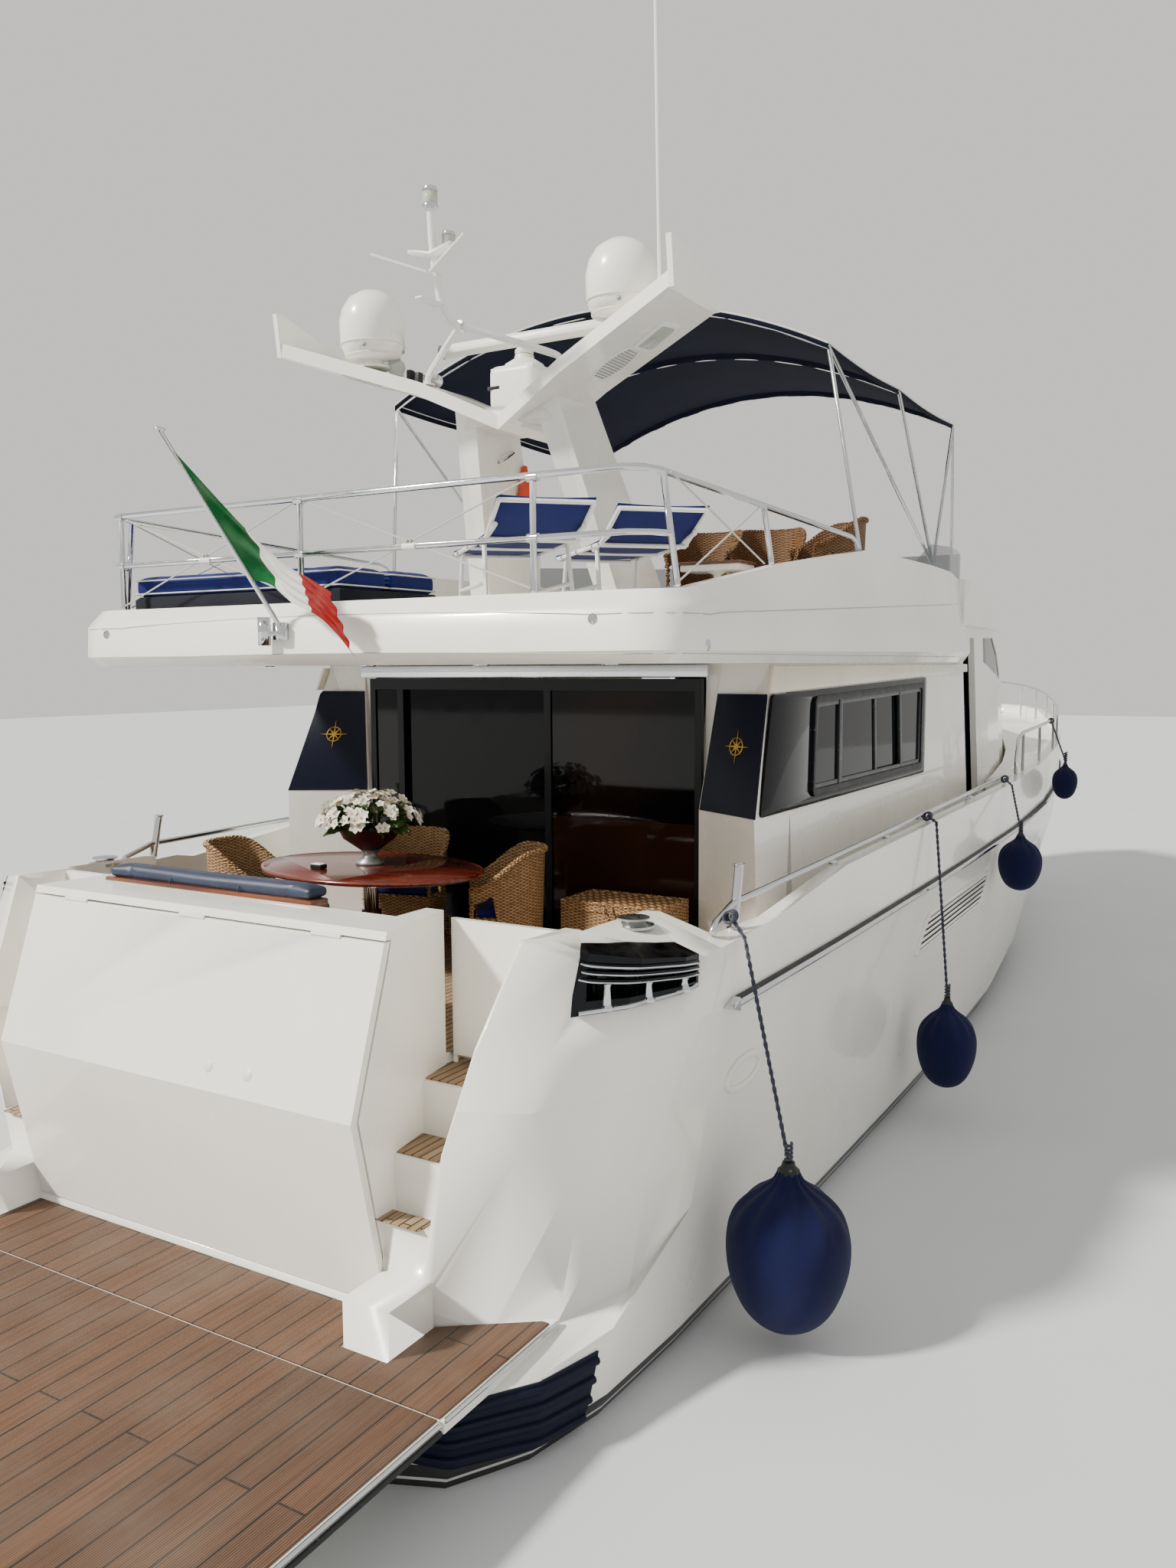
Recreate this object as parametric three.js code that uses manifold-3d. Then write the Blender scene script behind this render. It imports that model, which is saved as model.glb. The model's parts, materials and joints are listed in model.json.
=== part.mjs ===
// A flybridge motor yacht of about 20 m, afloat.
// Millimetres. +X is starboard, +Y is the bow, +Z is up from the waterline.
// Stations are measured forward from the top edge of the transom, and the whole boat is then
// moved aft by MIDSHIP, so that the origin lies amidships on the centreline at the waterline.
import * as THREE from "three";
import { mergeVertices } from "three/addons/utils/BufferGeometryUtils.js";
import Module from "manifold-3d";

const wasm = await Module();
wasm.setup();

// Driving dimensions
const MIDSHIP = 9000;
const GAP = 0.4; // between pieces that rest on each other
const SOLE = 1620; // cockpit sole
const SIDE_DECK = 1950;
const LEDGE = 400; // top of the hull's aft ledge
const PLATFORM = { bottom: 405, top: 470, halfWidth: 2190, joint: -640, end: -2550 };
const COAMING_TOP = 2459;
const TRANSOM = {
  halfWidth: 1395, topStation: 0, kneeStation: -300, kneeHeight: 1550, footStation: -75, footHeight: 520,
};
const DOOR_THICKNESS = 45;
const DOOR_CLEARANCE = 9;
const FLY = { underside: 3800, deck: 4020, aft: 1107, sideTop: 4670 };
const WALL = 70; // deckhouse wall
const HOUSE_LEAN = 130; // how far the house sides lean in, over its full height
const HOUSE_BASE = SOLE + GAP;
const HOUSE_HIGH = 4300; // height at which the lean is reached
const PILOT_ROOF = 4200 - GAP;
const SALOON_AFT = 3420;
const TUBE = 21; // radius of a rail tube
const POST = 17;

// Materials, by their look in daylight
const finish = (color, roughness, metalness = 0) => ({ color, roughness, metalness });
const FINISHES = {
  gelcoat: finish(0xe9e7df, 0.25),
  glass: finish(0x12161b, 0.08),
  steel: finish(0xc9ccd0, 0.18, 1),
  bronze: finish(0x9a7442, 0.35, 1),
  aluminium: finish(0xe4e6e8, 0.4, 0.3),
  navyCloth: finish(0x1c2450, 0.85),
  navyLeather: finish(0x26364f, 0.5),
  mahogany: finish(0x6b2414, 0.25),
  wicker: finish(0xb98a4e, 0.8),
  pewter: finish(0x55403c, 0.35, 0.8),
  flag: finish(0xd9dbd6, 0.9),
  acrylic: finish(0x3c464c, 0.1),
};

// Solids
function solidOf(geometry) {
  const bare = geometry.index ? geometry.toNonIndexed() : geometry.clone();
  bare.deleteAttribute("normal");
  bare.deleteAttribute("uv");
  const merged = mergeVertices(bare, 1e-3);
  const corners = merged.attributes.position.array;
  const make = (triVerts) =>
    new wasm.Manifold(new wasm.Mesh({ numProp: 3, vertProperties: corners, triVerts }));
  const triVerts = new Uint32Array(merged.index.array);
  const solid = make(triVerts);
  return solid.volume() > 0 ? solid : make(triVerts.reverse());
}

function geometryOf(solid) {
  const mesh = solid.getMesh();
  const geometry = new THREE.BufferGeometry();
  geometry.setAttribute("position", new THREE.BufferAttribute(new Float32Array(mesh.vertProperties), 3));
  geometry.setIndex(new THREE.BufferAttribute(new Uint32Array(mesh.triVerts), 1));
  geometry.computeVertexNormals();
  return geometry;
}

const join = (...solids) => solids.reduce((sum, next) => sum.add(next));
const cut = (body, ...tools) => tools.reduce((left, tool) => left.subtract(tool), body);
const X = new THREE.Vector3(1, 0, 0);
const Y = new THREE.Vector3(0, 1, 0);
const Z = new THREE.Vector3(0, 0, 1);
const point = ([x, y, z]) => new THREE.Vector3(x, y, z);
const mirrored = (points) => [...points, ...points.map(([x, s]) => [-x, s]).reverse()];

function box(x0, x1, s0, s1, z0, z1) {
  const geometry = new THREE.BoxGeometry(x1 - x0, s1 - s0, z1 - z0);
  return solidOf(geometry.translate((x0 + x1) / 2, (s0 + s1) / 2, (z0 + z1) / 2));
}

function extruded(outline, depth) {
  const shape = new THREE.Shape(outline.map(([a, b]) => new THREE.Vector2(a, b)));
  return new THREE.ExtrudeGeometry(shape, { depth, bevelEnabled: false });
}

// An outline of [station, height], swept athwartships
function sideProfile(outline, x0, x1) {
  const turn = new THREE.Matrix4().makeBasis(Y, Z, X);
  return solidOf(extruded(outline, x1 - x0).applyMatrix4(turn).translate(x0, 0, 0));
}

// An outline of [x, station], swept upwards
function planProfile(outline, z0, z1) {
  return solidOf(extruded(outline, z1 - z0).translate(0, 0, z0));
}

// An outline of [x, height], swept along the boat
function crossProfile(outline, s0, s1) {
  const turn = new THREE.Matrix4().makeBasis(X, Z, Y.clone().negate());
  return solidOf(extruded(outline, s1 - s0).applyMatrix4(turn).translate(0, s1, 0));
}

// A skin through rings with as many points each, closed by a fan over the first and the last ring
function loft(rings) {
  const across = rings[0].length;
  const corners = rings.flat(2);
  const faces = [];
  rings.slice(1).forEach((_, row) => {
    for (let i = 0; i < across; i++) {
      const a = row * across + i;
      const b = row * across + ((i + 1) % across);
      faces.push(a, b, b + across, a, b + across, a + across);
    }
  });
  const last = (rings.length - 1) * across;
  for (let i = 1; i < across - 1; i++) faces.push(0, i + 1, i, last, last + i, last + i + 1);
  const geometry = new THREE.BufferGeometry();
  geometry.setAttribute("position", new THREE.Float32BufferAttribute(corners, 3));
  return solidOf(geometry.setIndex(faces));
}

// A body that is alike to port and starboard, through levels of starboard points [x, station, height]
function symmetricLoft(levels) {
  const count = levels[0].length;
  const corners = [];
  levels.forEach((level) => level.forEach(([x, s, z]) => corners.push(x, s, z, -x, s, z)));
  const starboard = (row, i) => 2 * (row * count + i);
  const port = (row, i) => starboard(row, i) + 1;
  const faces = [];
  const quad = (a, b, c, d) => faces.push(a, b, c, a, c, d);
  for (let row = 0; row + 1 < levels.length; row++) {
    for (let i = 0; i + 1 < count; i++) {
      quad(starboard(row, i), starboard(row, i + 1), starboard(row + 1, i + 1), starboard(row + 1, i));
      quad(port(row, i + 1), port(row, i), port(row + 1, i), port(row + 1, i + 1));
    }
    quad(port(row, 0), starboard(row, 0), starboard(row + 1, 0), port(row + 1, 0));
    const end = count - 1;
    quad(starboard(row, end), port(row, end), port(row + 1, end), starboard(row + 1, end));
  }
  const top = levels.length - 1;
  for (let i = 0; i + 1 < count; i++) {
    quad(port(0, i), port(0, i + 1), starboard(0, i + 1), starboard(0, i));
    quad(starboard(top, i), starboard(top, i + 1), port(top, i + 1), port(top, i));
  }
  const geometry = new THREE.BufferGeometry();
  geometry.setAttribute("position", new THREE.Float32BufferAttribute(corners, 3));
  return solidOf(geometry.setIndex(faces));
}

// A starboard outline moved inwards by a distance, with its corners mitred
function inset(outline, distance) {
  const flip = ([x, s]) => [-x, s];
  const normal = ([x0, s0], [x1, s1]) => new THREE.Vector2(s0 - s1, x1 - x0).normalize();
  return outline.map((corner, i) => {
    const before = i ? outline[i - 1] : flip(corner);
    const after = i + 1 < outline.length ? outline[i + 1] : flip(corner);
    const first = normal(before, corner);
    const second = normal(corner, after);
    const mitre = first.clone().add(second).normalize();
    const reach = distance / Math.max(0.3, mitre.dot(first));
    return [corner[0] + mitre.x * reach, corner[1] + mitre.y * reach];
  });
}

// A route that keeps its own corner points, so that straight runs take no extra steps
class Route extends THREE.Curve {
  constructor(points) {
    super();
    this.points = points.map(point);
  }
  getSpacedPoints() {
    return this.points;
  }
  getTangentAt(share) {
    const at = Math.round(share * (this.points.length - 1));
    const from = this.points[Math.max(0, at - 1)];
    const to = this.points[Math.min(this.points.length - 1, at + 1)];
    return to.clone().sub(from).normalize();
  }
}

function tube(points, radius, sides = 8) {
  const route = new Route(points);
  const section = new THREE.Shape(
    Array.from({ length: sides }, (_, i) => {
      const angle = (2 * Math.PI * i) / sides;
      return new THREE.Vector2(radius * Math.cos(angle), radius * Math.sin(angle));
    }),
  );
  const steps = points.length - 1;
  return solidOf(new THREE.ExtrudeGeometry(section, { steps, extrudePath: route, bevelEnabled: false }));
}

const rod = (from, to, radius, sides = 8) => tube([from, to], radius, sides);

// A body turned about a vertical line, from a profile of [radius, height] that starts and ends on it
function turned(profile, [x, s, z], sides = 20) {
  const points = profile.map(([r, h]) => new THREE.Vector2(r, h));
  const geometry = new THREE.LatheGeometry(points, sides).rotateX(Math.PI / 2);
  return solidOf(geometry.translate(x, s, z));
}

const disc = (radius, z0, z1, [x, s], sides = 20) =>
  turned([[0, z0], [radius, z0], [radius, z1], [0, z1]], [x, s, 0], sides);

const moved = (solid, [x, s, z]) => solidOf(geometryOf(solid).translate(x, s, z));

// A solid made about the upright axis, stood on a point with that axis along a direction
function aimed(solid, [x, s, z], direction) {
  const turn = new THREE.Quaternion().setFromUnitVectors(Z, point(direction).normalize());
  return solidOf(geometryOf(solid).applyQuaternion(turn).translate(x, s, z));
}

// A solid made facing forward, turned about the upright axis and stood on a point
const headed = (solid, heading, [x, s, z]) => solidOf(geometryOf(solid).rotateZ(heading).translate(x, s, z));

// The highest point of a solid within a small rectangle round [x, station]
function topOf(solid, x, s, reach = 22, reachAlong = reach) {
  const column = box(x - reach, x + reach, s - reachAlong, s + reachAlong, -2000, 8000);
  const found = solid.intersect(column).getMesh();
  const heights = Array.from(found.vertProperties).filter((_, i) => i % found.numProp === 2);
  return Math.max(...heights);
}

// The scene graph
const yacht = new THREE.Group();
yacht.position.y = -MIDSHIP;

function place(name, solid, look, parent = yacht) {
  const mesh = new THREE.Mesh(geometryOf(solid), new THREE.MeshStandardMaterial(FINISHES[look]));
  mesh.name = name;
  parent.add(mesh);
  return mesh;
}

function placePair(name, solid, look) {
  place(name + "_starboard", solid, look);
  place(name + "_port", solid, look).scale.x = -1;
}

// Hull ribs that turn round the starboard quarter; each point is half breadth, station, height
const QUARTER_RIBS = [
  { keel: [60, -600, -850], chine: [1700, -600, -120], bilge: [1750, -612, 100], ledge: [1750, -600, LEDGE],
    foot: [1580, -80, 410], waist: [1800, -100, 1410], rub: [1910, 40, 1920], cap: [2020, 290, 2420],
    inner: [2005, 305, 2424] },
  { keel: [60, -450, -852], chine: [2030, -460, -115], bilge: [2085, -465, 100], ledge: [2080, -440, LEDGE],
    foot: [1900, 140, 415], waist: [2120, 60, 1410], rub: [2240, 190, 1920], cap: [2330, 420, 2370],
    inner: [2060, 440, 2418] },
  { keel: [60, -150, -855], chine: [2240, -100, -110], bilge: [2325, -80, 110], ledge: [2320, -50, 405],
    foot: [2160, 360, 430], waist: [2360, 380, 1410], rub: [2440, 500, 1910], cap: [2490, 680, 2310],
    inner: [2090, 700, 2410] },
  { keel: [60, 350, -860], chine: [2345, 360, -105], bilge: [2440, 400, 130], ledge: [2440, 450, 440],
    foot: [2380, 720, 500], waist: [2510, 800, 1410], rub: [2565, 900, 1900], cap: [2580, 1000, 2260],
    inner: [2110, 1010, 2400] },
  { keel: [60, 1150, -868], chine: [2380, 1150, -102], bilge: [2492, 1150, 160], ledge: [2500, 1150, 750],
    foot: [2512, 1200, 800], waist: [2560, 1350, 1410], rub: [2609, 1430, 1886], cap: [2600, 1400, 2230],
    inner: [2120, 1410, 2390] },
];

// Hull ribs from there to the stem
// columns: keel station, cap station, keel z, chine x, z, bilge x, z, knuckle x, z, waist x, z, rub x, z, cap x, z
const SIDE_RIBS = [
  [2200, 2200, -880, 2390, -100, 2500, 180, 2500, 755, 2565, 1415, 2615, 1890, 2600, 2255],
  [3500, 3500, -900, 2390, -95, 2500, 200, 2502, 762, 2570, 1420, 2620, 1896, 2602, 2390],
  [6000, 6000, -920, 2380, -80, 2500, 220, 2504, 780, 2574, 1450, 2624, 1925, 2604, 2440],
  [9000, 9000, -920, 2290, -20, 2430, 270, 2465, 830, 2560, 1500, 2610, 1985, 2590, 2490],
  [11000, 11060, -900, 2090, 60, 2250, 340, 2365, 905, 2490, 1575, 2545, 2060, 2530, 2570],
  [13000, 13200, -840, 1710, 200, 1910, 460, 2110, 1020, 2290, 1690, 2360, 2160, 2355, 2680],
  [14700, 15050, -680, 1190, 390, 1430, 620, 1715, 1180, 1960, 1830, 2045, 2270, 2060, 2800],
  [16000, 16560, -380, 720, 620, 950, 840, 1260, 1380, 1550, 2000, 1650, 2385, 1690, 2900],
  [16900, 17750, 20, 370, 900, 540, 1100, 840, 1610, 1130, 2190, 1240, 2490, 1310, 2975],
  [17350, 18500, 420, 130, 1180, 220, 1350, 440, 1830, 700, 2350, 810, 2580, 900, 3020],
  [17550, 18980, 640, 25, 1300, 30, 1430, 40, 1910, 55, 2400, 65, 2640, 85, 3050],
];
const LEVELS = ["keel", "chine", "bilge", "ledge", "foot", "waist", "rub", "cap", "inner"];
const BULWARK = 110;

function sideRib([keelS, capS, keelZ, ...section]) {
  const [chineX, chineZ, bilgeX, bilgeZ, knuckleX, knuckleZ, waistX, waistZ, rubX, rubZ, capX, capZ] = section;
  const at = (x, z) => [x, keelS + ((capS - keelS) * (z - keelZ)) / (capZ - keelZ), z];
  const innerX = Math.max(capX - BULWARK, capX / 2);
  return {
    keel: at(Math.min(60, chineX / 2), keelZ),
    chine: at(chineX, chineZ),
    bilge: at(bilgeX, bilgeZ),
    ledge: at(knuckleX, knuckleZ),
    foot: at(knuckleX + 12, knuckleZ + 50),
    waist: at(waistX, waistZ),
    rub: at(rubX, rubZ),
    cap: at(capX, capZ),
    inner: [innerX, capS - (capX - innerX) * 0.05, capZ],
  };
}

const RIBS = [...QUARTER_RIBS, ...SIDE_RIBS.map(sideRib)];
const hullForm = symmetricLoft(LEVELS.map((level) => RIBS.map((rib) => rib[level])));

// Transom: its aft face bends at a knee, and the door lies on that face
const lip = 48;
const rake = (TRANSOM.topStation - TRANSOM.kneeStation) / (COAMING_TOP - TRANSOM.kneeHeight);
const doorTop = [TRANSOM.topStation - rake * (COAMING_TOP - 2405), 2405];
const doorLine = [doorTop, [TRANSOM.kneeStation, TRANSOM.kneeHeight], [TRANSOM.footStation, TRANSOM.footHeight]];
const behindDoor = (distance) => doorLine.map(([s, z]) => [s + distance, z]);
const seat = behindDoor(DOOR_THICKNESS + DOOR_CLEARANCE);
const transomBlock = sideProfile(
  [
    [TRANSOM.topStation, COAMING_TOP],
    [TRANSOM.topStation - rake * lip, COAMING_TOP - lip + 5],
    [seat[0][0], COAMING_TOP - lip + 5],
    ...seat,
    [seat[2][0], LEDGE - 50],
    [590, LEDGE - 50],
    [590, COAMING_TOP],
  ],
  -TRANSOM.halfWidth,
  TRANSOM.halfWidth,
).intersect(planProfile(mirrored([[TRANSOM.halfWidth, -900], [TRANSOM.halfWidth, 0], [1300, 590]]), 0, 3000));

// Stairs from the platform to the cockpit, on each side of the transom
// columns: station of the riser, height of the tread aft of it
const TREADS = [[760, 1580], [330, 1290], [20, 1000]];
const stairLine = TREADS.flatMap(([s, z], i) => [[s, i ? TREADS[i - 1][1] : 3000], [s, z]]);
const stairWell = sideProfile([...stairLine, [-150, 1000], [-150, 440], [-900, 440], [-900, 3000]], 1250, 2200).intersect(
  crossProfile([[1250, 420], [1575, 420], [1790, 1410], [1898, 1920], [2008, 2430], [2110, 2900], [1250, 2900]], -900, 760),
);
const STEP_INNER = TRANSOM.halfWidth + 5;
const lowerStep = box(STEP_INNER, 1690, -400, -60, LEDGE - 50, 720);

// The space inside the bulwarks, over the sole, the side decks and the foredeck
const CAP_LINE = RIBS.slice(5).map((rib) => [rib.inner[0], rib.inner[1]]);
const wellOutline = mirrored([
  [1180, 330], [1180, 590], [1290, 590], [1290, 720], [2110, 720], [2110, 1500], [2485, 1540],
  ...CAP_LINE.slice(0, -1), [300, 18700],
]);
const deckLine = [
  [0, SOLE], [2950, SOLE], [2950, 1785], [3250, 1785], [3250, SIDE_DECK], [9900, SIDE_DECK], [9900, 2170], [10200, 2170],
  [10200, 2400], [13000, 2540], [16000, 2760], [19200, 2930], [19200, 4500], [0, 4500],
];
const deckWell = planProfile(wellOutline, 1000, 4000).intersect(sideProfile(deckLine, -3000, 3000));

// The deckhouse in plan, from the saloon bulkhead forward
const HOUSE_PLAN = [
  [2180, SALOON_AFT], [2180, 7900], [2140, 8950], [2000, 10750], [1850, 12000],
  [1620, 13300], [1350, 14400], [1000, 15400], [520, 16000], [100, 16140],
];
const houseSolid = (distance) => {
  const plan = inset(HOUSE_PLAN, distance);
  const level = (height, lean) => plan.map(([x, s]) => [Math.max(20, x - lean), s, height]);
  return symmetricLoft([level(HOUSE_BASE, 0), level(HOUSE_HIGH, HOUSE_LEAN)]);
};
const housePocket = planProfile(mirrored([[2181, 2935], ...inset(HOUSE_PLAN, -1)]), SOLE, 4000);
const garage = box(-1250, 1250, -420, 2400, 560, 1480);

const MOORING_Z = 2070;
const mooringPlan = (shrink) => [
  [2290 + shrink, 250], [2290 + shrink, 395], [2215 + shrink, 530 + shrink],
  [2440 + shrink, 1140 - shrink], [2700, 1140 - shrink], [2700, 250],
];
const mooringRecess = planProfile(mooringPlan(0), MOORING_Z, 2700);

// A starboard solid together with its port twin
function both(solid) {
  const twin = geometryOf(solid).scale(-1, 1, 1);
  twin.index.array.reverse();
  return join(solid, solidOf(twin));
}

const hullAndDeck = join(cut(join(hullForm), both(stairWell)), transomBlock, both(lowerStep));
const doorRecess = sideProfile(
  [[-900, 505], [seat[2][0], 505], ...[...seat].reverse(), [-900, seat[0][1]]],
  -TRANSOM.halfWidth,
  TRANSOM.halfWidth,
);
const opened = cut(hullAndDeck, deckWell, housePocket, garage, doorRecess, both(mooringRecess));
const below = box(-4000, 4000, -3000, 21000, -3000, SOLE);
const amid = planProfile(mirrored([[1400, -900], [1400, 600]]), 0, 3000);
const above = cut(box(-4000, 4000, -3000, 21000, SOLE + GAP, 6000), amid);

// A round boss about an athwartships axis
const eye = ([s, z], radius, x0, x1) => aimed(disc(radius, 0, x1 - x0, [0, 0], 12), [x0, s, z], [1, 0, 0]);

// Shafts, their struts, the rudder stocks and the lugs of the lift platform are fixed to the hull
const LIFT = { x: 850, halfWidth: 30, low: [-700, -330], high: [-1480, 330], lugFrom: 890, lugTo: 920, pin: 25 };
const SHAFT = { x: 950, station: 1050, z: -1150, slope: Math.tan((9 * Math.PI) / 180), radius: 32 };
const shaftPoint = (s, x = SHAFT.x) => [x, s, SHAFT.z + (s - SHAFT.station) * SHAFT.slope];
const RUDDER = { x: 950, station: 340, top: -680, bottom: -1440, stock: 30 };
const shaftGear = join(
  rod(shaftPoint(1190), shaftPoint(5200), SHAFT.radius, 10),
  rod(shaftPoint(1190), shaftPoint(1420), 58, 12),
  sideProfile([[1230, -1125], [1400, -1100], [1460, -450], [1300, -450]], SHAFT.x - 14, SHAFT.x + 14),
  disc(75, RUDDER.top + GAP, -400, [RUDDER.x, RUDDER.station], 12),
  box(LIFT.lugFrom, LIFT.lugTo, LIFT.low[0], -590, -390, -270),
  eye(LIFT.low, 45, LIFT.lugFrom, LIFT.lugTo),
);

const hull = join(opened.intersect(below), opened.intersect(amid), both(shaftGear));
place("hull", hull, "gelcoat");
const deckMoulding = opened.intersect(above);
place("deck_moulding", deckMoulding, "gelcoat");

// Fixed platform over the ledge, then the lift platform behind it
function platformPlan(shrink) {
  return mirrored([
    [PLATFORM.halfWidth, PLATFORM.joint + 10], [PLATFORM.halfWidth, 330], [2150, 330 - shrink],
    [1900, 125 - shrink], [1700, -20 - shrink], [1700, -405 - shrink], [STEP_INNER - shrink, -405 - shrink],
    [STEP_INNER - shrink, -40],
  ]);
}
const ledgePlate = cut(
  planProfile(platformPlan(8), PLATFORM.bottom, PLATFORM.top),
  box(-TRANSOM.halfWidth - 10, TRANSOM.halfWidth + 10, -60, 700, 0, 1000),
);
const SEAM = 0.5;
place("ledge_platform", cut(ledgePlate, moved(hullForm, [0, -SEAM, 0]), moved(hullForm, [0, 0, SEAM])), "gelcoat");

// Deckhouse: a shell with its windows and door openings cut
const ROOF_LINE = [[0, 3800 - GAP], [8950, 3800 - GAP], [8950, PILOT_ROOF], [12200, PILOT_ROOF], [14250, 3090], [16140, 2850]];
const roofCut = (drop) =>
  sideProfile([...ROOF_LINE.map(([s, z]) => [s - (s > 8950 ? drop : 0), z - drop]), [16200, 0], [0, 0]], -3000, 3000);
const PILLAR = {
  innerBase: 1555, outerBase: 2178, innerTop: 1680, outerTop: 2050,
  aft: 2940, bulkhead: 3300, foot: 2740, front: 3600,
};
const pillarRing = (z, inner, outer, innerStation, outerStation) => [
  [inner, innerStation, z], [outer, outerStation, z], [outer, PILLAR.front, z], [inner, PILLAR.front, z],
];
const pillar = loft([
  pillarRing(HOUSE_BASE, PILLAR.innerBase, PILLAR.outerBase, PILLAR.bulkhead, PILLAR.aft),
  pillarRing(PILLAR.foot, PILLAR.innerBase, PILLAR.outerBase - 40, PILLAR.bulkhead, PILLAR.aft),
  pillarRing(3800 - GAP, PILLAR.innerTop, PILLAR.outerTop, SALOON_AFT, SALOON_AFT),
]);
const houseOuter = houseSolid(0).intersect(roofCut(0));
const houseInner = join(
  houseSolid(WALL).intersect(roofCut(WALL)).intersect(box(-3000, 3000, 3500, 15400, 0, 5000)),
  box(-PILLAR.innerBase, PILLAR.innerBase, 3300, 3700, 0, 3700),
  planProfile(mirrored([[PILLAR.innerBase, 3400], [2100, 3560]]), 0, HOUSE_BASE + 1),
);

// Windows and doors, each an outline of [station, height] cut through both sides
const SALOON_WINDOW = [[3640, 2800], [3640, 3590], [7190, 3620], [7060, 2800]];
const PILOT_WINDOW = [[10480, 3800], [10480, 4090], [11500, 4110], [12650, 3640], [12500, 3560]];
const SIDE_DOOR = [[9020, 1990], [9020, 4080], [9820, 4080], [9820, 1990]];
const PANE_GAP = 2; // each corner of a pane is drawn in by this much towards its middle
const pane = (outline) => {
  const corners = outline.map(([s, z]) => new THREE.Vector2(s, z));
  const centre = corners.reduce((sum, corner) => sum.add(corner), new THREE.Vector2()).divideScalar(corners.length);
  return corners.map((corner) => corner.add(centre.clone().sub(corner).setLength(PANE_GAP)).toArray());
};
const through = (outline) => sideProfile(outline, -3000, 3000);
const SCREEN = { foot: [14080, 3183], head: [12330, 4130], halfWidth: 1420 };
const screenDirection = new THREE.Vector2(SCREEN.foot[0] - SCREEN.head[0], SCREEN.foot[1] - SCREEN.head[1]).normalize();
function screenBand(from, to, shrink) {
  const across = new THREE.Vector2(-screenDirection.y, screenDirection.x);
  const at = ([s, z], along, out) => [
    s + screenDirection.x * along + across.x * out,
    z + screenDirection.y * along + across.y * out,
  ];
  const upper = 60 + shrink;
  return [at(SCREEN.head, upper, from), at(SCREEN.foot, -upper, from), at(SCREEN.foot, -upper, to), at(SCREEN.head, upper, to)];
}
const screenPlan = (shrink) =>
  planProfile(mirrored([[1250 - shrink, 12000], [1250 - shrink, 13500], [1020 - shrink, 14600]]), 2500, 4500);
const screenHole = sideProfile(screenBand(-200, 200, 0), -SCREEN.halfWidth, SCREEN.halfWidth).intersect(screenPlan(0));
const deckhouse = cut(
  join(cut(houseOuter, houseInner), both(pillar)),
  through(SALOON_WINDOW),
  through(PILOT_WINDOW),
  through(SIDE_DOOR),
  screenHole,
);
const SIDE_DOOR_EDGES = { bottom: 2010, top: 4060 };
const trackSkin = cut(houseSolid(WALL - 1), houseSolid(WALL + 60));
const track = (z0, z1) => trackSkin.intersect(box(1000, 3000, 9020, 10600, z0, z1));
const doorTracks = both(join(
  track(SIDE_DOOR_EDGES.bottom - 24, SIDE_DOOR_EDGES.bottom - GAP),
  track(SIDE_DOOR_EDGES.top + GAP, SIDE_DOOR_EDGES.top + 24),
));
place("deckhouse", join(deckhouse, doorTracks), "gelcoat");

const glassSkin = cut(houseSolid(12), houseSolid(38));
const starboardHalf = box(0, 3000, 0, 20000, 0, 6000);
const glazed = (outline) => glassSkin.intersect(sideProfile(pane(outline), 800, 3000)).intersect(starboardHalf);
placePair("saloon_window", glazed(SALOON_WINDOW), "glass");
placePair("pilothouse_window", glazed(PILOT_WINDOW), "glass");
const screenGlass = sideProfile(screenBand(-45, -15, GAP), -1250, 1250).intersect(screenPlan(GAP));
place("windscreen", screenGlass, "glass");

// Side doors slide forward along the inside of the house wall, and stand open
const doorSkin = cut(houseSolid(WALL + 14), houseSolid(WALL + 52));
const DOOR_SLIDE = 780;
const openDoor = box(1200, 3000, 9040 + DOOR_SLIDE, 9800 + DOOR_SLIDE, SIDE_DOOR_EDGES.bottom, SIDE_DOOR_EDGES.top);
placePair("side_door", doorSkin.intersect(openDoor), "glass");

// Saloon bulkhead of framed glass, with the sliding door on its forward side
const BULKHEAD = { aft: 3340, glass: 3355, front: 3385, halfWidth: PILLAR.innerBase - GAP, bottom: SOLE + GAP, top: 3690 };
const DOORWAY = { port: -1200, starboard: 200, foot: 1665, head: 3600 };
const bulkheadHoles = [
  [-1500, DOORWAY.port - 60], [DOORWAY.starboard + 60, 1500],
].map(([x0, x1]) => join(
  box(x0, x1, BULKHEAD.aft - 10, BULKHEAD.glass, DOORWAY.foot + 40, DOORWAY.head),
  box(x0, x1, BULKHEAD.glass + 14, BULKHEAD.front + 10, DOORWAY.foot + 40, DOORWAY.head),
));
const bulkhead = cut(
  box(-BULKHEAD.halfWidth, BULKHEAD.halfWidth, BULKHEAD.aft, BULKHEAD.front, BULKHEAD.bottom, BULKHEAD.top),
  box(DOORWAY.port, DOORWAY.starboard, 3000, 4000, DOORWAY.foot, DOORWAY.head),
  ...bulkheadHoles,
);
const doorRail = (z0, z1) => box(-1300, 1480, BULKHEAD.front - 5, BULKHEAD.front + 50, z0, z1);
place("saloon_bulkhead", join(
  bulkhead,
  doorRail(BULKHEAD.bottom, DOORWAY.foot - 20 - GAP),
  doorRail(DOORWAY.head + 30 + GAP, DOORWAY.head + 55),
), "glass");
place("saloon_door", box(
  DOORWAY.port - 30, DOORWAY.starboard + 30,
  BULKHEAD.front + 6, BULKHEAD.front + 44,
  DOORWAY.foot - 20, DOORWAY.head + 30,
), "glass");

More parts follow.
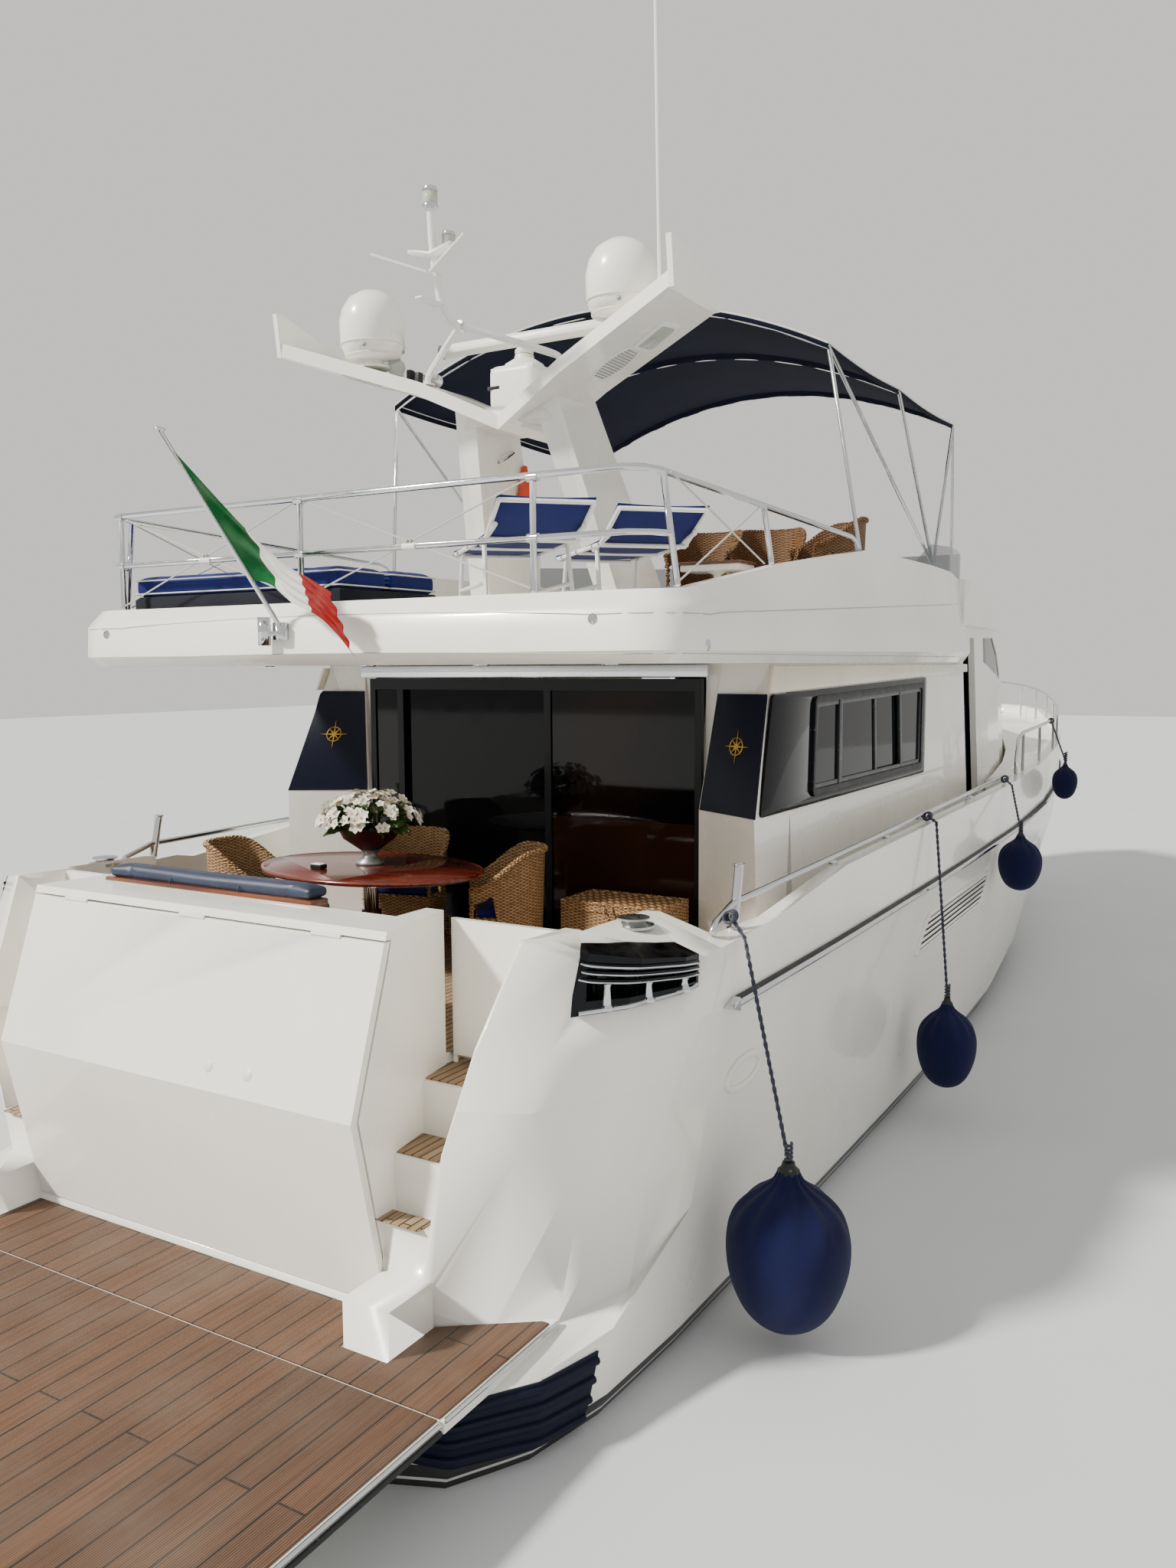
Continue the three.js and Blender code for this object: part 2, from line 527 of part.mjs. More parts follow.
// Flybridge moulding: a tray with raised sides that runs forward into the roof of the pilothouse
const FLY_PLAN = [
  [2150, 1107], [2330, 1150], [2430, 1260], [2466, 1430], [2466, 2800],
  [2466, 4670], [2460, 6500], [2400, 7400], [2250, 8200], [2120, 8950],
];
const FLY_TOP = [4205, 4205, 4208, 4215, 4430, 4670, 4670, 4670, 4670, 4670];
const FLY_EDGE = [3870, 3870, 3870, 3870, 3875, 3885, 3895, 3900, 3905, 3910];
const flyLevel = (distance, height) => inset(FLY_PLAN, distance).map(([x, s], i) => [x, s, height(i)]);
const tray = symmetricLoft([
  flyLevel(70, () => FLY.underside),
  flyLevel(0, (i) => FLY_EDGE[i]),
  flyLevel(10, () => 4085),
  flyLevel(45, () => 4130),
  flyLevel(110, (i) => FLY_TOP[i]),
  flyLevel(200, (i) => FLY_TOP[i]),
  flyLevel(225, () => FLY.deck),
]);
const VISOR_PLAN = [[2150, 8500], [2110, 9200], [2030, 10300], [1930, 11300], [1700, 12050], [1250, 12400], [500, 12560]];
const visor = sideProfile(
  [
    [8500, 4200], [12000, 4200], [12560, 4235], [12560, 4262],
    [11900, 4340], [10300, 4520], [9000, 4670], [8500, 4670],
  ],
  -3000,
  3000,
).intersect(planProfile(mirrored(VISOR_PLAN), 3000, 5000));
// Steering console, with a column that ends at the wheel
const WHEEL = { centre: [800, 7690, 4624], axis: [0, -0.832, 0.555], radius: 185, grip: 14, hub: 15 };
const columnEnd = point(WHEEL.centre).addScaledVector(point(WHEEL.axis), -WHEEL.hub - GAP).toArray();
const columnRoot = point(WHEEL.centre).addScaledVector(point(WHEEL.axis), -220).toArray();
const helmConsole = join(
  sideProfile([[7690, 4010], [8560, 4010], [8560, 4700], [8250, 4800], [7930, 4700], [7740, 4420]], 200, 1400),
  rod(columnRoot, columnEnd, 30, 12),
);
place("flybridge", join(tray, visor, helmConsole), "gelcoat");

// Acrylic screen on the flybridge coaming
const SCREEN_BASE = FLY.sideTop + GAP;
const screenWall = cut(
  planProfile(mirrored(inset(FLY_PLAN, 117)), SCREEN_BASE, 5100),
  planProfile(mirrored(inset(FLY_PLAN, 131)), 4000, 5200),
);
const screenSide = sideProfile([[6000, SCREEN_BASE], [6500, 4860], [8300, 4960], [9000, 4960], [9000, SCREEN_BASE]], -3000, 3000);
place("fly_windscreen", screenWall.intersect(screenSide), "acrylic");

// Radar arch: two raked legs carry a V of two wings with upturned tips
// columns: half breadth, station of the aft edge, height of the underside
const WING_LINE = [[-1690, 2540, 6200], [-630, 2880, 5850], [0, 3050, 5560], [630, 2880, 5850], [1690, 2540, 6200]];
const WING = { chord: 700, thickness: 105 };
const RADAR = { s: 3420, half: 790 };
const wings = loft(WING_LINE.map(([x, s, z]) => [
  [x, s, z], [x, s, z + WING.thickness], [x, s + WING.chord, z + WING.thickness], [x, s + WING.chord, z],
]));
const leg = loft([
  [[560, 3750, FLY.deck + GAP], [750, 3750, FLY.deck + GAP], [750, 4600, FLY.deck + GAP], [560, 4600, FLY.deck + GAP]],
  [[270, 3130, 5750], [460, 3130, 5820], [460, 3720, 5820], [270, 3720, 5750]],
]);
const winglet = sideProfile([[2540, 6200], [2500, 6520], [2580, 6520], [3240, 6330], [3240, 6200]], 1690, 1730);
const plinth = disc(230, 5600, 5760, [0, 3420]);
const radarStand = join(
  box(-190, 190, 3240, 3600, 5740, 6060),
  turned([[0, 6050], [95, 6050], [60, 6090], [60, 6180], [0, 6180]], [0, RADAR.s, 0]),
);
const aerial = rod([1590, 2610, 6240], [1560, 2590, 8700], 11, 6);
const arch = join(wings, both(leg), both(winglet), plinth, radarStand, aerial);
place("radar_arch", arch, "gelcoat");

const scanner = join(
  box(-RADAR.half, RADAR.half, RADAR.s - 55, RADAR.s + 55, 6255, 6345),
  disc(70, 6180 + GAP, 6260, [0, RADAR.s]),
);
place("radar_scanner", scanner, "gelcoat");

// Light mast: two struts from the wings, the mast itself and a small wing for a second lamp
const archTop = (x, s) => topOf(wings, x, s, 18) + GAP;
const mast = join(
  ...[-1, 1].map((side) => tube([
    [side * 600, 2990, archTop(600, 2990)], [side * 600, 2990, archTop(600, 2990) + 10], [side * 590, 2980, 6000], [0, 2590, 6205],
  ], 19)),
  tube([[0, 2600, 6200], [0, 2410, 6260], [0, 2290, 6630], [0, 2270, 6930]], 19),
  loft([-1, 0, 1].map((side) => [
    [side * 180, 2240, 6600 + 40 * Math.abs(side)], [side * 180, 2340, 6600 + 40 * Math.abs(side)],
    [side * 180, 2340, 6625 + 40 * Math.abs(side)], [side * 180, 2240, 6625 + 40 * Math.abs(side)],
  ])),
  disc(48, 6920, 7040, [0, 2270], 12),
);
place("light_mast", mast, "steel");

const DOME = { x: 1120, s: 2960, base: 6126.3, radius: 256 };
const dome = turned(
  [[0, 0], [70, 0], [70, 45], [205, 60], [250, 150], [DOME.radius, 330], [236, 420], [185, 505], [100, 560], [0, 580]],
  [DOME.x, DOME.s, DOME.base + 14],
  24,
);
placePair("dome", dome, "gelcoat");

// Garage door in the transom, lift platform, stern gates
const doorOutline = [...doorLine, ...behindDoor(DOOR_THICKNESS).reverse()];
const doorPanel = sideProfile(doorOutline, -TRANSOM.halfWidth + 5, TRANSOM.halfWidth - 5);
const doorBarrels = [-1100, -100, 900].map((x) => eye(doorTop, 10.6, x, x + 200));
place("garage_door", join(doorPanel, ...doorBarrels), "gelcoat");

function bar([s0, z0], [s1, z1], depth, x0, x1) {
  const along = new THREE.Vector2(s1 - s0, z1 - z0).normalize().multiplyScalar(depth / 2);
  return sideProfile(
    [[s0 - along.y, z0 + along.x], [s1 - along.y, z1 + along.x], [s1 + along.y, z1 - along.x], [s0 + along.y, z0 - along.x]],
    x0,
    x1,
  );
}
const liftArm = join(
  bar(LIFT.low, LIFT.high, 80, LIFT.x - LIFT.halfWidth, LIFT.x + LIFT.halfWidth),
  ...[LIFT.low, LIFT.high].flatMap((pivot) => [
    eye(pivot, 45, LIFT.x - LIFT.halfWidth, LIFT.x + LIFT.halfWidth),
    eye(pivot, LIFT.pin, LIFT.x, LIFT.lugFrom - GAP),
  ]),
);
place("lift_arms", join(both(liftArm), rod([-LIFT.x, -1090, 0], [LIFT.x, -1090, 0], 30)), "steel");

const platformLug = join(
  box(LIFT.lugFrom, LIFT.lugTo, -1560, -1400, 300, PLATFORM.bottom + 5),
  eye(LIFT.high, 45, LIFT.lugFrom, LIFT.lugTo),
);
const liftDeck = planProfile(
  mirrored([[PLATFORM.halfWidth, PLATFORM.joint - 15], [PLATFORM.halfWidth, -2330], [2090, -2480], [1950, PLATFORM.end]].reverse()),
  PLATFORM.bottom,
  PLATFORM.top,
);
place("swim_platform", join(liftDeck, both(platformLug)), "gelcoat");

const GATE = {
  inner: 1315, aft: 640, forward: 680, bottom: 1636, top: 2405, wallAt: 1790, wallFrom: 1410, wallLean: 0.2137,
};
const gateOuter = (z) => GATE.wallAt + (z - GATE.wallFrom) * GATE.wallLean - 12;
const gate = crossProfile(
  [[GATE.inner, GATE.bottom], [gateOuter(GATE.bottom), GATE.bottom], [gateOuter(GATE.top), GATE.top], [GATE.inner, GATE.top]],
  GATE.aft,
  GATE.forward,
);
const gatePin = disc(14, TREADS[0][1] + GAP, GATE.top, [GATE.inner, (GATE.aft + GATE.forward) / 2], 12);
placePair("stern_gate", join(gate, gatePin), "gelcoat");

// Propellers and rudders
// columns: radius, chord, thickness of a blade section
const BLADE = [[50, 120, 26], [160, 220, 18], [280, 270, 12], [370, 225, 8], [425, 80, 5]];
const PITCH = 800;
function blade(turn) {
  return loft(BLADE.map(([r, chord, thick]) => {
    const angle = Math.atan2(PITCH, 2 * Math.PI * r);
    const along = new THREE.Vector3(0, Math.cos(angle), Math.sin(angle)).multiplyScalar(chord / 2);
    const across = new THREE.Vector3(0, -Math.sin(angle), Math.cos(angle)).multiplyScalar(thick / 2);
    return [[-1, -1], [1, -1], [1, 1], [-1, 1]].map(([a, b]) =>
      new THREE.Vector3(r, 0, 0).addScaledVector(along, a).addScaledVector(across, b).applyAxisAngle(Z, turn).toArray());
  }));
}
const hub = turned([[0, -130], [35, -115], [62, -60], [72, 60], [50, 141], [0, 141]], [0, 0, 0], 16);
const propeller = aimed(
  join(hub, ...[0, 1, 2, 3].map((i) => blade((i * Math.PI) / 2))),
  shaftPoint(SHAFT.station),
  [0, 1, SHAFT.slope],
);
placePair("propeller", propeller, "bronze");

const foil = (z, front, back) => {
  const chord = front - back;
  return [[0, 0], [0.12, 1], [0.35, 1.25], [1, 0.15], [1, -0.15], [0.35, -1.25], [0.12, -1]].map(([share, side]) =>
    [RUDDER.x + side * 20, front - share * chord, z]);
};
placePair("rudder", loft([
  foil(RUDDER.bottom, RUDDER.station + 120, RUDDER.station - 260),
  foil(RUDDER.top, RUDDER.station + 140, RUDDER.station - 310),
]), "bronze");

// Rails
const capHeight = (x, s) => Math.max(topOf(deckMoulding, x, s), topOf(deckMoulding, -x, s)) + GAP;
// columns: x, station, height of the tube
const CAP_RAIL = [[2500, 1540, 2335], [2500, 1790, 2408], [2500, 3500, 2440], [2498, 6000, 2490], [2488, 9040, 2560]];
const CAP_POSTS = [1500, 1790, 3500, 4750, 6000, 7500];
function railHeight(line, s) {
  const next = line.findIndex(([, station]) => station >= s);
  if (next <= 0) return line[0];
  const [a, b] = [line[next - 1], line[next]];
  const share = (s - a[1]) / (b[1] - a[1]);
  return a.map((value, i) => value + share * (b[i] - value));
}
const capRailRun = [
  [2500, 1500, capHeight(2500, 1500)], [2500, 1500, capHeight(2500, 1500) + 20], ...CAP_RAIL,
  [2486, 9120, capHeight(2486, 9120) + 25], [2486, 9120, capHeight(2486, 9120)],
];
const capRail = join(
  tube(capRailRun, TUBE),
  ...CAP_POSTS.slice(1).map((s) => {
    const [x, , z] = railHeight(CAP_RAIL, s);
    return rod([x, s, capHeight(x, s)], [x, s, z], POST);
  }),
);
placePair("cap_rail", capRail, "steel");

// columns: x, station, height, whether a stanchion stands there
const BOW_RAIL = [
  [2462, 9900, 2920, 0], [2460, 10200, 2985, 1], [2440, 11300, 3010, 1], [2380, 12560, 3040, 1], [2250, 13600, 3085, 1],
  [2080, 14600, 3140, 1], [1860, 15500, 3200, 1], [1590, 16450, 3270, 1], [1260, 17350, 3340, 1], [860, 18120, 3400, 1],
  [360, 18640, 3440, 1],
];
const bowRailRun = BOW_RAIL.map(([x, s, z]) => [x, s, z]);
const bowRailFoot = [[2464, 9800, capHeight(2464, 9800)], [2464, 9800, 2700]];
const acrossBoat = (run) => [...run, ...run.map(([x, s, z]) => [-x, s, z]).reverse()];
const bowRailPath = acrossBoat([...bowRailFoot, ...bowRailRun]);
const bowRail = join(
  tube(bowRailPath, TUBE),
  ...BOW_RAIL.filter(([, , , stanchion]) => stanchion).flatMap(([x, s, z]) =>
    [-1, 1].map((side) => rod([side * x, s, capHeight(x, s)], [side * x, s, z], POST))),
);
place("bow_rail", bowRail, "steel");

const coaming = join(tray);
const coamingHeight = (x, s, reach = TUBE) => topOf(coaming, x, s, reach) + GAP;
const FLY_RAIL = [
  [2302, 4470, 4725], [2298, 4380, 4748], [2250, 2800, 4810], [2196, 1480, 4866], [2150, 1340, 4871], [2060, 1268, 4872],
];
const flyRailRun = [[2305, 4520, coamingHeight(2305, 4520)], [2305, 4515, 4690], ...FLY_RAIL];
const midRail = [[2246, 1478, 4520], [2190, 1345, 4520], [2080, 1268, 4520]];
// columns: x and station of the foot, x and station and height of the head
const FLY_POSTS = [
  [2285, 1480, 2196, 1480, 4866], [2305, 2800, 2250, 2800, 4810], [-2285, 1480, -2196, 1480, 4866], [-2305, 2800, -2250, 2800, 4810],
  [-2060, 1268, -2060, 1268, 4872], [-330, 1268, -330, 1268, 4872], [1470, 1268, 1470, 1268, 4872],
];
// A tube that stands upright on the coaming, then leans to its head
function standing([x, s], head, radius) {
  const foot = coamingHeight(Math.abs(x), s, radius + 1);
  return tube([[x, s, foot], [x, s, foot + 15], head], radius);
}
const flyRail = join(
  tube(acrossBoat(flyRailRun), TUBE),
  tube(acrossBoat(midRail), TUBE - 3),
  ...FLY_POSTS.map(([footX, footS, x, s, z]) => standing([footX, footS], [x, s, z], POST + 3)),
);
place("fly_rail", flyRail, "steel");

// Bimini: a cloth over three hoops
const BIMINI = { halfWidth: 2090, edge: 6205, rise: 535, cloth: 12, tube: 16 };
const biminiHeight = (x) => BIMINI.edge + BIMINI.rise * (1 - (x / BIMINI.halfWidth) ** 2);
const biminiXs = Array.from({ length: 11 }, (_, i) => BIMINI.halfWidth * (i / 5 - 1));
// columns: station, how far the cloth hangs below its hoops there
const CLOTH = [[4400, 0], [4460, 0], [5300, 25], [6220, 0], [6280, 0], [7200, 25], [8090, 0], [8150, 0]];
const canopyStrip = (x0, x1) => loft(CLOTH.map(([s, sag]) => {
  const [z0, z1] = [x0, x1].map((x) => biminiHeight(x) - sag);
  return [[x0, s, z0], [x1, s, z1], [x1, s, z1 - BIMINI.cloth], [x0, s, z0 - BIMINI.cloth]];
}));
place("bimini_canopy", join(...biminiXs.slice(1).map((x, i) => canopyStrip(biminiXs[i], x))), "navyCloth");

// A hoop lies 0.35 mm under the cloth, measured square to the steeper of the two panels at each point
const BIMINI_STEP = BIMINI.halfWidth / 5;
function hoopDrop(x) {
  const reach = Math.min(2 * Math.abs(x) + BIMINI_STEP, 2 * BIMINI.halfWidth - BIMINI_STEP);
  const slope = (BIMINI.rise * reach) / BIMINI.halfWidth ** 2;
  return (BIMINI.tube + 0.35) * Math.hypot(1, slope);
}
const hoopAt = (s) => biminiXs.map((x) => [x, s, biminiHeight(x) - BIMINI.cloth - hoopDrop(x)]);
const hoopEnd = (s) => hoopAt(s)[biminiXs.length - 1];
const HOOPS = [4430, 6250, 8120];
// columns: x and station of a foot on the coaming, station of the hoop that it carries
const BIMINI_LEGS = [[2300, 4590, 4430], [2285, 6750, 4430], [2285, 6750, 6250], [2285, 6750, 8120], [2085, 8220, 8120]];
const biminiFrame = join(
  ...HOOPS.map((s) => tube(hoopAt(s), BIMINI.tube)),
  ...BIMINI_LEGS.flatMap(([x, s, hoop]) => [-1, 1].map((side) => {
    const [headX, headS, headZ] = hoopEnd(hoop);
    return standing([side * x, s], [side * headX, headS, headZ], BIMINI.tube);
  })),
);
place("bimini_frame", biminiFrame, "steel");

// Flybridge helm and seats
const ringProfile = Array.from({ length: 9 }, (_, i) => {
  const angle = (2 * Math.PI * i) / 8;
  return [WHEEL.radius + WHEEL.grip * Math.cos(angle), WHEEL.grip * Math.sin(angle)];
});
const wheel = join(
  turned(ringProfile, [0, 0, 0], 24),
  disc(36, -WHEEL.hub, WHEEL.hub, [0, 0], 12),
  ...[0, 1, 2].map((i) => {
    const angle = Math.PI / 2 + (2 * Math.PI * i) / 3;
    return rod([0, 0, 0], [WHEEL.radius * Math.cos(angle), WHEEL.radius * Math.sin(angle), 0], 9, 6);
  }),
);
place("helm_wheel", aimed(wheel, WHEEL.centre, WHEEL.axis), "steel");

const helmBench = sideProfile(
  [[6560, FLY.deck + GAP], [7150, FLY.deck + GAP], [7180, 4480], [6730, 4500], [6640, 4960], [6540, 4960]],
  260,
  1350,
);
place("helm_seat", helmBench, "navyLeather");
place("sunpad", box(-2120, -100, 1380, 2440, FLY.deck + GAP, 4440), "navyCloth");

// Two loungers: a frame on four legs with a raised back; made with the foot end forward, then turned
const LOUNGER = { halfWidth: 310, length: 1250, seat: 4570, rail: 34, head: [-405, 4765], leg: 22 };
const loungerBody = join(
  box(-LOUNGER.halfWidth, LOUNGER.halfWidth, 0, LOUNGER.length, LOUNGER.seat, LOUNGER.seat + LOUNGER.rail),
  bar([20, LOUNGER.seat + 17], LOUNGER.head, 30, -LOUNGER.halfWidth, LOUNGER.halfWidth),
  ...[120, LOUNGER.length - 150].flatMap((s) => [-1, 1].map((side) =>
    rod([side * 280, s, FLY.deck + GAP], [side * 280, s, LOUNGER.seat + 10], LOUNGER.leg, 6))),
);
place("lounger_aft", headed(loungerBody, 0.8, [1080, 1860, 0]), "aluminium");
place("lounger_forward", headed(loungerBody, 0.8, [1490, 2590, 0]), "aluminium");

// Cockpit furniture
const TABLE = { x: -400, s: 1960, halfLength: 880, halfDepth: 600, top: 2370, thickness: 34 };
const tableOutline = Array.from({ length: 28 }, (_, i) => {
  const angle = (2 * Math.PI * i) / 28;
  return [TABLE.x + TABLE.halfLength * Math.cos(angle), TABLE.s + TABLE.halfDepth * Math.sin(angle)];
});
const sole = SOLE + GAP;
place("cockpit_table", join(
  planProfile(tableOutline, TABLE.top - TABLE.thickness, TABLE.top),
  disc(210, sole, sole + 18, [TABLE.x, TABLE.s]),
  disc(74, sole + 10, 2060, [TABLE.x, TABLE.s]),
  disc(54, 2050, TABLE.top - 20, [TABLE.x, TABLE.s]),
), "mahogany");

place("flower_bowl", turned(
  [[0, 0], [105, 0], [105, 18], [62, 48], [46, 80], [70, 104], [190, 190], [228, 268], [216, 268], [176, 200], [0, 125]],
  [-470, 2040, TABLE.top + GAP],
  24,
), "pewter");

const BENCH = { x0: -1160, x1: 560, back: 350, seatFront: 1040, seat: 2030 };
place("bench_base", sideProfile(
  [[BENCH.back, sole], [BENCH.seatFront - 60, sole], [BENCH.seatFront, BENCH.seat], [490, BENCH.seat], [465, 2455], [BENCH.back, 2455]],
  BENCH.x0,
  BENCH.x1,
), "mahogany");
const seatCushion = box(BENCH.x0, BENCH.x1, 500, BENCH.seatFront, BENCH.seat + GAP, BENCH.seat + 90);
const benchWide = (outline) => sideProfile(outline, BENCH.x0, BENCH.x1);
const headRoll = benchWide([[345, 2455 + GAP], [475, 2455 + GAP], [488, 2485], [460, 2518], [375, 2522], [340, 2490]]);
const backPad = benchWide([
  [500, BENCH.seat + 60], [540, BENCH.seat + 60], [520, 2440], [484, 2500], [470, 2470], [478, 2300],
]);
const backBoard = bar([478, BENCH.seat - 400], [453, 2455 + GAP], 30, BENCH.x0 - 5, BENCH.x1 + 5);
place("bench_cushion", cut(join(seatCushion, headRoll, backPad), backBoard), "navyLeather");

// Tub chairs: a curved shell, highest at the back, round a seat; made facing forward, then turned
const CHAIR = { radius: 320, shell: 45, front: 240, seat: 2060, back: 2480, arm: 2235 };
function chairPlan(radius, front) {
  const arc = Array.from({ length: 11 }, (_, i) => {
    const angle = Math.PI * (1 + i / 10);
    return [radius * Math.cos(angle), radius * Math.sin(angle)];
  });
  return [...arc, [radius, front], [-radius, front]];
}
const chair = cut(
  planProfile(chairPlan(CHAIR.radius, CHAIR.front), sole, CHAIR.back),
  planProfile(chairPlan(CHAIR.radius - CHAIR.shell, CHAIR.front + 50), CHAIR.seat, CHAIR.back + 50),
  sideProfile([[-220, CHAIR.back], [CHAIR.front + 10, CHAIR.arm], [400, CHAIR.arm], [400, 3000], [-220, 3000]], -500, 500),
);
place("wicker_chair_port", headed(chair, -1.2, [-1560, 1900, 0]), "wicker");
place("wicker_chair_forward", headed(chair, Math.PI + 0.25, [-780, 2860, 0]), "wicker");
place("wicker_chair_starboard", headed(chair, 2.2, [340, 2560, 0]), "wicker");

const CHEST = { x0: 700, x1: 1500, s0: 2780, s1: 3230, lid: 2020, top: 2085 };
place("wicker_chest", cut(
  box(CHEST.x0, CHEST.x1, CHEST.s0, CHEST.s1, sole, CHEST.lid),
  box(CHEST.x0 + 25, CHEST.x1 - 25, CHEST.s0 + 25, CHEST.s1 - 25, sole + 25, CHEST.lid + 10),
), "wicker");
place("chest_lid", box(CHEST.x0 - 5, CHEST.x1 + 5, CHEST.s0 - 5, CHEST.s1 + 5, CHEST.lid + GAP, CHEST.top), "wicker");

// Ensign on its staff, hanging in folds
const STAFF = { foot: [-340, 1086, 4035], head: [-590, 390, 5190] };
place("ensign_staff", join(
  rod(STAFF.foot, STAFF.head, 15),
  box(-378, -302, 1050, FLY.aft + 4, 3965, 4075),
  disc(42, 3930, 4110, [-450, 1045], 12),
  box(-450, -340, 1035, 1065, 3990, 4020),
  turned([[0, -14], [34, 0], [34, 14], [0, 26]], STAFF.head, 10),
), "steel");
// columns: upper corner x, station, height, then lower corner x, station, height
const FOLDS = [
  [-549, 461, 5073, -389, 906, 4334], [-360, 700, 4740, -255, 945, 4300], [-120, 850, 4450, -90, 930, 4190],
  [80, 900, 4330, 130, 960, 4080], [240, 905, 4240, 390, 940, 3850],
];
const flagThickness = 6;
// A triangle of cloth, as thick as the flag
const fold = (...corners) => loft([corners, corners.map(([x, s, z]) => [x, s - flagThickness, z])]);
const cloth = join(...FOLDS.slice(1).flatMap(([x2, s2, z2, x3, s3, z3], i) => {
  const [x0, s0, z0, x1, s1, z1] = FOLDS[i];
  return [
    fold([x0, s0, z0], [x1, s1, z1], [x3, s3, z3]),
    fold([x0, s0, z0], [x3, s3, z3], [x2, s2, z2]),
  ];
}));
place("ensign", cloth, "flag");

// Mooring fairleads in the quarters: a steel skin with slats over three rollers
const fairleadMouth = sideProfile([[200, 2150], [200, 2330], [1115, 2190], [1115, 2105], [480, 2130]], 2000, 3000)
  .intersect(planProfile([[2330, 200], [2330, 400], [2262, 545], [2480, 1115], [2800, 1115], [2800, 200]], 2000, 2700));
const rollers = [[2310, 500], [2420, 760], [2520, 1000]].map(([x, s]) => disc(20, 2095, 2300, [x, s], 10));
const fairleadSpace = hullForm.intersect(planProfile(mooringPlan(GAP), MOORING_Z + GAP, 2700));
const fairlead = join(cut(fairleadSpace, fairleadMouth), ...rollers).intersect(fairleadSpace);
placePair("fairlead", fairlead, "steel");

// Foredeck: a hatch hinged at its forward edge, and the anchor on its roller
const FOREDECK = deckLine.slice(9, 13);
const deckAt = (s) => {
  const next = FOREDECK.findIndex(([station]) => station > s);
  const [[s0, z0], [s1, z1]] = [FOREDECK[next - 1], FOREDECK[next]];
  return z0 + ((s - s0) / (s1 - s0)) * (z1 - z0);
};
const HATCH = { aft: 16350, forward: 16950, halfWidth: 300, clear: 6, thickness: 42 };
const hatchLine = [HATCH.aft, HATCH.forward].map((s) => [s, deckAt(s) + HATCH.clear]);
place("foredeck_hatch", join(
  sideProfile(
    [...hatchLine, ...hatchLine.map(([s, z]) => [s, z + HATCH.thickness]).reverse()],
    -HATCH.halfWidth,
    HATCH.halfWidth,
  ),
  ...[-240, 140].map((x) => eye(hatchLine[1], HATCH.clear - 0.7, x, x + 100)),
), "acrylic");

const stemTop = topOf(deckMoulding, 0, 18730, 71, 232) + GAP;
const rollerCheek = [
  [18500, stemTop], [18960, stemTop], [19060, stemTop + 40], [19060, stemTop + 120], [18500, stemTop + 60],
];
place("anchor", join(
  sideProfile(rollerCheek, -70, -58),
  sideProfile(rollerCheek, 58, 70),
  box(-60, 60, 18500, 18960, stemTop, stemTop + 12),
  rod([0, 18450, stemTop + 60], [0, 19180, stemTop + 20], 26),
  loft([
    [[-20, 19150, stemTop + 40], [20, 19150, stemTop + 40], [20, 19190, stemTop - 20], [-20, 19190, stemTop - 20]],
    [[-170, 19110, stemTop - 330], [170, 19110, stemTop - 330], [120, 19200, stemTop - 380], [-120, 19200, stemTop - 380]],
  ]),
), "steel");

// Fenders of the starboard side, each with its taut lanyard over the bulwark to the rail
const fenderProfile = (radius, height) => [
  [0, -0.5], [0.18, -0.49], [0.5, -0.44], [0.86, -0.24], [1, 0], [0.9, 0.2], [0.6, 0.38], [0.2, 0.5], [0, 0.52],
].map(([r, z]) => [r * radius, z * height]);
const BOW_RAIL_FROM = 9800;
// columns: name, x and station and height of its centre, radius, height, station of the lanyard's end
const FENDERS = [
  ["fender_quarter", 2975, 1480, 540, 345, 900, 1620],
  ["fender_side", 2870, 5300, 640, 240, 700, 5750],
  ["fender_amidships", 2850, 8200, 1750, 215, 560, 8790],
  ["fender_forward", 2720, 11500, 2300, 150, 430, 12300],
];
FENDERS.forEach(([name, x, s, z, radius, height, endS]) => {
  const forward = endS > BOW_RAIL_FROM;
  const end = railHeight(forward ? bowRailRun : CAP_RAIL, endS);
  const top = [x, s, z + height / 2 - 10];
  const edgeS = s + (endS - s) * 0.8;
  const edge = [2640, edgeS, topOf(deckMoulding, 2560, edgeS) + 14];
  const line = tube(forward ? [top, end] : [top, edge, end], 8, 6);
  const rail = tube(forward ? bowRailPath : capRailRun, TUBE + SEAM);
  place(name, cut(join(turned(fenderProfile(radius, height), [x, s, z], 20), line), rail), "navyCloth");
});

export default yacht;
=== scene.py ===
import bpy
import json
import math
import random
from mathutils import Matrix, Vector
from mathutils.bvhtree import BVHTree

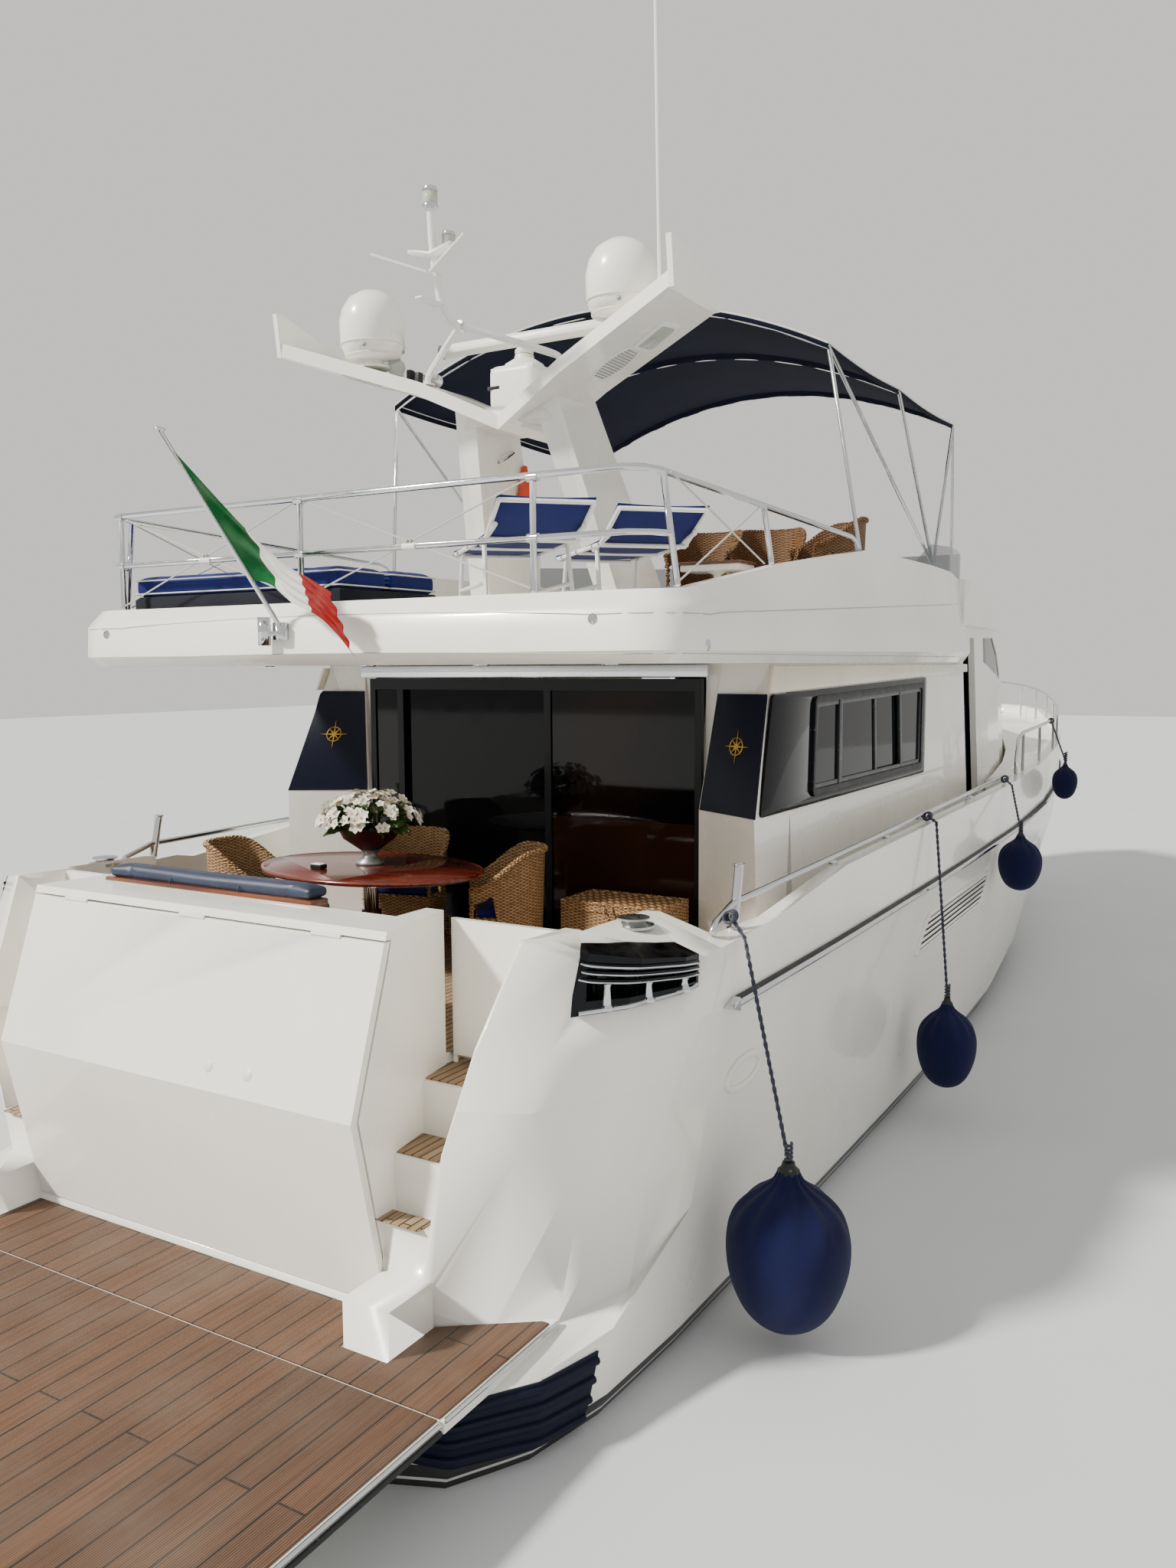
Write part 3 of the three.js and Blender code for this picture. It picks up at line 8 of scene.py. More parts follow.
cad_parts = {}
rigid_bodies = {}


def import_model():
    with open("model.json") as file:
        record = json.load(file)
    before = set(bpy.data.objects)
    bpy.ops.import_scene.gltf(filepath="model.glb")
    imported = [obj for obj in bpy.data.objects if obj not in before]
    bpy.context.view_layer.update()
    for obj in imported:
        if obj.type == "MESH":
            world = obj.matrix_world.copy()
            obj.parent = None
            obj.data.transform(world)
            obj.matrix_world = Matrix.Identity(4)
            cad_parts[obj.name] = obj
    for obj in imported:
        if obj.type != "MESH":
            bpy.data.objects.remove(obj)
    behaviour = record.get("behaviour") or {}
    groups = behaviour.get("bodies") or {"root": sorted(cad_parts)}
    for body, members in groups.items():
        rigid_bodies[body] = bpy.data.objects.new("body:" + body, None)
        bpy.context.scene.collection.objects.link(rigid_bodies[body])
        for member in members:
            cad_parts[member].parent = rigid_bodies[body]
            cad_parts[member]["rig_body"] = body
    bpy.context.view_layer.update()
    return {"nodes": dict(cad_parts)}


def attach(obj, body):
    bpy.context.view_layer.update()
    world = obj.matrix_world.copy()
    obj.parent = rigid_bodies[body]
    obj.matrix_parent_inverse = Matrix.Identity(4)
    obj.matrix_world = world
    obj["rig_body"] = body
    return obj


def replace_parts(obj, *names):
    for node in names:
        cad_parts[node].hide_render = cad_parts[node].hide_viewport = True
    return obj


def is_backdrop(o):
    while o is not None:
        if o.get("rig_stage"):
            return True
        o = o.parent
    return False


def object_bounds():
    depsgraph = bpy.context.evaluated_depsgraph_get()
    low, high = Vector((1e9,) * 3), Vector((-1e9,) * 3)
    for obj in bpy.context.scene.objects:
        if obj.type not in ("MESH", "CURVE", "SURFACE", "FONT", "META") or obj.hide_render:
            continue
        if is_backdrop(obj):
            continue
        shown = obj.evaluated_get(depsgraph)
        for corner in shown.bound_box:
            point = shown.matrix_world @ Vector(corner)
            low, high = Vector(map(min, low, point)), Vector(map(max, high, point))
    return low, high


# %% [markdown]
# A motor yacht of about twenty metres lies afloat, seen from aft and a little to starboard. The solids that
# carry its size and its moving parts are already there. These cells give them finishes and add the trim,
# the cushions and the cloth. Heights are counted from the waterline, so the floor stands in for the water.

# %% Load the solids
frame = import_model()
MIDSHIP = 9.0  # metres from the transom's top edge forward to the origin
UP = Vector((0, 0, 1))


def aboard(x, station, z):
    """A place on board, given by its distance forward of the transom."""
    return Vector((x, station - MIDSHIP, z))


# %% [markdown]
# The camera stands on the quay off the starboard quarter, at a little more than a grown person's height over
# the platform. It looks forward and inboard and a few degrees down, with a wide lens, so near parts look large.

# %% Camera
CAMERA = {"place": aboard(5.356, -4.688, 3.791), "yaw": 30.661, "pitch": -5.545, "roll": -0.331, "lens": 28.04}


def camera_axes(yaw, pitch, roll):
    yaw, pitch, roll = (math.radians(a) for a in (yaw, pitch, roll))
    ahead = Vector((-math.sin(yaw) * math.cos(pitch), math.cos(yaw) * math.cos(pitch), math.sin(pitch)))
    right = Vector((math.cos(yaw), math.sin(yaw), 0))
    up = right.cross(ahead)
    right, up = right * math.cos(roll) + up * math.sin(roll), up * math.cos(roll) - right * math.sin(roll)
    return Matrix((right, up, -ahead)).transposed()


bpy.ops.object.camera_add(location=CAMERA["place"])
camera = bpy.context.object
camera.name = "quay_camera"
camera.rotation_mode = "QUATERNION"
camera.rotation_quaternion = camera_axes(CAMERA["yaw"], CAMERA["pitch"], CAMERA["roll"]).to_quaternion()
camera.data.lens = CAMERA["lens"]
camera.data.clip_end = 300
bpy.context.scene.camera = camera
print("camera at", [round(v, 2) for v in camera.location], "with a lens of", camera.data.lens, "mm")

# %% [markdown]
# Daylight comes from port and aft, high up, so the faces that look aft are bright and the starboard side lies
# in open shade. A wide sun keeps its shadows soft, and a pale sky fills the rest.

# %% Light
SUN_FROM = Vector((-0.50, -0.62, 0.62))


def paint(code):
    """A colour as written on a paint chart, turned into the linear values that the shaders use."""
    shares = [int(code[i:i + 2], 16) / 255 for i in (0, 2, 4)]
    return tuple(c / 12.92 if c <= 0.04045 else ((c + 0.055) / 1.055) ** 2.4 for c in shares) + (1.0,)


def deselect():
    if bpy.context.mode != "OBJECT":
        bpy.ops.object.mode_set(mode="OBJECT")
    bpy.ops.object.select_all(action="DESELECT")


deselect()
bpy.ops.object.light_add(type="SUN", rotation=SUN_FROM.to_track_quat("Z", "Y").to_euler())
sun = bpy.context.object
sun.data.energy = 6.2
sun.data.angle = math.radians(6)
sun.data.color = (1.0, 0.965, 0.9)
world = bpy.data.worlds.new("pale_sky")
bpy.context.scene.world = world
world.use_nodes = True
world.node_tree.nodes["Background"].inputs["Color"].default_value = paint("ebe9e5")
world.node_tree.nodes["Background"].inputs["Strength"].default_value = 1.0
print("the sun shines at", sun.data.energy)

# %% [markdown]
# Every finish starts from the same shader and reads the place on the yacht in metres, so a pattern keeps its
# real size on every part. One small function adds a node. Three patterns come back in most finishes: a number
# that wanders in clouds, two colours that meet in clouds, and a fine relief.

# %% A finish in the making
class Finish:
    """A material with its shader and the place on the object."""

    def __init__(self, name, colour, roughness, **sockets):
        self.material = bpy.data.materials.new(name)
        self.material.use_nodes = True
        self.tree = self.material.node_tree
        self.shader = self.tree.nodes["Principled BSDF"]
        self.set(Base_Color=colour, Roughness=roughness, **sockets)
        self.places = self.node("TexCoord", output="Object")

    def fill(self, socket, value):
        """Links a socket to a pattern, or gives it a number or a chart colour."""
        if isinstance(value, bpy.types.NodeSocket):
            self.tree.links.new(value, socket)
        else:
            socket.default_value = paint(value) if isinstance(value, str) else value

    def set(self, **sockets):
        """Fills sockets of the shader, with underscores in their names."""
        for name, value in sockets.items():
            self.fill(self.shader.inputs[name.replace("_", " ")], value)

    def node(self, kind, inputs=(), output=0, **settings):
        """Adds one node, gives its settings, fills its inputs and returns one output."""
        made = self.tree.nodes.new("ShaderNode" + kind)
        for name, value in settings.items():
            setattr(made, name, value)
        for slot, value in inputs.items() if isinstance(inputs, dict) else enumerate(inputs):
            self.fill(made.inputs[slot], value)
        return made.outputs[output]

    def cloudy(self, scale, detail, low, high, start=0.0, end=1.0, places=None):
        """A number that goes from low to high as a cloud thickens from start to end."""
        where = self.places if places is None else places
        noise = self.node("TexNoise", {"Vector": where, "Scale": scale, "Detail": detail})
        return self.node("MapRange", (noise, start, end, low, high))

    def mottled(self, first, second, *cloud):
        """Two colours that meet in clouds; the numbers are those of cloudy."""
        share = self.cloudy(*cloud)
        return self.node("Mix", {0: share, 6: first, 7: second}, 2, data_type="RGBA")

    def uneven(self, scale, detail, strength, distance, places=None):
        """A fine relief of clouds."""
        where = self.places if places is None else places
        height = self.node("TexNoise", {"Vector": where, "Scale": scale, "Detail": detail})
        self.set(Normal=self.node("Bump", {"Height": height, "Strength": strength, "Distance": distance}))


def clouded(name, colour, second, roughness, mottle, gloss, grain, **sockets):
    """A finish whose colour, gloss and relief each change in clouds of their own size."""
    look = Finish(name, colour, roughness, **sockets)
    look.set(Base_Color=look.mottled(colour, second, *mottle), Roughness=look.cloudy(*gloss))
    look.uneven(*grain)
    return look.material


# %% [markdown]
# The hull and the mouldings are glass fibre with a sprayed and polished gelcoat. Close up it is not one white:
# it yellows in broad clouds, carries faint runs of dirt, and its polish varies. A clear coat gives the sharp
# highlight over the softer base.

# %% Gelcoat
def gelcoat(name, colour="f7f5ee", shade="efece2"):
    look = Finish(name, colour, 0.3, Coat_Weight=0.55, Coat_Roughness=0.06)
    clean = look.mottled(colour, shade, 0.9, 3, 0, 1, 0.35, 0.7)
    upright = look.node("Mapping", {"Vector": look.places, "Scale": (9, 9, 0.5)})
    runs = look.cloudy(1.0, 6, 0, 0.06, 0.55, 0.9, upright)
    look.base = look.node("Mix", {0: runs, 6: clean, 7: "b9b6a8"}, 2, data_type="RGBA")
    look.set(Base_Color=look.base, Roughness=look.cloudy(3.0, 3, 0.2, 0.34))
    look.uneven(5.0, 2, 0.03, 0.006)
    return look


white_gelcoat = gelcoat("gelcoat_sprayed_and_polished").material
cream_gelcoat = gelcoat("gelcoat_cream_house_top", "efe8d6", "e2d8c0").material
print("two gelcoats are ready")

# %% [markdown]
# Below the rub rail the same gelcoat meets the boot: black paint that dries dull, with one thin pale line in
# it. The paint is cut in by height over the water, so the finish picks its colour from the height.

# %% Hull paint
BOOT_TOP = 0.115
BOOT_LINE = (0.035, 0.05)


def hull_paint():
    look = gelcoat("gelcoat_hull_with_black_boot")
    _, y, z = look.node("SeparateXYZ", (look.places,)).node.outputs
    sweep = look.node("MapRange", (y, -4.0, 9.0, 0.0, 0.2))
    rise = look.node("Math", (z, sweep), operation="SUBTRACT")
    black = look.node("Math", (rise, BOOT_TOP), operation="LESS_THAN")
    over = look.node("Math", (rise, BOOT_LINE[0]), operation="GREATER_THAN")
    under = look.node("Math", (rise, BOOT_LINE[1]), operation="LESS_THAN")
    line = look.node("Math", (over, under), operation="MULTIPLY")
    level = look.node("Mapping", {"Vector": look.places, "Scale": (4, 4, 20)})
    scum = look.cloudy(1.0, 5, 0, 0.6, 0.45, 0.8, level)
    boot = look.node("Mix", {0: scum, 6: "0d0f12", 7: "2b2d2a"}, 2, data_type="RGBA")
    lined = look.node("Mix", {0: line, 6: boot, 7: "c9cbc6"}, 2, data_type="RGBA")
    painted = look.node("Mix", {0: black, 6: look.base, 7: lined}, 2, data_type="RGBA")
    duller = look.node("Math", (black, 0.25), operation="MULTIPLY")
    gloss = look.node("Math", (look.cloudy(3.0, 3, 0.2, 0.42), duller), operation="ADD")
    look.set(Base_Color=painted, Roughness=gloss)
    return look.material


hull_finish = hull_paint()
print("the boot is black up to", BOOT_TOP, "m")

# %% [markdown]
# Polished stainless steel is nearly a mirror. What tells it from chrome is a slight haze from wiping and
# salt, so the roughness changes from place to place and a fine scratch runs along it. Painted metal,
# moulded plastic and rubber are dull and even, with small pale scuffs.

# %% Metals, plastics and rubber
def metal(name, colour, low, high):
    look = Finish(name, colour, low, Metallic=1.0)
    look.set(Roughness=look.cloudy(11.0, 5, low, high, 0.3, 0.75))
    look.uneven(300.0, 2, 0.02, 0.001, look.node("Mapping", {"Vector": look.places, "Scale": (1, 0.05, 1)}))
    return look.material


def scuffed(name, colour, roughness, **sockets):
    scuffs, gloss = (35.0, 6, 0, 0.5, 0.62, 0.8), (9.0, 5, roughness - 0.08, roughness + 0.12)
    return clouded(name, colour, "a7a8a6", roughness, scuffs, gloss, (120.0, 2, 0.04, 0.001), **sockets)


stainless = metal("stainless_steel_polished", "cfd2d4", 0.06, 0.24)
brushed = metal("stainless_steel_brushed", "b9bbba", 0.2, 0.38)
dark_steel = metal("stainless_steel_dark_and_polished", "26282b", 0.12, 0.3)
bronze = metal("bronze_cast_and_machined", "9b7545", 0.28, 0.5)
gold_leaf = metal("gold_leaf_laid_by_hand", "c9a04a", 0.25, 0.4)
white_aluminium = scuffed("aluminium_powder_coated_white", "e8e9e6", 0.38)
dark_aluminium = scuffed("aluminium_anodised_black", "0d0e11", 0.42, Specular_IOR_Level=0.25)
grey_aluminium = scuffed("aluminium_anodised_grey", "8d9093", 0.3)
smoked_aluminium = scuffed("aluminium_anodised_smoke", "24272b", 0.34)
white_plastic = scuffed("plastic_moulded_white", "e6e5dd", 0.35)
black_rubber = scuffed("rubber_extruded_black", "101214", 0.55)
yellow_foam = scuffed("foam_coated_yellow", "d8b326", 0.55)
orange_plastic = scuffed("plastic_moulded_orange", "d8421c", 0.45)
# Painted shade: a grey line that stands for the shading where the coaming's moulding changes slope.
painted_shade_grey = scuffed("painted_shade_line_grey", "b3b0a4", 0.5)
navy_rubber = clouded(
    "rubber_extruded_navy", "0a0e26", "12162c", 0.55,
    (4.0, 5, 0, 0.6, 0.4, 0.75), (16.0, 4, 0.45, 0.65), (90.0, 3, 0.08, 0.001), Specular_IOR_Level=0.2,
)
print("metals and plastics are ready")

# %% [markdown]
# Window glass on a yacht is tinted and looks black from outside, with a hard reflection. A little of it lets
# the cabin through. The smoked screen on the flybridge is thin acrylic and is much clearer. The saloon's
# doors are panes in a black frame: the frame is the part that stands proud of the panes, to aft.

# %% Glass
PANES_FROM = 3.343 - MIDSHIP


def tinted_glass(name, colour, clear, roughness=0.03):
    look = Finish(name, colour, roughness, Coat_Weight=0.06, Coat_Roughness=0.02, Alpha=1.0 - clear)
    haze = look.cloudy(5.0, 4, roughness, roughness + 0.07, 0.4, 0.8)
    look.set(IOR=1.33, Specular_IOR_Level=0.2, Roughness=haze)
    look.uneven(0.7, 1, 0.03, 0.05)
    return look.material


def bulkhead_glass():
    look = Finish("glass_doors_in_black_frames", "0a0c0f", 0.04, IOR=1.28)
    x, y, z = look.node("SeparateXYZ", (look.places,)).node.outputs
    framed = look.node("Math", (y, PANES_FROM), operation="LESS_THAN")
    low = look.node("Math", (z, 2.62), operation="LESS_THAN")
    to_starboard = look.node("Math", (x, 0.28), operation="GREATER_THAN")
    corner = look.node("Math", (low, to_starboard), operation="MULTIPLY")
    joinery = look.node("Math", (corner, 0.5), operation="MULTIPLY")
    warm = look.node("Math", (look.cloudy(1.3, 2, 0, 0.35, 0.4, 0.75), joinery), operation="MAXIMUM")
    inside = look.node("Mix", {0: warm, 6: "08090b", 7: "3a2010"}, 2, data_type="RGBA")
    colour = look.node("Mix", {0: framed, 6: inside, 7: "1b1d20"}, 2, data_type="RGBA")
    duller = look.node("Math", (framed, 0.3), operation="MULTIPLY")
    look.set(Base_Color=colour, Roughness=look.node("Math", (duller, 0.04), operation="ADD"))
    return look.material


window_glass = tinted_glass("glass_tinted_and_toughened", "0b0e12", 0.07)
smoked_acrylic = tinted_glass("acrylic_smoked_sheet", "39454c", 0.55, 0.05)
lamp_glass = tinted_glass("glass_lamp_lens", "aeb8a8", 0.45, 0.08)
mirror_band = tinted_glass("glass_bonded_dark_band", "0a0c11", 0.0)
door_glass = bulkhead_glass()
print("five kinds of glass are ready")

# %% [markdown]
# Teak on deck is laid in narrow strips with black caulking between them, and it goes grey-brown in the sun.
# The platform has broader boards with fine grooves sawn along them. The brick pattern lays the boards end to
# end, a stretched cloud draws the grain, and a wave cuts the grooves. Mahogany is varnished, and its grain
# runs athwartships. The table's column is steel, so below its top the same finish turns to metal.

# %% Teak and mahogany
BOARD_LENGTH = 2.6


def planking(name, first, second, caulk, width, gap, groove=0.0):
    look = Finish(name, first, 0.7)
    fore_and_aft = look.node("Mapping", {"Vector": look.places, "Rotation": (0, 0, math.pi / 2)})
    boards = look.node("TexBrick", {
        "Vector": fore_and_aft, "Color1": first, "Color2": second, "Mortar": caulk, "Scale": 1.0,
        "Mortar Size": gap, "Brick Width": BOARD_LENGTH, "Row Height": width, "Bias": 0.0,
    })
    along = look.node("Mapping", {"Vector": look.places, "Scale": (60, 2.2, 10)})
    grain = look.node("TexNoise", {"Vector": along, "Scale": 1.0, "Detail": 8})
    dark = look.node("MapRange", (grain, 0.4, 0.75, 0, 0.7))
    streaked = look.node("Mix", {0: dark, 6: boards, 7: "4a3423"}, 2, data_type="RGBA")
    look.set(Base_Color=look.mottled(streaked, "9a8f80", 1.7, 6, 0, 0.18, 0.45, 0.8))
    look.set(Roughness=look.node("MapRange", (grain, 0, 1, 0.5, 0.85)))
    fibres = look.node("Math", (grain, 0.3), operation="MULTIPLY")
    height = look.node("Math", (fibres, boards.node.outputs["Fac"]), operation="SUBTRACT")
    if groove:
        x = look.node("SeparateXYZ", (look.places,), "X")
        turns = look.node("Math", (x, 2 * math.pi / groove), operation="MULTIPLY")
        wave = look.node("Math", (turns,), operation="SINE")
        half = look.node("Math", (wave, 0.5), operation="MULTIPLY")
        height = look.node("Math", (height, half), operation="ADD")
    look.set(Normal=look.node("Bump", {"Height": height, "Strength": 0.6, "Distance": 0.003}))
    return look.material


def varnished(name, colour, dark, seams=0.0, steel_below=0.0):
    look = Finish(name, colour, 0.2, Coat_Weight=0.5, Coat_Roughness=0.04)
    _, y, z = look.node("SeparateXYZ", (look.places,)).node.outputs
    across = look.node("Mapping", {"Vector": look.places, "Scale": (2.0, 30, 12)})
    grain = look.node("TexNoise", {"Vector": across, "Scale": 1.0, "Detail": 9})
    streaks = look.node("MapRange", (grain, 0.3, 0.72, 0, 1))
    wood = look.node("Mix", {0: streaks, 6: colour, 7: dark}, 2, data_type="RGBA")
    if seams:
        strips = look.node("Math", (y, 1 / seams), operation="MULTIPLY")
        within = look.node("Math", (strips,), operation="FRACT")
        seam = look.node("Math", (within, 0.014), operation="LESS_THAN")
        wood = look.node("Mix", {0: seam, 6: wood, 7: "1b0a06"}, 2, data_type="RGBA")
    if steel_below:
        steel = look.node("Math", (z, steel_below), operation="LESS_THAN")
        wood = look.node("Mix", {0: steel, 6: wood, 7: "bfc2c4"}, 2, data_type="RGBA")
        look.set(Metallic=steel)
    look.set(Base_Color=wood, Roughness=look.node("MapRange", (grain, 0, 1, 0.14, 0.3)))
    look.set(Normal=look.node("Bump", {"Height": grain, "Strength": 0.03, "Distance": 0.001}))
    return look.material


deck_teak = planking("teak_strips_caulked_black", "a98d6b", "977a58", "15130f", 0.055, 0.005)
platform_teak = planking("teak_boards_grooved_and_oiled", "6b4a33", "59402e", "171009", 0.15, 0.006, 0.012)
mahogany = varnished("mahogany_varnished", "764020", "43200e")
table_wood = varnished("mahogany_table_top_on_steel_column", "6e2415", "35110a", 0.31, 2.334)
print("woods are ready")

# %% [markdown]
# The cushions and the canopy are acrylic canvas with a plain weave, faded unevenly by the sun. Two crossed
# waves make the threads, drawn at about two millimetres so that they show. The bench and the helm seat are
# soft leather cloth, with a pebbled grain and a dull shine. Rope shows its lay as slanting stripes.

# %% Cloth, leather, rope
def creased(look, height, strength, distance, scale, detail, amount):
    """A relief of a fine pattern with soft creases under it."""
    creases = look.node("TexNoise", {"Vector": look.places, "Scale": scale, "Detail": detail})
    deep = look.node("Math", (creases, amount), operation="MULTIPLY")
    total = look.node("Math", (height, deep), operation="ADD")
    look.set(Normal=look.node("Bump", {"Height": total, "Strength": strength, "Distance": distance}))


def slanting_wave(look, values, factor, period):
    """A wave along the sum of values, the last of them taken by a factor."""
    *firsts, last = values
    total = look.node("Math", (last, factor), operation="MULTIPLY")
    for value in reversed(firsts):
        total = look.node("Math", (value, total), operation="ADD")
    turns = look.node("Math", (total, 2 * math.pi / period), operation="MULTIPLY")
    return look.node("Math", (turns,), operation="SINE")


def canvas(name, colour, faded, thread=0.0022, sheen=0.06):
    look = Finish(name, colour, 0.9, Sheen_Weight=sheen, Sheen_Roughness=0.5, Specular_IOR_Level=0.15)
    x, y, z = look.node("SeparateXYZ", (look.places,)).node.outputs
    warp, weft = (slanting_wave(look, (value, z), 0.6, thread) for value in (x, y))
    weave = look.node("Math", (warp, weft), operation="MULTIPLY")
    worn = look.mottled(colour, faded, 2.2, 5, 0, 1, 0.35, 0.75)
    look.set(Base_Color=look.mottled(worn, faded, 45.0, 4, 0, 0.35, 0.5, 0.8))
    creased(look, weave, 0.25, 0.0015, 18.0, 4, 2.0)
    return look.material


def leather(name, colour, worn):
    look = Finish(name, colour, 0.42)
    cells = look.node("TexVoronoi", {"Vector": look.places, "Scale": 420.0}, "Distance")
    rubbed = look.mottled(colour, worn, 6.0, 5, 0, 1, 0.4, 0.75)
    look.set(Base_Color=rubbed, Roughness=look.cloudy(14.0, 4, 0.34, 0.58))
    creased(look, cells, 0.2, 0.0015, 9.0, 4, 1.5)
    return look.material


def laid_rope(name, colour, light):
    look = Finish(name, colour, 0.8, Sheen_Weight=0.3)
    lay = slanting_wave(look, look.node("SeparateXYZ", (look.places,)).node.outputs, 1.4, 0.014)
    share = look.node("MapRange", (lay, -1, 1, 0, 1))
    look.set(Base_Color=look.node("Mix", {0: share, 6: colour, 7: light}, 2, data_type="RGBA"))
    look.set(Normal=look.node("Bump", {"Height": lay, "Strength": 0.7, "Distance": 0.004}))
    return look.material


navy_canvas = canvas("acrylic_canvas_woven_navy", "141c58", "1e2866")
canopy_canvas = canvas("acrylic_canvas_canopy_navy", "080c1e", "0e142b", sheen=0.0)
fender_cloth = canvas("knitted_fender_cover_navy", "0e1233", "151a44", 0.004)
pale_webbing = canvas("polyester_webbing_white", "dcdcd4", "c4c2b6", 0.004)
bag_canvas = canvas("acrylic_canvas_base_cover_black", "15171f", "23252e")
navy_leather = leather("leather_cloth_navy_sewn", "16223a", "22304c")
navy_rope = laid_rope("rope_laid_navy", "0f1228", "232a4c")
white_cord = laid_rope("cord_braided_white", "d9d9d2", "bdbcb2")
print("cloth, leather and rope are ready")

# %% [markdown]
# Wicker is cane woven over and under upright stakes. The height of the weave rises and falls along each
# strand, and every second row is half a step on. The same rule gives the colour: painted shade darkens the
# cane where it dips under a stake and between the rows.

# %% Wicker
STAKE = 0.035  # metres between the upright stakes
STRAND = 0.012  # metres between the rows


def basket(name, light, dark):
    look = Finish(name, light, 0.6)
    x, y, z = look.node("SeparateXYZ", (look.places,)).node.outputs
    along = look.node("Math", (x, y), operation="ADD")
    skew = look.node("Math", (x, y), operation="SUBTRACT")
    slope = look.node("Math", (skew, 0.08), operation="MULTIPLY")
    raised = look.node("Math", (z, slope), operation="ADD")
    up = look.node("Math", (raised, STRAND), operation="DIVIDE")
    row = look.node("Math", (up,), operation="FLOOR")
    stakes = look.node("Math", (along, math.pi / STAKE), operation="MULTIPLY")
    shifted = look.node("Math", (row, math.pi), operation="MULTIPLY")
    swing = look.node("Math", (stakes, shifted), operation="ADD")
    over = look.node("Math", (swing,), operation="SINE")
    half_over = look.node("Math", (over, 0.5), operation="MULTIPLY")
    lifted = look.node("Math", (half_over, 0.6), operation="ADD")
    within = look.node("Math", (up,), operation="FRACT")
    bow = look.node("Math", (within, math.pi), operation="MULTIPLY")
    bulge = look.node("Math", (bow,), operation="SINE")
    height = look.node("Math", (lifted, bulge), operation="MULTIPLY")
    cane = look.mottled(light, "9c7748", 30.0, 5, 0, 0.8, 0.35, 0.7)
    share = look.node("MapRange", (height, 0.1, 0.7, 0, 1))
    # Painted shade: the weave takes the dark colour where it is low, in the dips under the stakes and between
    # the rows.
    look.set(Base_Color=look.node("Mix", {0: share, 6: dark, 7: cane}, 2, data_type="RGBA"))
    look.set(Normal=look.node("Bump", {"Height": height, "Strength": 0.9, "Distance": 0.008}))
    return look.material


# The second colour of each is painted shade for the weave's dips.
wicker = basket("cane_woven_and_lacquered", "dcb480", "6b4a2a")
brown_wicker = basket("synthetic_rattan_brown", "8a5a2c", "3a2412")
print("rows of cane stand", STRAND * 1000, "mm apart")

# %% [markdown]
# The flowers are thin and waxy and let a little light in. Their bowl is turned from pewter with a dull wine
# red patina on it, worn bare on the foot.

# %% Flowers and their bowl
def plant_finish(name, colour, second, roughness):
    look = Finish(name, colour, roughness, Subsurface_Weight=0.1)
    look.set(Base_Color=look.mottled(colour, second, 40.0, 4, 0, 1))
    look.uneven(160.0, 3, 0.2, 0.002)
    return look.material


def worn_bowl():
    look = Finish("pewter_bowl_patinated", "4c2a28", 0.35, Metallic=0.6)
    z = look.node("SeparateXYZ", (look.places,), "Z")
    foot = look.node("Math", (z, 2.475), operation="LESS_THAN")
    body = look.mottled("4a2624", "2a1716", 12.0, 6, 0, 1, 0.4, 0.75)
    look.set(Base_Color=look.node("Mix", {0: foot, 6: body, 7: "8f8e8c"}, 2, data_type="RGBA"))
    look.set(Roughness=look.cloudy(25.0, 5, 0.25, 0.55))
    look.uneven(60.0, 4, 0.15, 0.002)
    return look.material


leaf_green = plant_finish("leaf_waxy_green", "38591c", "1d3410", 0.4)
petal_white = plant_finish("petal_thin_white", "f1eee0", "dcd6bd", 0.6)
flower_heart = plant_finish("flower_heart_yellow", "d8a21c", "a8760f", 0.7)
bowl_finish = worn_bowl()
print("petals, leaves and the bowl are ready")

# %% [markdown]
# Each solid that keeps its own shape now takes its finish. The decks share one solid with the bulwarks, so
# the teak is laid on them as separate thin pieces later.

# %% Finishes on the solids
BOTH = ("starboard", "port")
FINISH_OF = {
    "hull": hull_finish, "deck_moulding": white_gelcoat, "deckhouse": white_gelcoat, "flybridge": white_gelcoat,
    "radar_arch": white_gelcoat, "garage_door": white_gelcoat, "ledge_platform": white_gelcoat,
    "swim_platform": white_gelcoat, "radar_scanner": white_gelcoat, "light_mast": white_gelcoat,
    "windscreen": window_glass, "saloon_door": window_glass, "saloon_bulkhead": door_glass,
    "fly_windscreen": smoked_acrylic, "foredeck_hatch": smoked_acrylic, "lift_arms": stainless,
    "bow_rail": stainless, "fly_rail": stainless, "bimini_frame": stainless, "helm_wheel": stainless,
    "ensign_staff": stainless, "anchor": stainless, "cockpit_table": table_wood, "flower_bowl": bowl_finish,
    "bench_base": mahogany, "wicker_chest": wicker, "chest_lid": wicker, "helm_seat": navy_leather,
}
FINISH_OF_PAIR = {
    "dome": white_gelcoat, "stern_gate": white_gelcoat, "saloon_window": window_glass,
    "pilothouse_window": window_glass, "side_door": window_glass, "cap_rail": stainless, "fairlead": dark_steel,
    "propeller": bronze, "rudder": bronze,
}
FINISH_OF.update({pair + "_" + side: look for pair, look in FINISH_OF_PAIR.items() for side in BOTH})
for name, look in FINISH_OF.items():
    solid = frame["nodes"][name]
    solid.data.materials.clear()
    solid.data.materials.append(look)
print(len(FINISH_OF), "solids have their finish")

# %% [markdown]
# The helpers below start from Blender's own primitives. An outline becomes a plate by an extrude, a profile is
# spun round an axis, and a grid is laid over rows of points to make a curved skin. What they make stays at the
# origin, with its place in the mesh, and is fixed to the body that carries it.

# %% Helpers for shapes
def take(piece):
    """Selects one piece alone and makes it the active one."""
    deselect()
    piece.select_set(True)
    bpy.context.view_layer.objects.active = piece


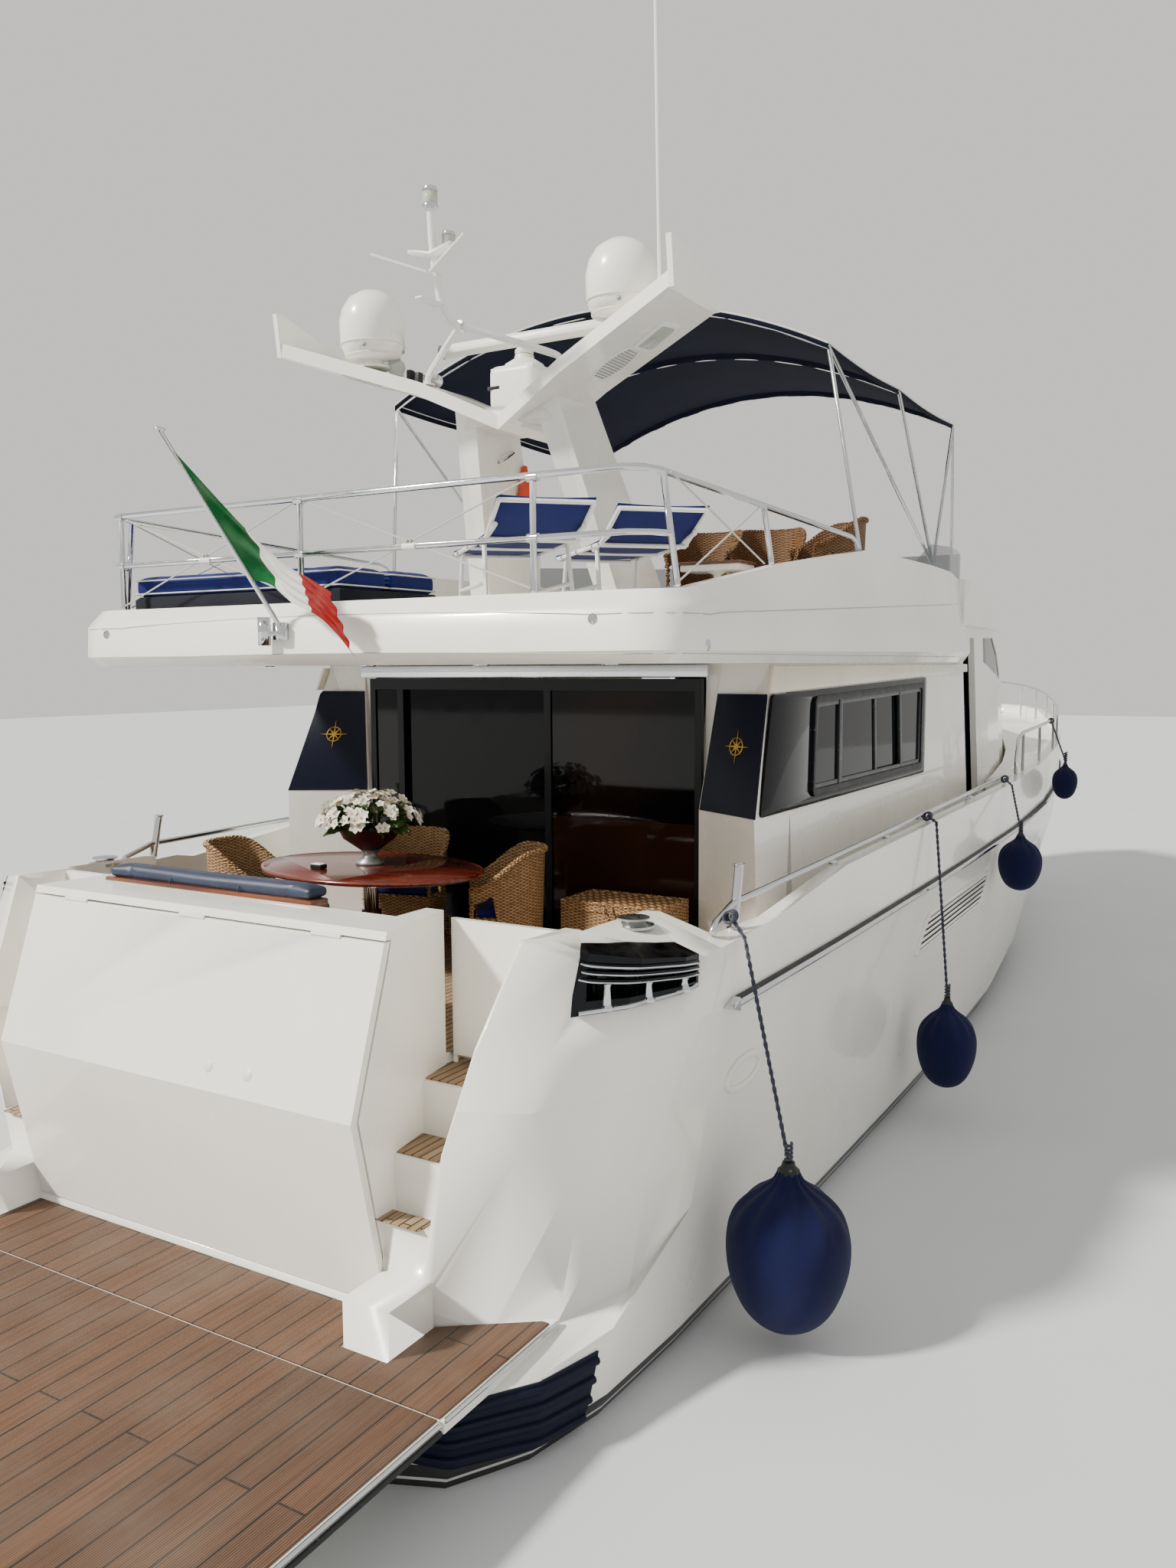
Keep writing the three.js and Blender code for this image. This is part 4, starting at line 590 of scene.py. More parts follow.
def settle(piece, name, look, body="yacht", smooth=35):
    """Names a finished piece, gives it its finish, rounds its shading and fixes it to its body."""
    take(piece)
    bpy.ops.object.transform_apply(location=True, rotation=True, scale=True)
    bpy.ops.object.shade_smooth_by_angle(angle=math.radians(smooth))
    piece.name = name
    piece.data.name = name
    piece.data.materials.clear()
    piece.data.materials.append(look)
    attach(piece, body)
    return piece


def modify(piece, kind, **settings):
    """Adds a modifier and applies it at once."""
    take(piece)
    added = piece.modifiers.new(kind.lower(), kind)
    for name, value in settings.items():
        setattr(added, name, value)
    bpy.ops.object.modifier_apply(modifier=added.name)
    return piece


def edit(piece, *steps):
    """Runs edit-mode operators on the whole mesh of one piece."""
    take(piece)
    bpy.ops.object.mode_set(mode="EDIT")
    bpy.ops.mesh.select_all(action="SELECT")
    for step in steps:
        step()
    bpy.ops.object.mode_set(mode="OBJECT")
    return piece


def outwards():
    bpy.ops.mesh.select_all(action="SELECT")
    bpy.ops.mesh.normals_make_consistent(inside=False)


def merge(gap=0.0002):
    bpy.ops.mesh.select_all(action="SELECT")
    bpy.ops.mesh.remove_doubles(threshold=gap)


def laid_over(places):
    """The new primitive, with its points moved to places."""
    piece = bpy.context.object
    for vertex, place in zip(piece.data.vertices, places):
        vertex.co = place
    return piece


def thickened(piece, name, push, look, bevel, body, *first):
    """Pushes a flat piece along a direction, eases its edges and settles it."""
    way = {"value": tuple(push)}
    edit(piece, *first, lambda: bpy.ops.mesh.extrude_region_move(TRANSFORM_OT_translate=way), outwards)
    if bevel:
        modify(piece, "BEVEL", width=bevel, segments=2, limit_method="ANGLE", angle_limit=math.radians(40))
    return settle(piece, name, look, body)


def plate(name, outline, push, look, bevel=0.0, body="yacht"):
    """A flat outline of places, pushed along a direction to give it thickness."""
    deselect()
    bpy.ops.mesh.primitive_circle_add(vertices=len(outline), fill_type="NGON")
    return thickened(laid_over(outline), name, push, look, bevel, body)


def ring_frame(name, outer, inner, push, look, bevel=0.0):
    """A flat frame between two outlines of as many corners."""
    deselect()
    bpy.ops.mesh.primitive_grid_add(x_subdivisions=len(outer), y_subdivisions=1)
    piece = laid_over([*outer, outer[0], *inner, inner[0]])
    return thickened(piece, name, push, look, bevel, "yacht", merge)


def block(name, x0, x1, s0, s1, z0, z1, look, bevel=0.004, segments=2):
    """A box between two values on each axis, with its edges eased."""
    deselect()
    bpy.ops.mesh.primitive_cube_add(size=1, location=aboard((x0 + x1) / 2, (s0 + s1) / 2, (z0 + z1) / 2))
    piece = bpy.context.object
    piece.scale = (abs(x1 - x0), abs(s1 - s0), abs(z1 - z0))
    bpy.ops.object.transform_apply(location=True, rotation=True, scale=True)
    modify(piece, "BEVEL", width=bevel, segments=segments)
    return settle(piece, name, look)


def skin(name, rows, look, ends=False, thick=0.0, smooth=35):
    """A grid laid over rows of points; a row that returns to its start closes into a tube."""
    deselect()
    bpy.ops.mesh.primitive_grid_add(x_subdivisions=len(rows[0]) - 1, y_subdivisions=len(rows) - 1)
    piece = laid_over([place for row in rows for place in row])
    steps = [merge]
    if ends:
        steps.append(lambda: bpy.ops.mesh.fill_holes(sides=0))
    edit(piece, *steps, outwards)
    if thick:
        modify(piece, "SOLIDIFY", thickness=thick, offset=-1)
    return settle(piece, name, look, smooth=smooth)


def turned(name, profile, place, look, axis=(0, 0, 1), steps=28, body="yacht"):
    """A profile of radius and height spun round an axis through a place."""
    deselect()
    bpy.ops.mesh.primitive_grid_add(x_subdivisions=1, y_subdivisions=len(profile) - 1)
    piece = laid_over([(radius, 0, height) for radius, height in profile for _ in range(2)])
    edit(
        piece,
        merge,
        lambda: bpy.ops.mesh.delete(type="ONLY_FACE"),
        lambda: bpy.ops.mesh.select_all(action="SELECT"),
        lambda: bpy.ops.mesh.spin(steps=steps, angle=2 * math.pi, center=(0, 0, 0), axis=(0, 0, 1)),
        merge,
        outwards,
    )
    turn = Vector(axis).to_track_quat("Z", "Y").to_matrix().to_4x4()
    piece.data.transform(Matrix.Translation(place) @ turn)
    return settle(piece, name, look, body, 40)


def pipe(name, points, radius, look, closed=False, body="yacht", sides=2):
    """A round tube along a line of places, as a curve that is then made a mesh."""
    curve = bpy.data.curves.new(name, "CURVE")
    curve.dimensions = "3D"
    curve.bevel_depth = radius
    curve.bevel_resolution = sides
    curve.use_fill_caps = not closed
    line = curve.splines.new("POLY")
    line.points.add(len(points) - 1)
    for end, place in zip(line.points, points):
        end.co = (*place, 1)
    line.use_cyclic_u = closed
    piece = bpy.data.objects.new(name, curve)
    bpy.context.collection.objects.link(piece)
    take(piece)
    bpy.ops.object.convert(target="MESH")
    edit(piece, merge, outwards)
    return settle(piece, name, look, body)


def joined(name, pieces):
    """Several pieces of one finish made into one."""
    take(pieces[0])
    for piece in pieces:
        piece.select_set(True)
    bpy.ops.object.join()
    pieces[0].name = name
    pieces[0].data.name = name
    return pieces[0]


def copy_of(piece):
    """A copy with a mesh of its own."""
    copy = piece.copy()
    copy.data = piece.data.copy()
    bpy.context.collection.objects.link(copy)
    return copy


def twin(piece):
    """The same piece for the port side, named after it."""
    copy = copy_of(piece)
    copy.data.transform(Matrix.Diagonal((-1, 1, 1, 1)))
    copy.data.flip_normals()
    copy.name = piece.name.replace("starboard", "port") if "starboard" in piece.name else piece.name + "_port"
    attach(copy, piece["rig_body"])
    return copy


# %% [markdown]
# A few lines come back everywhere: a smooth line through given points, the angles of a circle, an outline
# with round corners, and an outline that goes over both sides of the boat.

# %% Helpers for lines
def flowing(points, steps=6):
    """A smooth line through points, with some steps between each pair."""
    points = [Vector(p) for p in points]
    last = len(points) - 1
    line = []
    for i in range(last):
        a, b, c, d = (points[min(max(j, 0), last)] for j in range(i - 1, i + 3))
        bend = 2 * a - 5 * b + 4 * c - d
        twist = 3 * b - a - 3 * c + d
        for t in (step / steps for step in range(steps)):
            line.append(0.5 * (2 * b + (c - a) * t + bend * t * t + twist * t ** 3))
    return line + [points[-1]]


def circle(half):
    """The angles of a full turn, with half of them to half a turn."""
    return [k * math.pi / half for k in range(2 * half)]


def rounded(corners, radius, steps=5):
    """An outline of pairs with each corner drawn round."""
    line = []
    for i, corner in enumerate(corners):
        here = Vector(corner)
        before, after = Vector(corners[i - 1]), Vector(corners[(i + 1) % len(corners)])
        a = here + (before - here).normalized() * radius
        b = here + (after - here).normalized() * radius
        for t in (k / steps for k in range(steps + 1)):
            line.append((1 - t) ** 2 * a + 2 * t * (1 - t) * here + t * t * b)
    return [(p.x, p.y) for p in line]


def both_sides(outline, z):
    """An outline over both sides of the boat, given by its starboard half."""
    return [aboard(x, s, z) for x, s in outline] + [aboard(-x, s, z) for x, s in reversed(outline)]


def eased(value):
    """A share held between 0 and 1 that starts and ends gently."""
    share = min(1.0, max(0.0, value))
    return share * share * (3 - 2 * share)


print("a circle of", len(circle(20)), "angles")

# %% [markdown]
# The solids are drawn with few flat faces. Where the real thing is round or faired, a copy of the solid is
# merged and shaded smooth over its shallow angles only, so that the hull flows and its corners stay crisp.

# %% Faired copies of the curved solids
FAIRED = {
    "hull": 22, "deck_moulding": 22, "deckhouse": 14, "flybridge": 24, "dome_starboard": 60, "dome_port": 60,
    "cap_rail_starboard": 50, "cap_rail_port": 50, "bow_rail": 50, "fly_rail": 50, "bimini_frame": 50,
    "flower_bowl": 40, "cockpit_table": 30, "light_mast": 50, "ensign_staff": 50, "helm_wheel": 50,
    "propeller_starboard": 40, "propeller_port": 40, "rudder_starboard": 40, "rudder_port": 40, "lift_arms": 40,
    "garage_door": 20,
}
MOVING = ("helm_wheel", "propeller_starboard", "propeller_port", "rudder_starboard", "rudder_port", "lift_arms",
          "garage_door")
for name, angle in FAIRED.items():
    copy = copy_of(frame["nodes"][name])
    look = copy.data.materials[0]
    edit(copy, lambda: merge(0.00005))
    for key in [k for k in copy.keys() if k.startswith("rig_")]:
        del copy[key]
    settle(copy, "faired_" + name, look, name if name in MOVING else "yacht", angle)
    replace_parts(copy, name)
print(len(FAIRED), "solids have a faired copy")

# %% [markdown]
# Many pieces lie on the hull or the house. A line is cast at the solid from outside, and where it meets the
# surface the piece is set, so trim follows the real curve without measuring it again.

# %% Finding the surface
trees = {}


def surface(name, start, direction):
    """The place where a line from a start first meets a solid, and the way the surface faces there."""
    if name not in trees:
        mesh = frame["nodes"][name].data
        trees[name] = BVHTree.FromPolygons([v.co for v in mesh.vertices], [p.vertices for p in mesh.polygons])
    return trees[name].ray_cast(Vector(start), Vector(direction).normalized())[:2]


def side_of(name, station, z):
    """The starboard surface of a solid at a station and a height."""
    return surface(name, aboard(6, station, z), (-1, 0, 0))


def top_of(name, x, station, z):
    """The place where a line from a height straight down meets a solid."""
    return surface(name, aboard(x, station, z), -UP)[0]


print("the topside at station 5 is", round(side_of("hull", 5, 1.4)[0].x, 3), "m off the centreline")

# %% [markdown]
# The floor is a plain pale surface at the waterline. It has a faint mottle so that the shadow of the yacht
# lies on something real.

# %% Floor
floor_look = Finish("floor_plain_pale", "c9ccce", 0.6)
floor_look.set(Base_Color=floor_look.mottled("c4c8cb", "d0d2d3", 0.6, 4, 0, 1))
deselect()
bpy.ops.mesh.primitive_plane_add(size=160, location=(0, 0, 0))
floor = bpy.context.object
floor.name = "floor"
floor.data.materials.append(floor_look.material)
floor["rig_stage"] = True
print("the floor is", round(floor.dimensions.x), "m wide")

# %% [markdown]
# The bathing platform and the fixed platform before it are covered with broad teak boards, laid fore and
# aft and held by a bright metal strip along the edge. Each cover is one thin plate with eased edges.

# %% Platform boards
DECK_TOP = 0.470
EDGE_TOP = 0.462
BOARD = (0, 0, 0.010)
LIFT_HALF = [(2.17, -0.650), (2.17, -2.32), (2.08, -2.455), (1.945, -2.53)]
LEDGE_HALF = [(2.17, -0.636), (2.17, 0.27), (2.13, 0.27), (1.88, 0.09), (1.69, -0.05), (1.69, -0.42),
              (1.39, -0.42), (1.39, -0.09)]
plate("lift_platform_boards", both_sides(LIFT_HALF, DECK_TOP), BOARD, platform_teak, 0.003, "swim_platform")
plate("fixed_platform_boards", both_sides(LEDGE_HALF, DECK_TOP), BOARD, platform_teak, 0.003)
rim = both_sides([(2.19, -0.66), (2.19, -2.33), (2.09, -2.48), (1.95, -2.55)], EDGE_TOP)
pipe("lift_platform_edge_strip", rim, 0.012, stainless, body="swim_platform")
fixed_rim = [aboard(2.19, station, EDGE_TOP) for station in (-0.625, 0.32)]
twin(pipe("fixed_platform_edge_strip", fixed_rim, 0.012, stainless))
pipe("lift_platform_rubber", [p - UP * 0.035 for p in rim], 0.016, black_rubber, body="swim_platform")
print("boards on", 2 * LIFT_HALF[0][0], "m of platform")

# %% [markdown]
# The cockpit sole, the side decks and the stair treads are laid with narrow teak. Each is a thin plate cut to
# the shape of its deck, a finger's breadth inside the moulding that frames it.

# %% Laid decks
LAID = (0, 0, 0.008)
SOLE_HALF = [(1.17, 0.36), (1.17, 0.62), (1.31, 0.75), (2.07, 0.75), (2.07, 1.52), (2.44, 1.57), (2.46, 2.93),
             (2.16, 2.93), (1.545, 3.31)]
SIDE_DECK = [(2.20, 3.27), (2.47, 3.27), (2.475, 6.0), (2.46, 9.0), (2.445, 9.88), (2.12, 9.88), (2.20, 7.9)]
TREADS = ((0.36, 0.735, 1.80, 1.5805), (0.05, 0.315, 1.73, 1.2905), (-0.13, 0.0, 1.66, 1.0005))
plate("cockpit_sole_teak", both_sides(SOLE_HALF, 1.6205), LAID, deck_teak, 0.002)
twin(plate("side_deck_teak", [aboard(x, s, 1.9505) for x, s in SIDE_DECK], LAID, deck_teak, 0.002))
treads = []
for aft, riser, outer, height in TREADS:
    corners = [aboard(x, s, height) for x, s in ((1.29, aft), (outer, aft), (outer, riser), (1.29, riser))]
    treads.append(plate("stair_tread", corners, LAID, deck_teak, 0.002))
twin(joined("stair_treads_starboard", treads))
print("two flights of", len(treads), "treads")

# %% [markdown]
# Beside the saloon doors two dark blue panels face aft, each with a small gilded compass rose. The rose is a
# traditional ornament: a ring, a hub and eight points. The panel is a skin stretched between its four
# corners, so it takes the slight twist of the pillar behind it.

# %% Quarter panels with a compass rose
ROSE_SIZE = 0.125
navy_panel = Finish("lacquered_panel_navy", "070c20", 0.32, Specular_IOR_Level=0.18).material


def panel_point(across, up, off=0.0):
    """A place on the starboard pillar's aft face: across from inboard to outboard, up from foot to head."""
    inner = aboard(1.560, 3.296, 2.742).lerp(aboard(1.656, 3.394, 3.58), up)
    outer = aboard(2.136, 2.944, 2.742).lerp(aboard(2.066, 3.322, 3.58), up)
    facing = Vector((0.45, -0.86, 0.24)).normalized()
    return inner.lerp(outer, across) + facing * (0.012 + off)


def rose(across, up, size):
    """A compass rose on the panel, built flat and then laid on its face."""
    centre = panel_point(across, up, 0.004)
    right = (panel_point(across + 0.1, up) - panel_point(across - 0.1, up)).normalized()
    rise = (panel_point(across, up + 0.1) - panel_point(across, up - 0.1)).normalized()
    out = right.cross(rise).normalized() * 0.003
    points = []
    for i in range(16):
        reach = size * ((1.0 if i % 4 == 0 else 0.62) if i % 2 == 0 else 0.13)
        angle = math.pi / 2 + i * math.pi / 8
        points.append(centre + right * (reach * math.cos(angle)) + rise * (reach * math.sin(angle)))
    star = plate("rose_points", points, out, gold_leaf)
    line = [centre + out + (right * math.cos(a) + rise * math.sin(a)) * size * 0.5 for a in circle(20)]
    ring = pipe("rose_ring", line, size * 0.035, gold_leaf, closed=True)
    return joined("compass_rose_starboard", [star, ring])


rows = [[panel_point(i / 6, j / 8) for i in range(7)] for j in range(9)]
twin(skin("quarter_panel_starboard", rows, navy_panel, thick=0.012))
twin(rose(0.53, 0.56, ROSE_SIZE))
print("each rose is", 2 * ROSE_SIZE, "m across")

# %% [markdown]
# Along the saloon runs a band of dark glass. Its forward part is a sash window in a rounded frame, with a
# fixed light and two sliding panes. The frames are plates cut as rings; each is an outline with a smaller
# one bridged to it, set a little off the leaning wall of the house.

# %% Saloon band and sash window
LEAN = 0.130 / 2.6796
BAND = [(3.02, 2.745), (3.33, 3.58), (7.28, 3.66), (7.10, 2.745)]
SASH = [(4.02, 2.80), (4.16, 3.55), (7.14, 3.61), (7.00, 2.80)]
EAVE = [(3.27, 3.590), (3.36, 3.782), (8.9, 3.782), (8.9, 3.70), (7.35, 3.672)]
KNUCKLE = [(2.985, 2.70), (2.99, 2.742), (7.9, 2.742), (7.9, 2.725)]
SASH_BARS = ((4.66, 0.075, 0.030, 0.10), (5.62, 0.05, 0.018, 0.05), (6.35, 0.06, 0.026, 0.04))
PANES = (([(4.10, 2.85), (4.64, 2.85), (4.74, 3.55), (4.23, 3.54)], 0.010),
         ([(4.70, 2.85), (5.64, 2.85), (5.69, 3.57), (4.80, 3.56)], 0.004),
         ([(6.37, 2.85), (6.98, 2.85), (7.09, 3.585), (6.41, 3.575)], 0.010))


def on_wall(outline, off):
    """Pairs of station and height, set just off the starboard wall of the house."""
    return [aboard(2.18 - (z - 1.6204) * LEAN + off, station, z) for station, z in outline]


def shrunk(corners, by):
    """A four-cornered outline drawn in by the same amount on each axis."""
    middle = [sum(c[axis] for c in corners) / len(corners) for axis in (0, 1)]
    return [tuple(v - (1 if v > m else -1) * by for v, m in zip(corner, middle)) for corner in corners]


def side_frame(name, outer, inner, off, depth, look):
    return ring_frame(name, on_wall(outer, off), on_wall(inner, off), (-depth, 0, 0), look, 0.002)


def sash_bar(station, width, off, lean):
    """An upright bar of the sash; it leans like the frame's ends."""
    foot = [(station - width / 2, 2.85), (station + width / 2, 2.85)]
    head = [(station + lean + width / 2, 3.555), (station + lean - width / 2, 3.555)]
    return plate("sash_bar", on_wall(foot + head, off), (-0.03, 0, 0), smoked_aluminium, 0.002)


sash_outer = rounded(SASH, 0.06)
inner_sash = rounded(shrunk(SASH, 0.045), 0.03)
side_parts = [
    side_frame("saloon_band_starboard", rounded(BAND, 0.05), sash_outer, 0.026, 0.024, mirror_band),
    side_frame("sash_frame_starboard", sash_outer, rounded(shrunk(SASH, 0.05), 0.04), 0.036, 0.034,
               dark_aluminium),
    side_frame("sash_inner_frame_starboard", inner_sash, rounded(shrunk(SASH, 0.085), 0.025), 0.024, 0.03,
               smoked_aluminium),
    joined("sash_bars_starboard", [sash_bar(*bar) for bar in SASH_BARS]),
    joined("sash_panes_starboard", [plate("sash_pane", on_wall(corners, off), (-0.008, 0, 0), mirror_band)
                                    for corners, off in PANES]),
]
for part in side_parts:
    twin(part)
twin(plate("eave_band_starboard", on_wall(EAVE, 0.030), (-0.028, 0, 0), cream_gelcoat, 0.006))
twin(plate("house_knuckle_starboard", on_wall(KNUCKLE, 0.012), (-0.012, 0, 0), white_gelcoat, 0.003))
block("saloon_head_trim", -1.62, 1.62, 3.300, 3.338, 3.70, 3.795, stainless, 0.008)
print("band and sash on both sides")

# %% [markdown]
# A rub rail runs along each side from a pointed cap at the quarter to the stem: black rubber on the knuckle of
# the hull, with a half-round of polished steel on it. Its heights are a short table. The breadth is found on
# the hull itself, so the rail bends with it.

# %% Rub rail
RUB_LINE = [(1.52, 1.888), (2.2, 1.890), (3.5, 1.896), (6.0, 1.925), (9.0, 1.985), (11.0, 2.060), (13.1, 2.160),
            (14.9, 2.270), (16.4, 2.385), (17.5, 2.490), (18.2, 2.580), (18.7, 2.640)]
rub_places = []
for station, height in flowing(RUB_LINE, 5):
    place, facing = side_of("deck_moulding", station, height)
    rub_places.append((place, Vector((facing.x, facing.y, 0)).normalized()))
for name, off, radius, look in (("rubber", 0.012, 0.034, black_rubber), ("steel", 0.034, 0.022, stainless)):
    line = [place + out * off for place, out in rub_places]
    twin(pipe("rub_rail_%s_starboard" % name, line, radius, look, sides=3))
tip, root = (side_of("deck_moulding", station, 1.890)[0] for station in (1.40, 1.53))
cap_outline = [tip, root + UP * 0.042, root - UP * 0.042]
twin(plate("rub_rail_end_cap_starboard", cap_outline, (0.055, 0, 0), stainless, 0.008))
print("a rub rail of", len(rub_places), "points on each side")

# %% [markdown]
# Low on the quarter a navy rubber bumper wraps round the hull under the platform. It is a pad with four low
# ridges, and its lower edge falls towards the waterline as it runs forward. The pad is a skin on the hull
# and the ridges are tubes sunk halfway into it.

# %% Quarter bumper
BUMPER_LINE = [(1.76, -0.60), (1.93, -0.555), (2.085, -0.45), (2.235, -0.25), (2.325, -0.06), (2.39, 0.17),
               (2.44, 0.42)]
PAD_LOW, PAD_HIGH = (0.150, 0.035), (0.415, 0.375)  # heights at its after and forward ends
PAD_REACH = (0.86, 0.93)  # how far round the quarter its lower and upper edges go
RIDGES = (0.12, 0.37, 0.63, 0.88)


def on_quarter(share, height, off):
    """A place on the hull's quarter, by a share of the way round it."""
    line = flowing(BUMPER_LINE, 4)
    at = share * (len(line) - 1)
    index = min(int(at), len(line) - 2)
    here = line[index].lerp(line[index + 1], at - index)
    along = (line[index + 1] - line[index]).normalized()
    out = Vector((abs(along.y), -along.x, 0)).normalized()
    start = aboard(here.x, here.y, height) + out * 0.6
    return (surface("hull", start, -out)[0] or start - out * 0.6) + out * off


def part_way(pair, share):
    return pair[0] + (pair[1] - pair[0]) * share


def on_pad(along, up):
    """A place on the bumper: along it from aft, up it from its lower edge to its upper."""
    low, high = part_way(PAD_LOW, along), part_way(PAD_HIGH, along)
    return on_quarter(part_way(PAD_REACH, up) * along, low + (high - low) * up, 0.012)


pad_rows = [[on_pad(i / 28, k / 8) for i in range(29)] for k in range(9)]
twin(skin("bumper_pad_starboard", pad_rows, navy_rubber, thick=0.022))
twin(joined("bumper_ridges_starboard", [
    pipe("bumper_ridge", [on_pad(i / 28, up) for i in range(29)], 0.022, navy_rubber) for up in RIDGES]))
print(len(RIDGES), "ridges on each quarter")

# %% [markdown]
# The engine room breathes through a louvre in each topside, a sloping frame with five slats. Farther aft is
# the oval mouth of a smaller vent. Both are shallow white mouldings that follow the side.

# %% Vents in the topsides
LOUVRE_OUTER = [(5.35, 1.33), (7.75, 1.37), (8.05, 1.70), (5.65, 1.66)]
LOUVRE_INNER = [(5.47, 1.37), (7.70, 1.41), (7.93, 1.66), (5.70, 1.62)]
OVAL = (1.79, 1.41)


def on_side(station, z, off=0.0):
    """A place on the starboard topside; the hull ends and the deck moulding begins at 1.62 m."""
    place = side_of("hull", station, z)[0] or side_of("deck_moulding", station, z)[0]
    place = place or side_of("hull", station, z - 0.002)[0]
    return place + Vector((off, 0, 0))


def in_louvre(along, up, off):
    """A place in the louvre's mouth: along it from aft, up it from below."""
    return on_side(5.47 + 2.23 * along + 0.23 * up, 1.37 + 0.04 * along + 0.25 * up, off)


def side_ring(name, outer, inner, depth, bevel):
    edges = ([on_side(s, z, -0.004) for s, z in outline] for outline in (outer, inner))
    return ring_frame(name, *edges, (depth, 0, 0), white_gelcoat, bevel)


louvre_ring = side_ring("louvre_frame", rounded(LOUVRE_OUTER, 0.08), rounded(LOUVRE_INNER, 0.05), 0.022, 0.005)
shadow_rows = [[in_louvre(i / 12, j, 0.002) for i in range(13)] for j in (0, 1)]
shadow = skin("louvre_shadow_starboard", shadow_rows, dark_aluminium, thick=0.004)
slats = []
for k in range(5):
    line = [in_louvre(i / 10, (k + 0.5) / 5, 0.010) for i in range(11)]
    edges = [[p + Vector((0.007, 0, -0.010)) for p in line], [p + UP * 0.008 for p in line]]
    slats.append(skin("louvre_slat", edges, white_gelcoat, thick=0.006))
twin(joined("louvre_starboard", [louvre_ring, *slats]))
twin(shadow)
ovals = ([(OVAL[0] + wide * math.cos(a), OVAL[1] + tall * math.sin(a)) for a in circle(16)]
         for wide, tall in ((0.26, 0.11), (0.21, 0.07)))
twin(side_ring("oval_vent_starboard", *ovals, 0.024, 0.006))
print("louvre and oval vent on both sides")

# %% [markdown]
# Each quarter has a fairlead for the mooring lines: a dark polished box sunk in the corner, with three dark
# slats across the upper half of its mouth and three bright rollers under them. The slats follow the face of
# the corner, found above and below the mouth, and each has a bright lip. A warping drum stands beside it.

# %% Fairleads and drums
FAIRLEAD_ARC = [(2.305, 0.34), (2.33, 0.42), (2.40, 0.55), (2.485, 0.72), (2.545, 0.92), (2.585, 1.12)]
SILL = 2.085
FAIRLEAD_SLATS = ((2.262, 2.150, 1), (2.305, 2.182, 2), (2.345, 2.212, 2))  # aft, forward, points left out
SLAT_SECTION = ((0.012, 0.001), (0.008, 0.016), (-0.008, 0.018), (-0.012, 0.001))
ROLLERS = ((2.365, 0.50, 2.215), (2.465, 0.74, 2.185), (2.545, 1.0, 2.155))
DRUM = [(0.0, -0.01), (0.115, -0.01), (0.115, 0.004), (0.075, 0.012), (0.062, 0.022), (0.066, 0.030),
        (0.088, 0.036), (0.090, 0.044), (0.030, 0.050), (0.0, 0.050)]


def corner_out(station):
    """The way the corner faces, from its after end to its forward end."""
    turn = min(1.0, max(0.0, (station - 0.34) / 0.78))
    return Vector((0.80 + 0.19 * turn, -0.60 + 0.43 * turn, 0)).normalized()


def on_corner(x, station, z, off=0.0):
    """A place on the corner of the hull, found from outside."""
    out = corner_out(station)
    start = aboard(x, station, z) + out * 0.5
    hits = [surface(solid, start, -out)[0] for solid in ("fairlead_starboard", "deck_moulding")]
    near = min((h for h in hits if h), key=lambda h: (h - start).length, default=aboard(x, station, z))
    return near + out * off


def on_mouth(x, station, z, off):
    """A place level with the corner's face, also where the mouth is cut through it."""
    head = 2.365 - (station - 0.2) * 0.153
    low, high = on_corner(x, station, SILL), on_corner(x, station, head)
    return low.lerp(high, (z - SILL) / (head - SILL)) + corner_out(station) * off


arc = [(p.x, p.y) for p in flowing(FAIRLEAD_ARC, 4)]
lead_parts, ledges = [], []
for aft_height, forward_height, skipped in FAIRLEAD_SLATS:
    line = [(x, station, aft_height + (forward_height - aft_height) * k / (len(arc) - 1))
            for k, (x, station) in enumerate(arc)][skipped:]
    rows = [[on_mouth(x, station, z + rise, off) for x, station, z in line] for rise, off in SLAT_SECTION]
    ledges.append(skin("fairlead_ledge", rows, dark_steel, thick=0.004))
    lead_parts.append(pipe("fairlead_lip", [p + UP * 0.001 for p in rows[2]], 0.005, stainless))
twin(joined("fairlead_ledges_starboard", ledges))
for x, station, top in ROLLERS:
    tall = top - 2.10
    roller = [(0.0, -0.02), (0.040, -0.02), (0.040, -0.008), (0.026, 0.006), (0.022, tall - 0.02),
              (0.034, tall), (0.0, tall)]
    roller_foot = on_mouth(x, station, 2.10, -0.010)
    lead_parts.append(turned("fairlead_roller", roller, roller_foot, stainless, steps=20))
lead_parts.append(pipe("fairlead_sill", [on_corner(x, s, SILL, 0.004) for x, s in arc], 0.012, stainless))
twin(joined("fairlead_slats_starboard", lead_parts))
drum_top = top_of("deck_moulding", 2.20, 1.12, 4)
twin(turned("warping_drum_starboard", DRUM, drum_top, brushed))
print("fairleads framed; the drum stands at", [round(v, 2) for v in drum_top])

# %% [markdown]
# The cap rail of the bulwark stands on round bases. A rod holder is clamped to it near its after end: an
# open tube that leans outward a little, with a rolled lip.

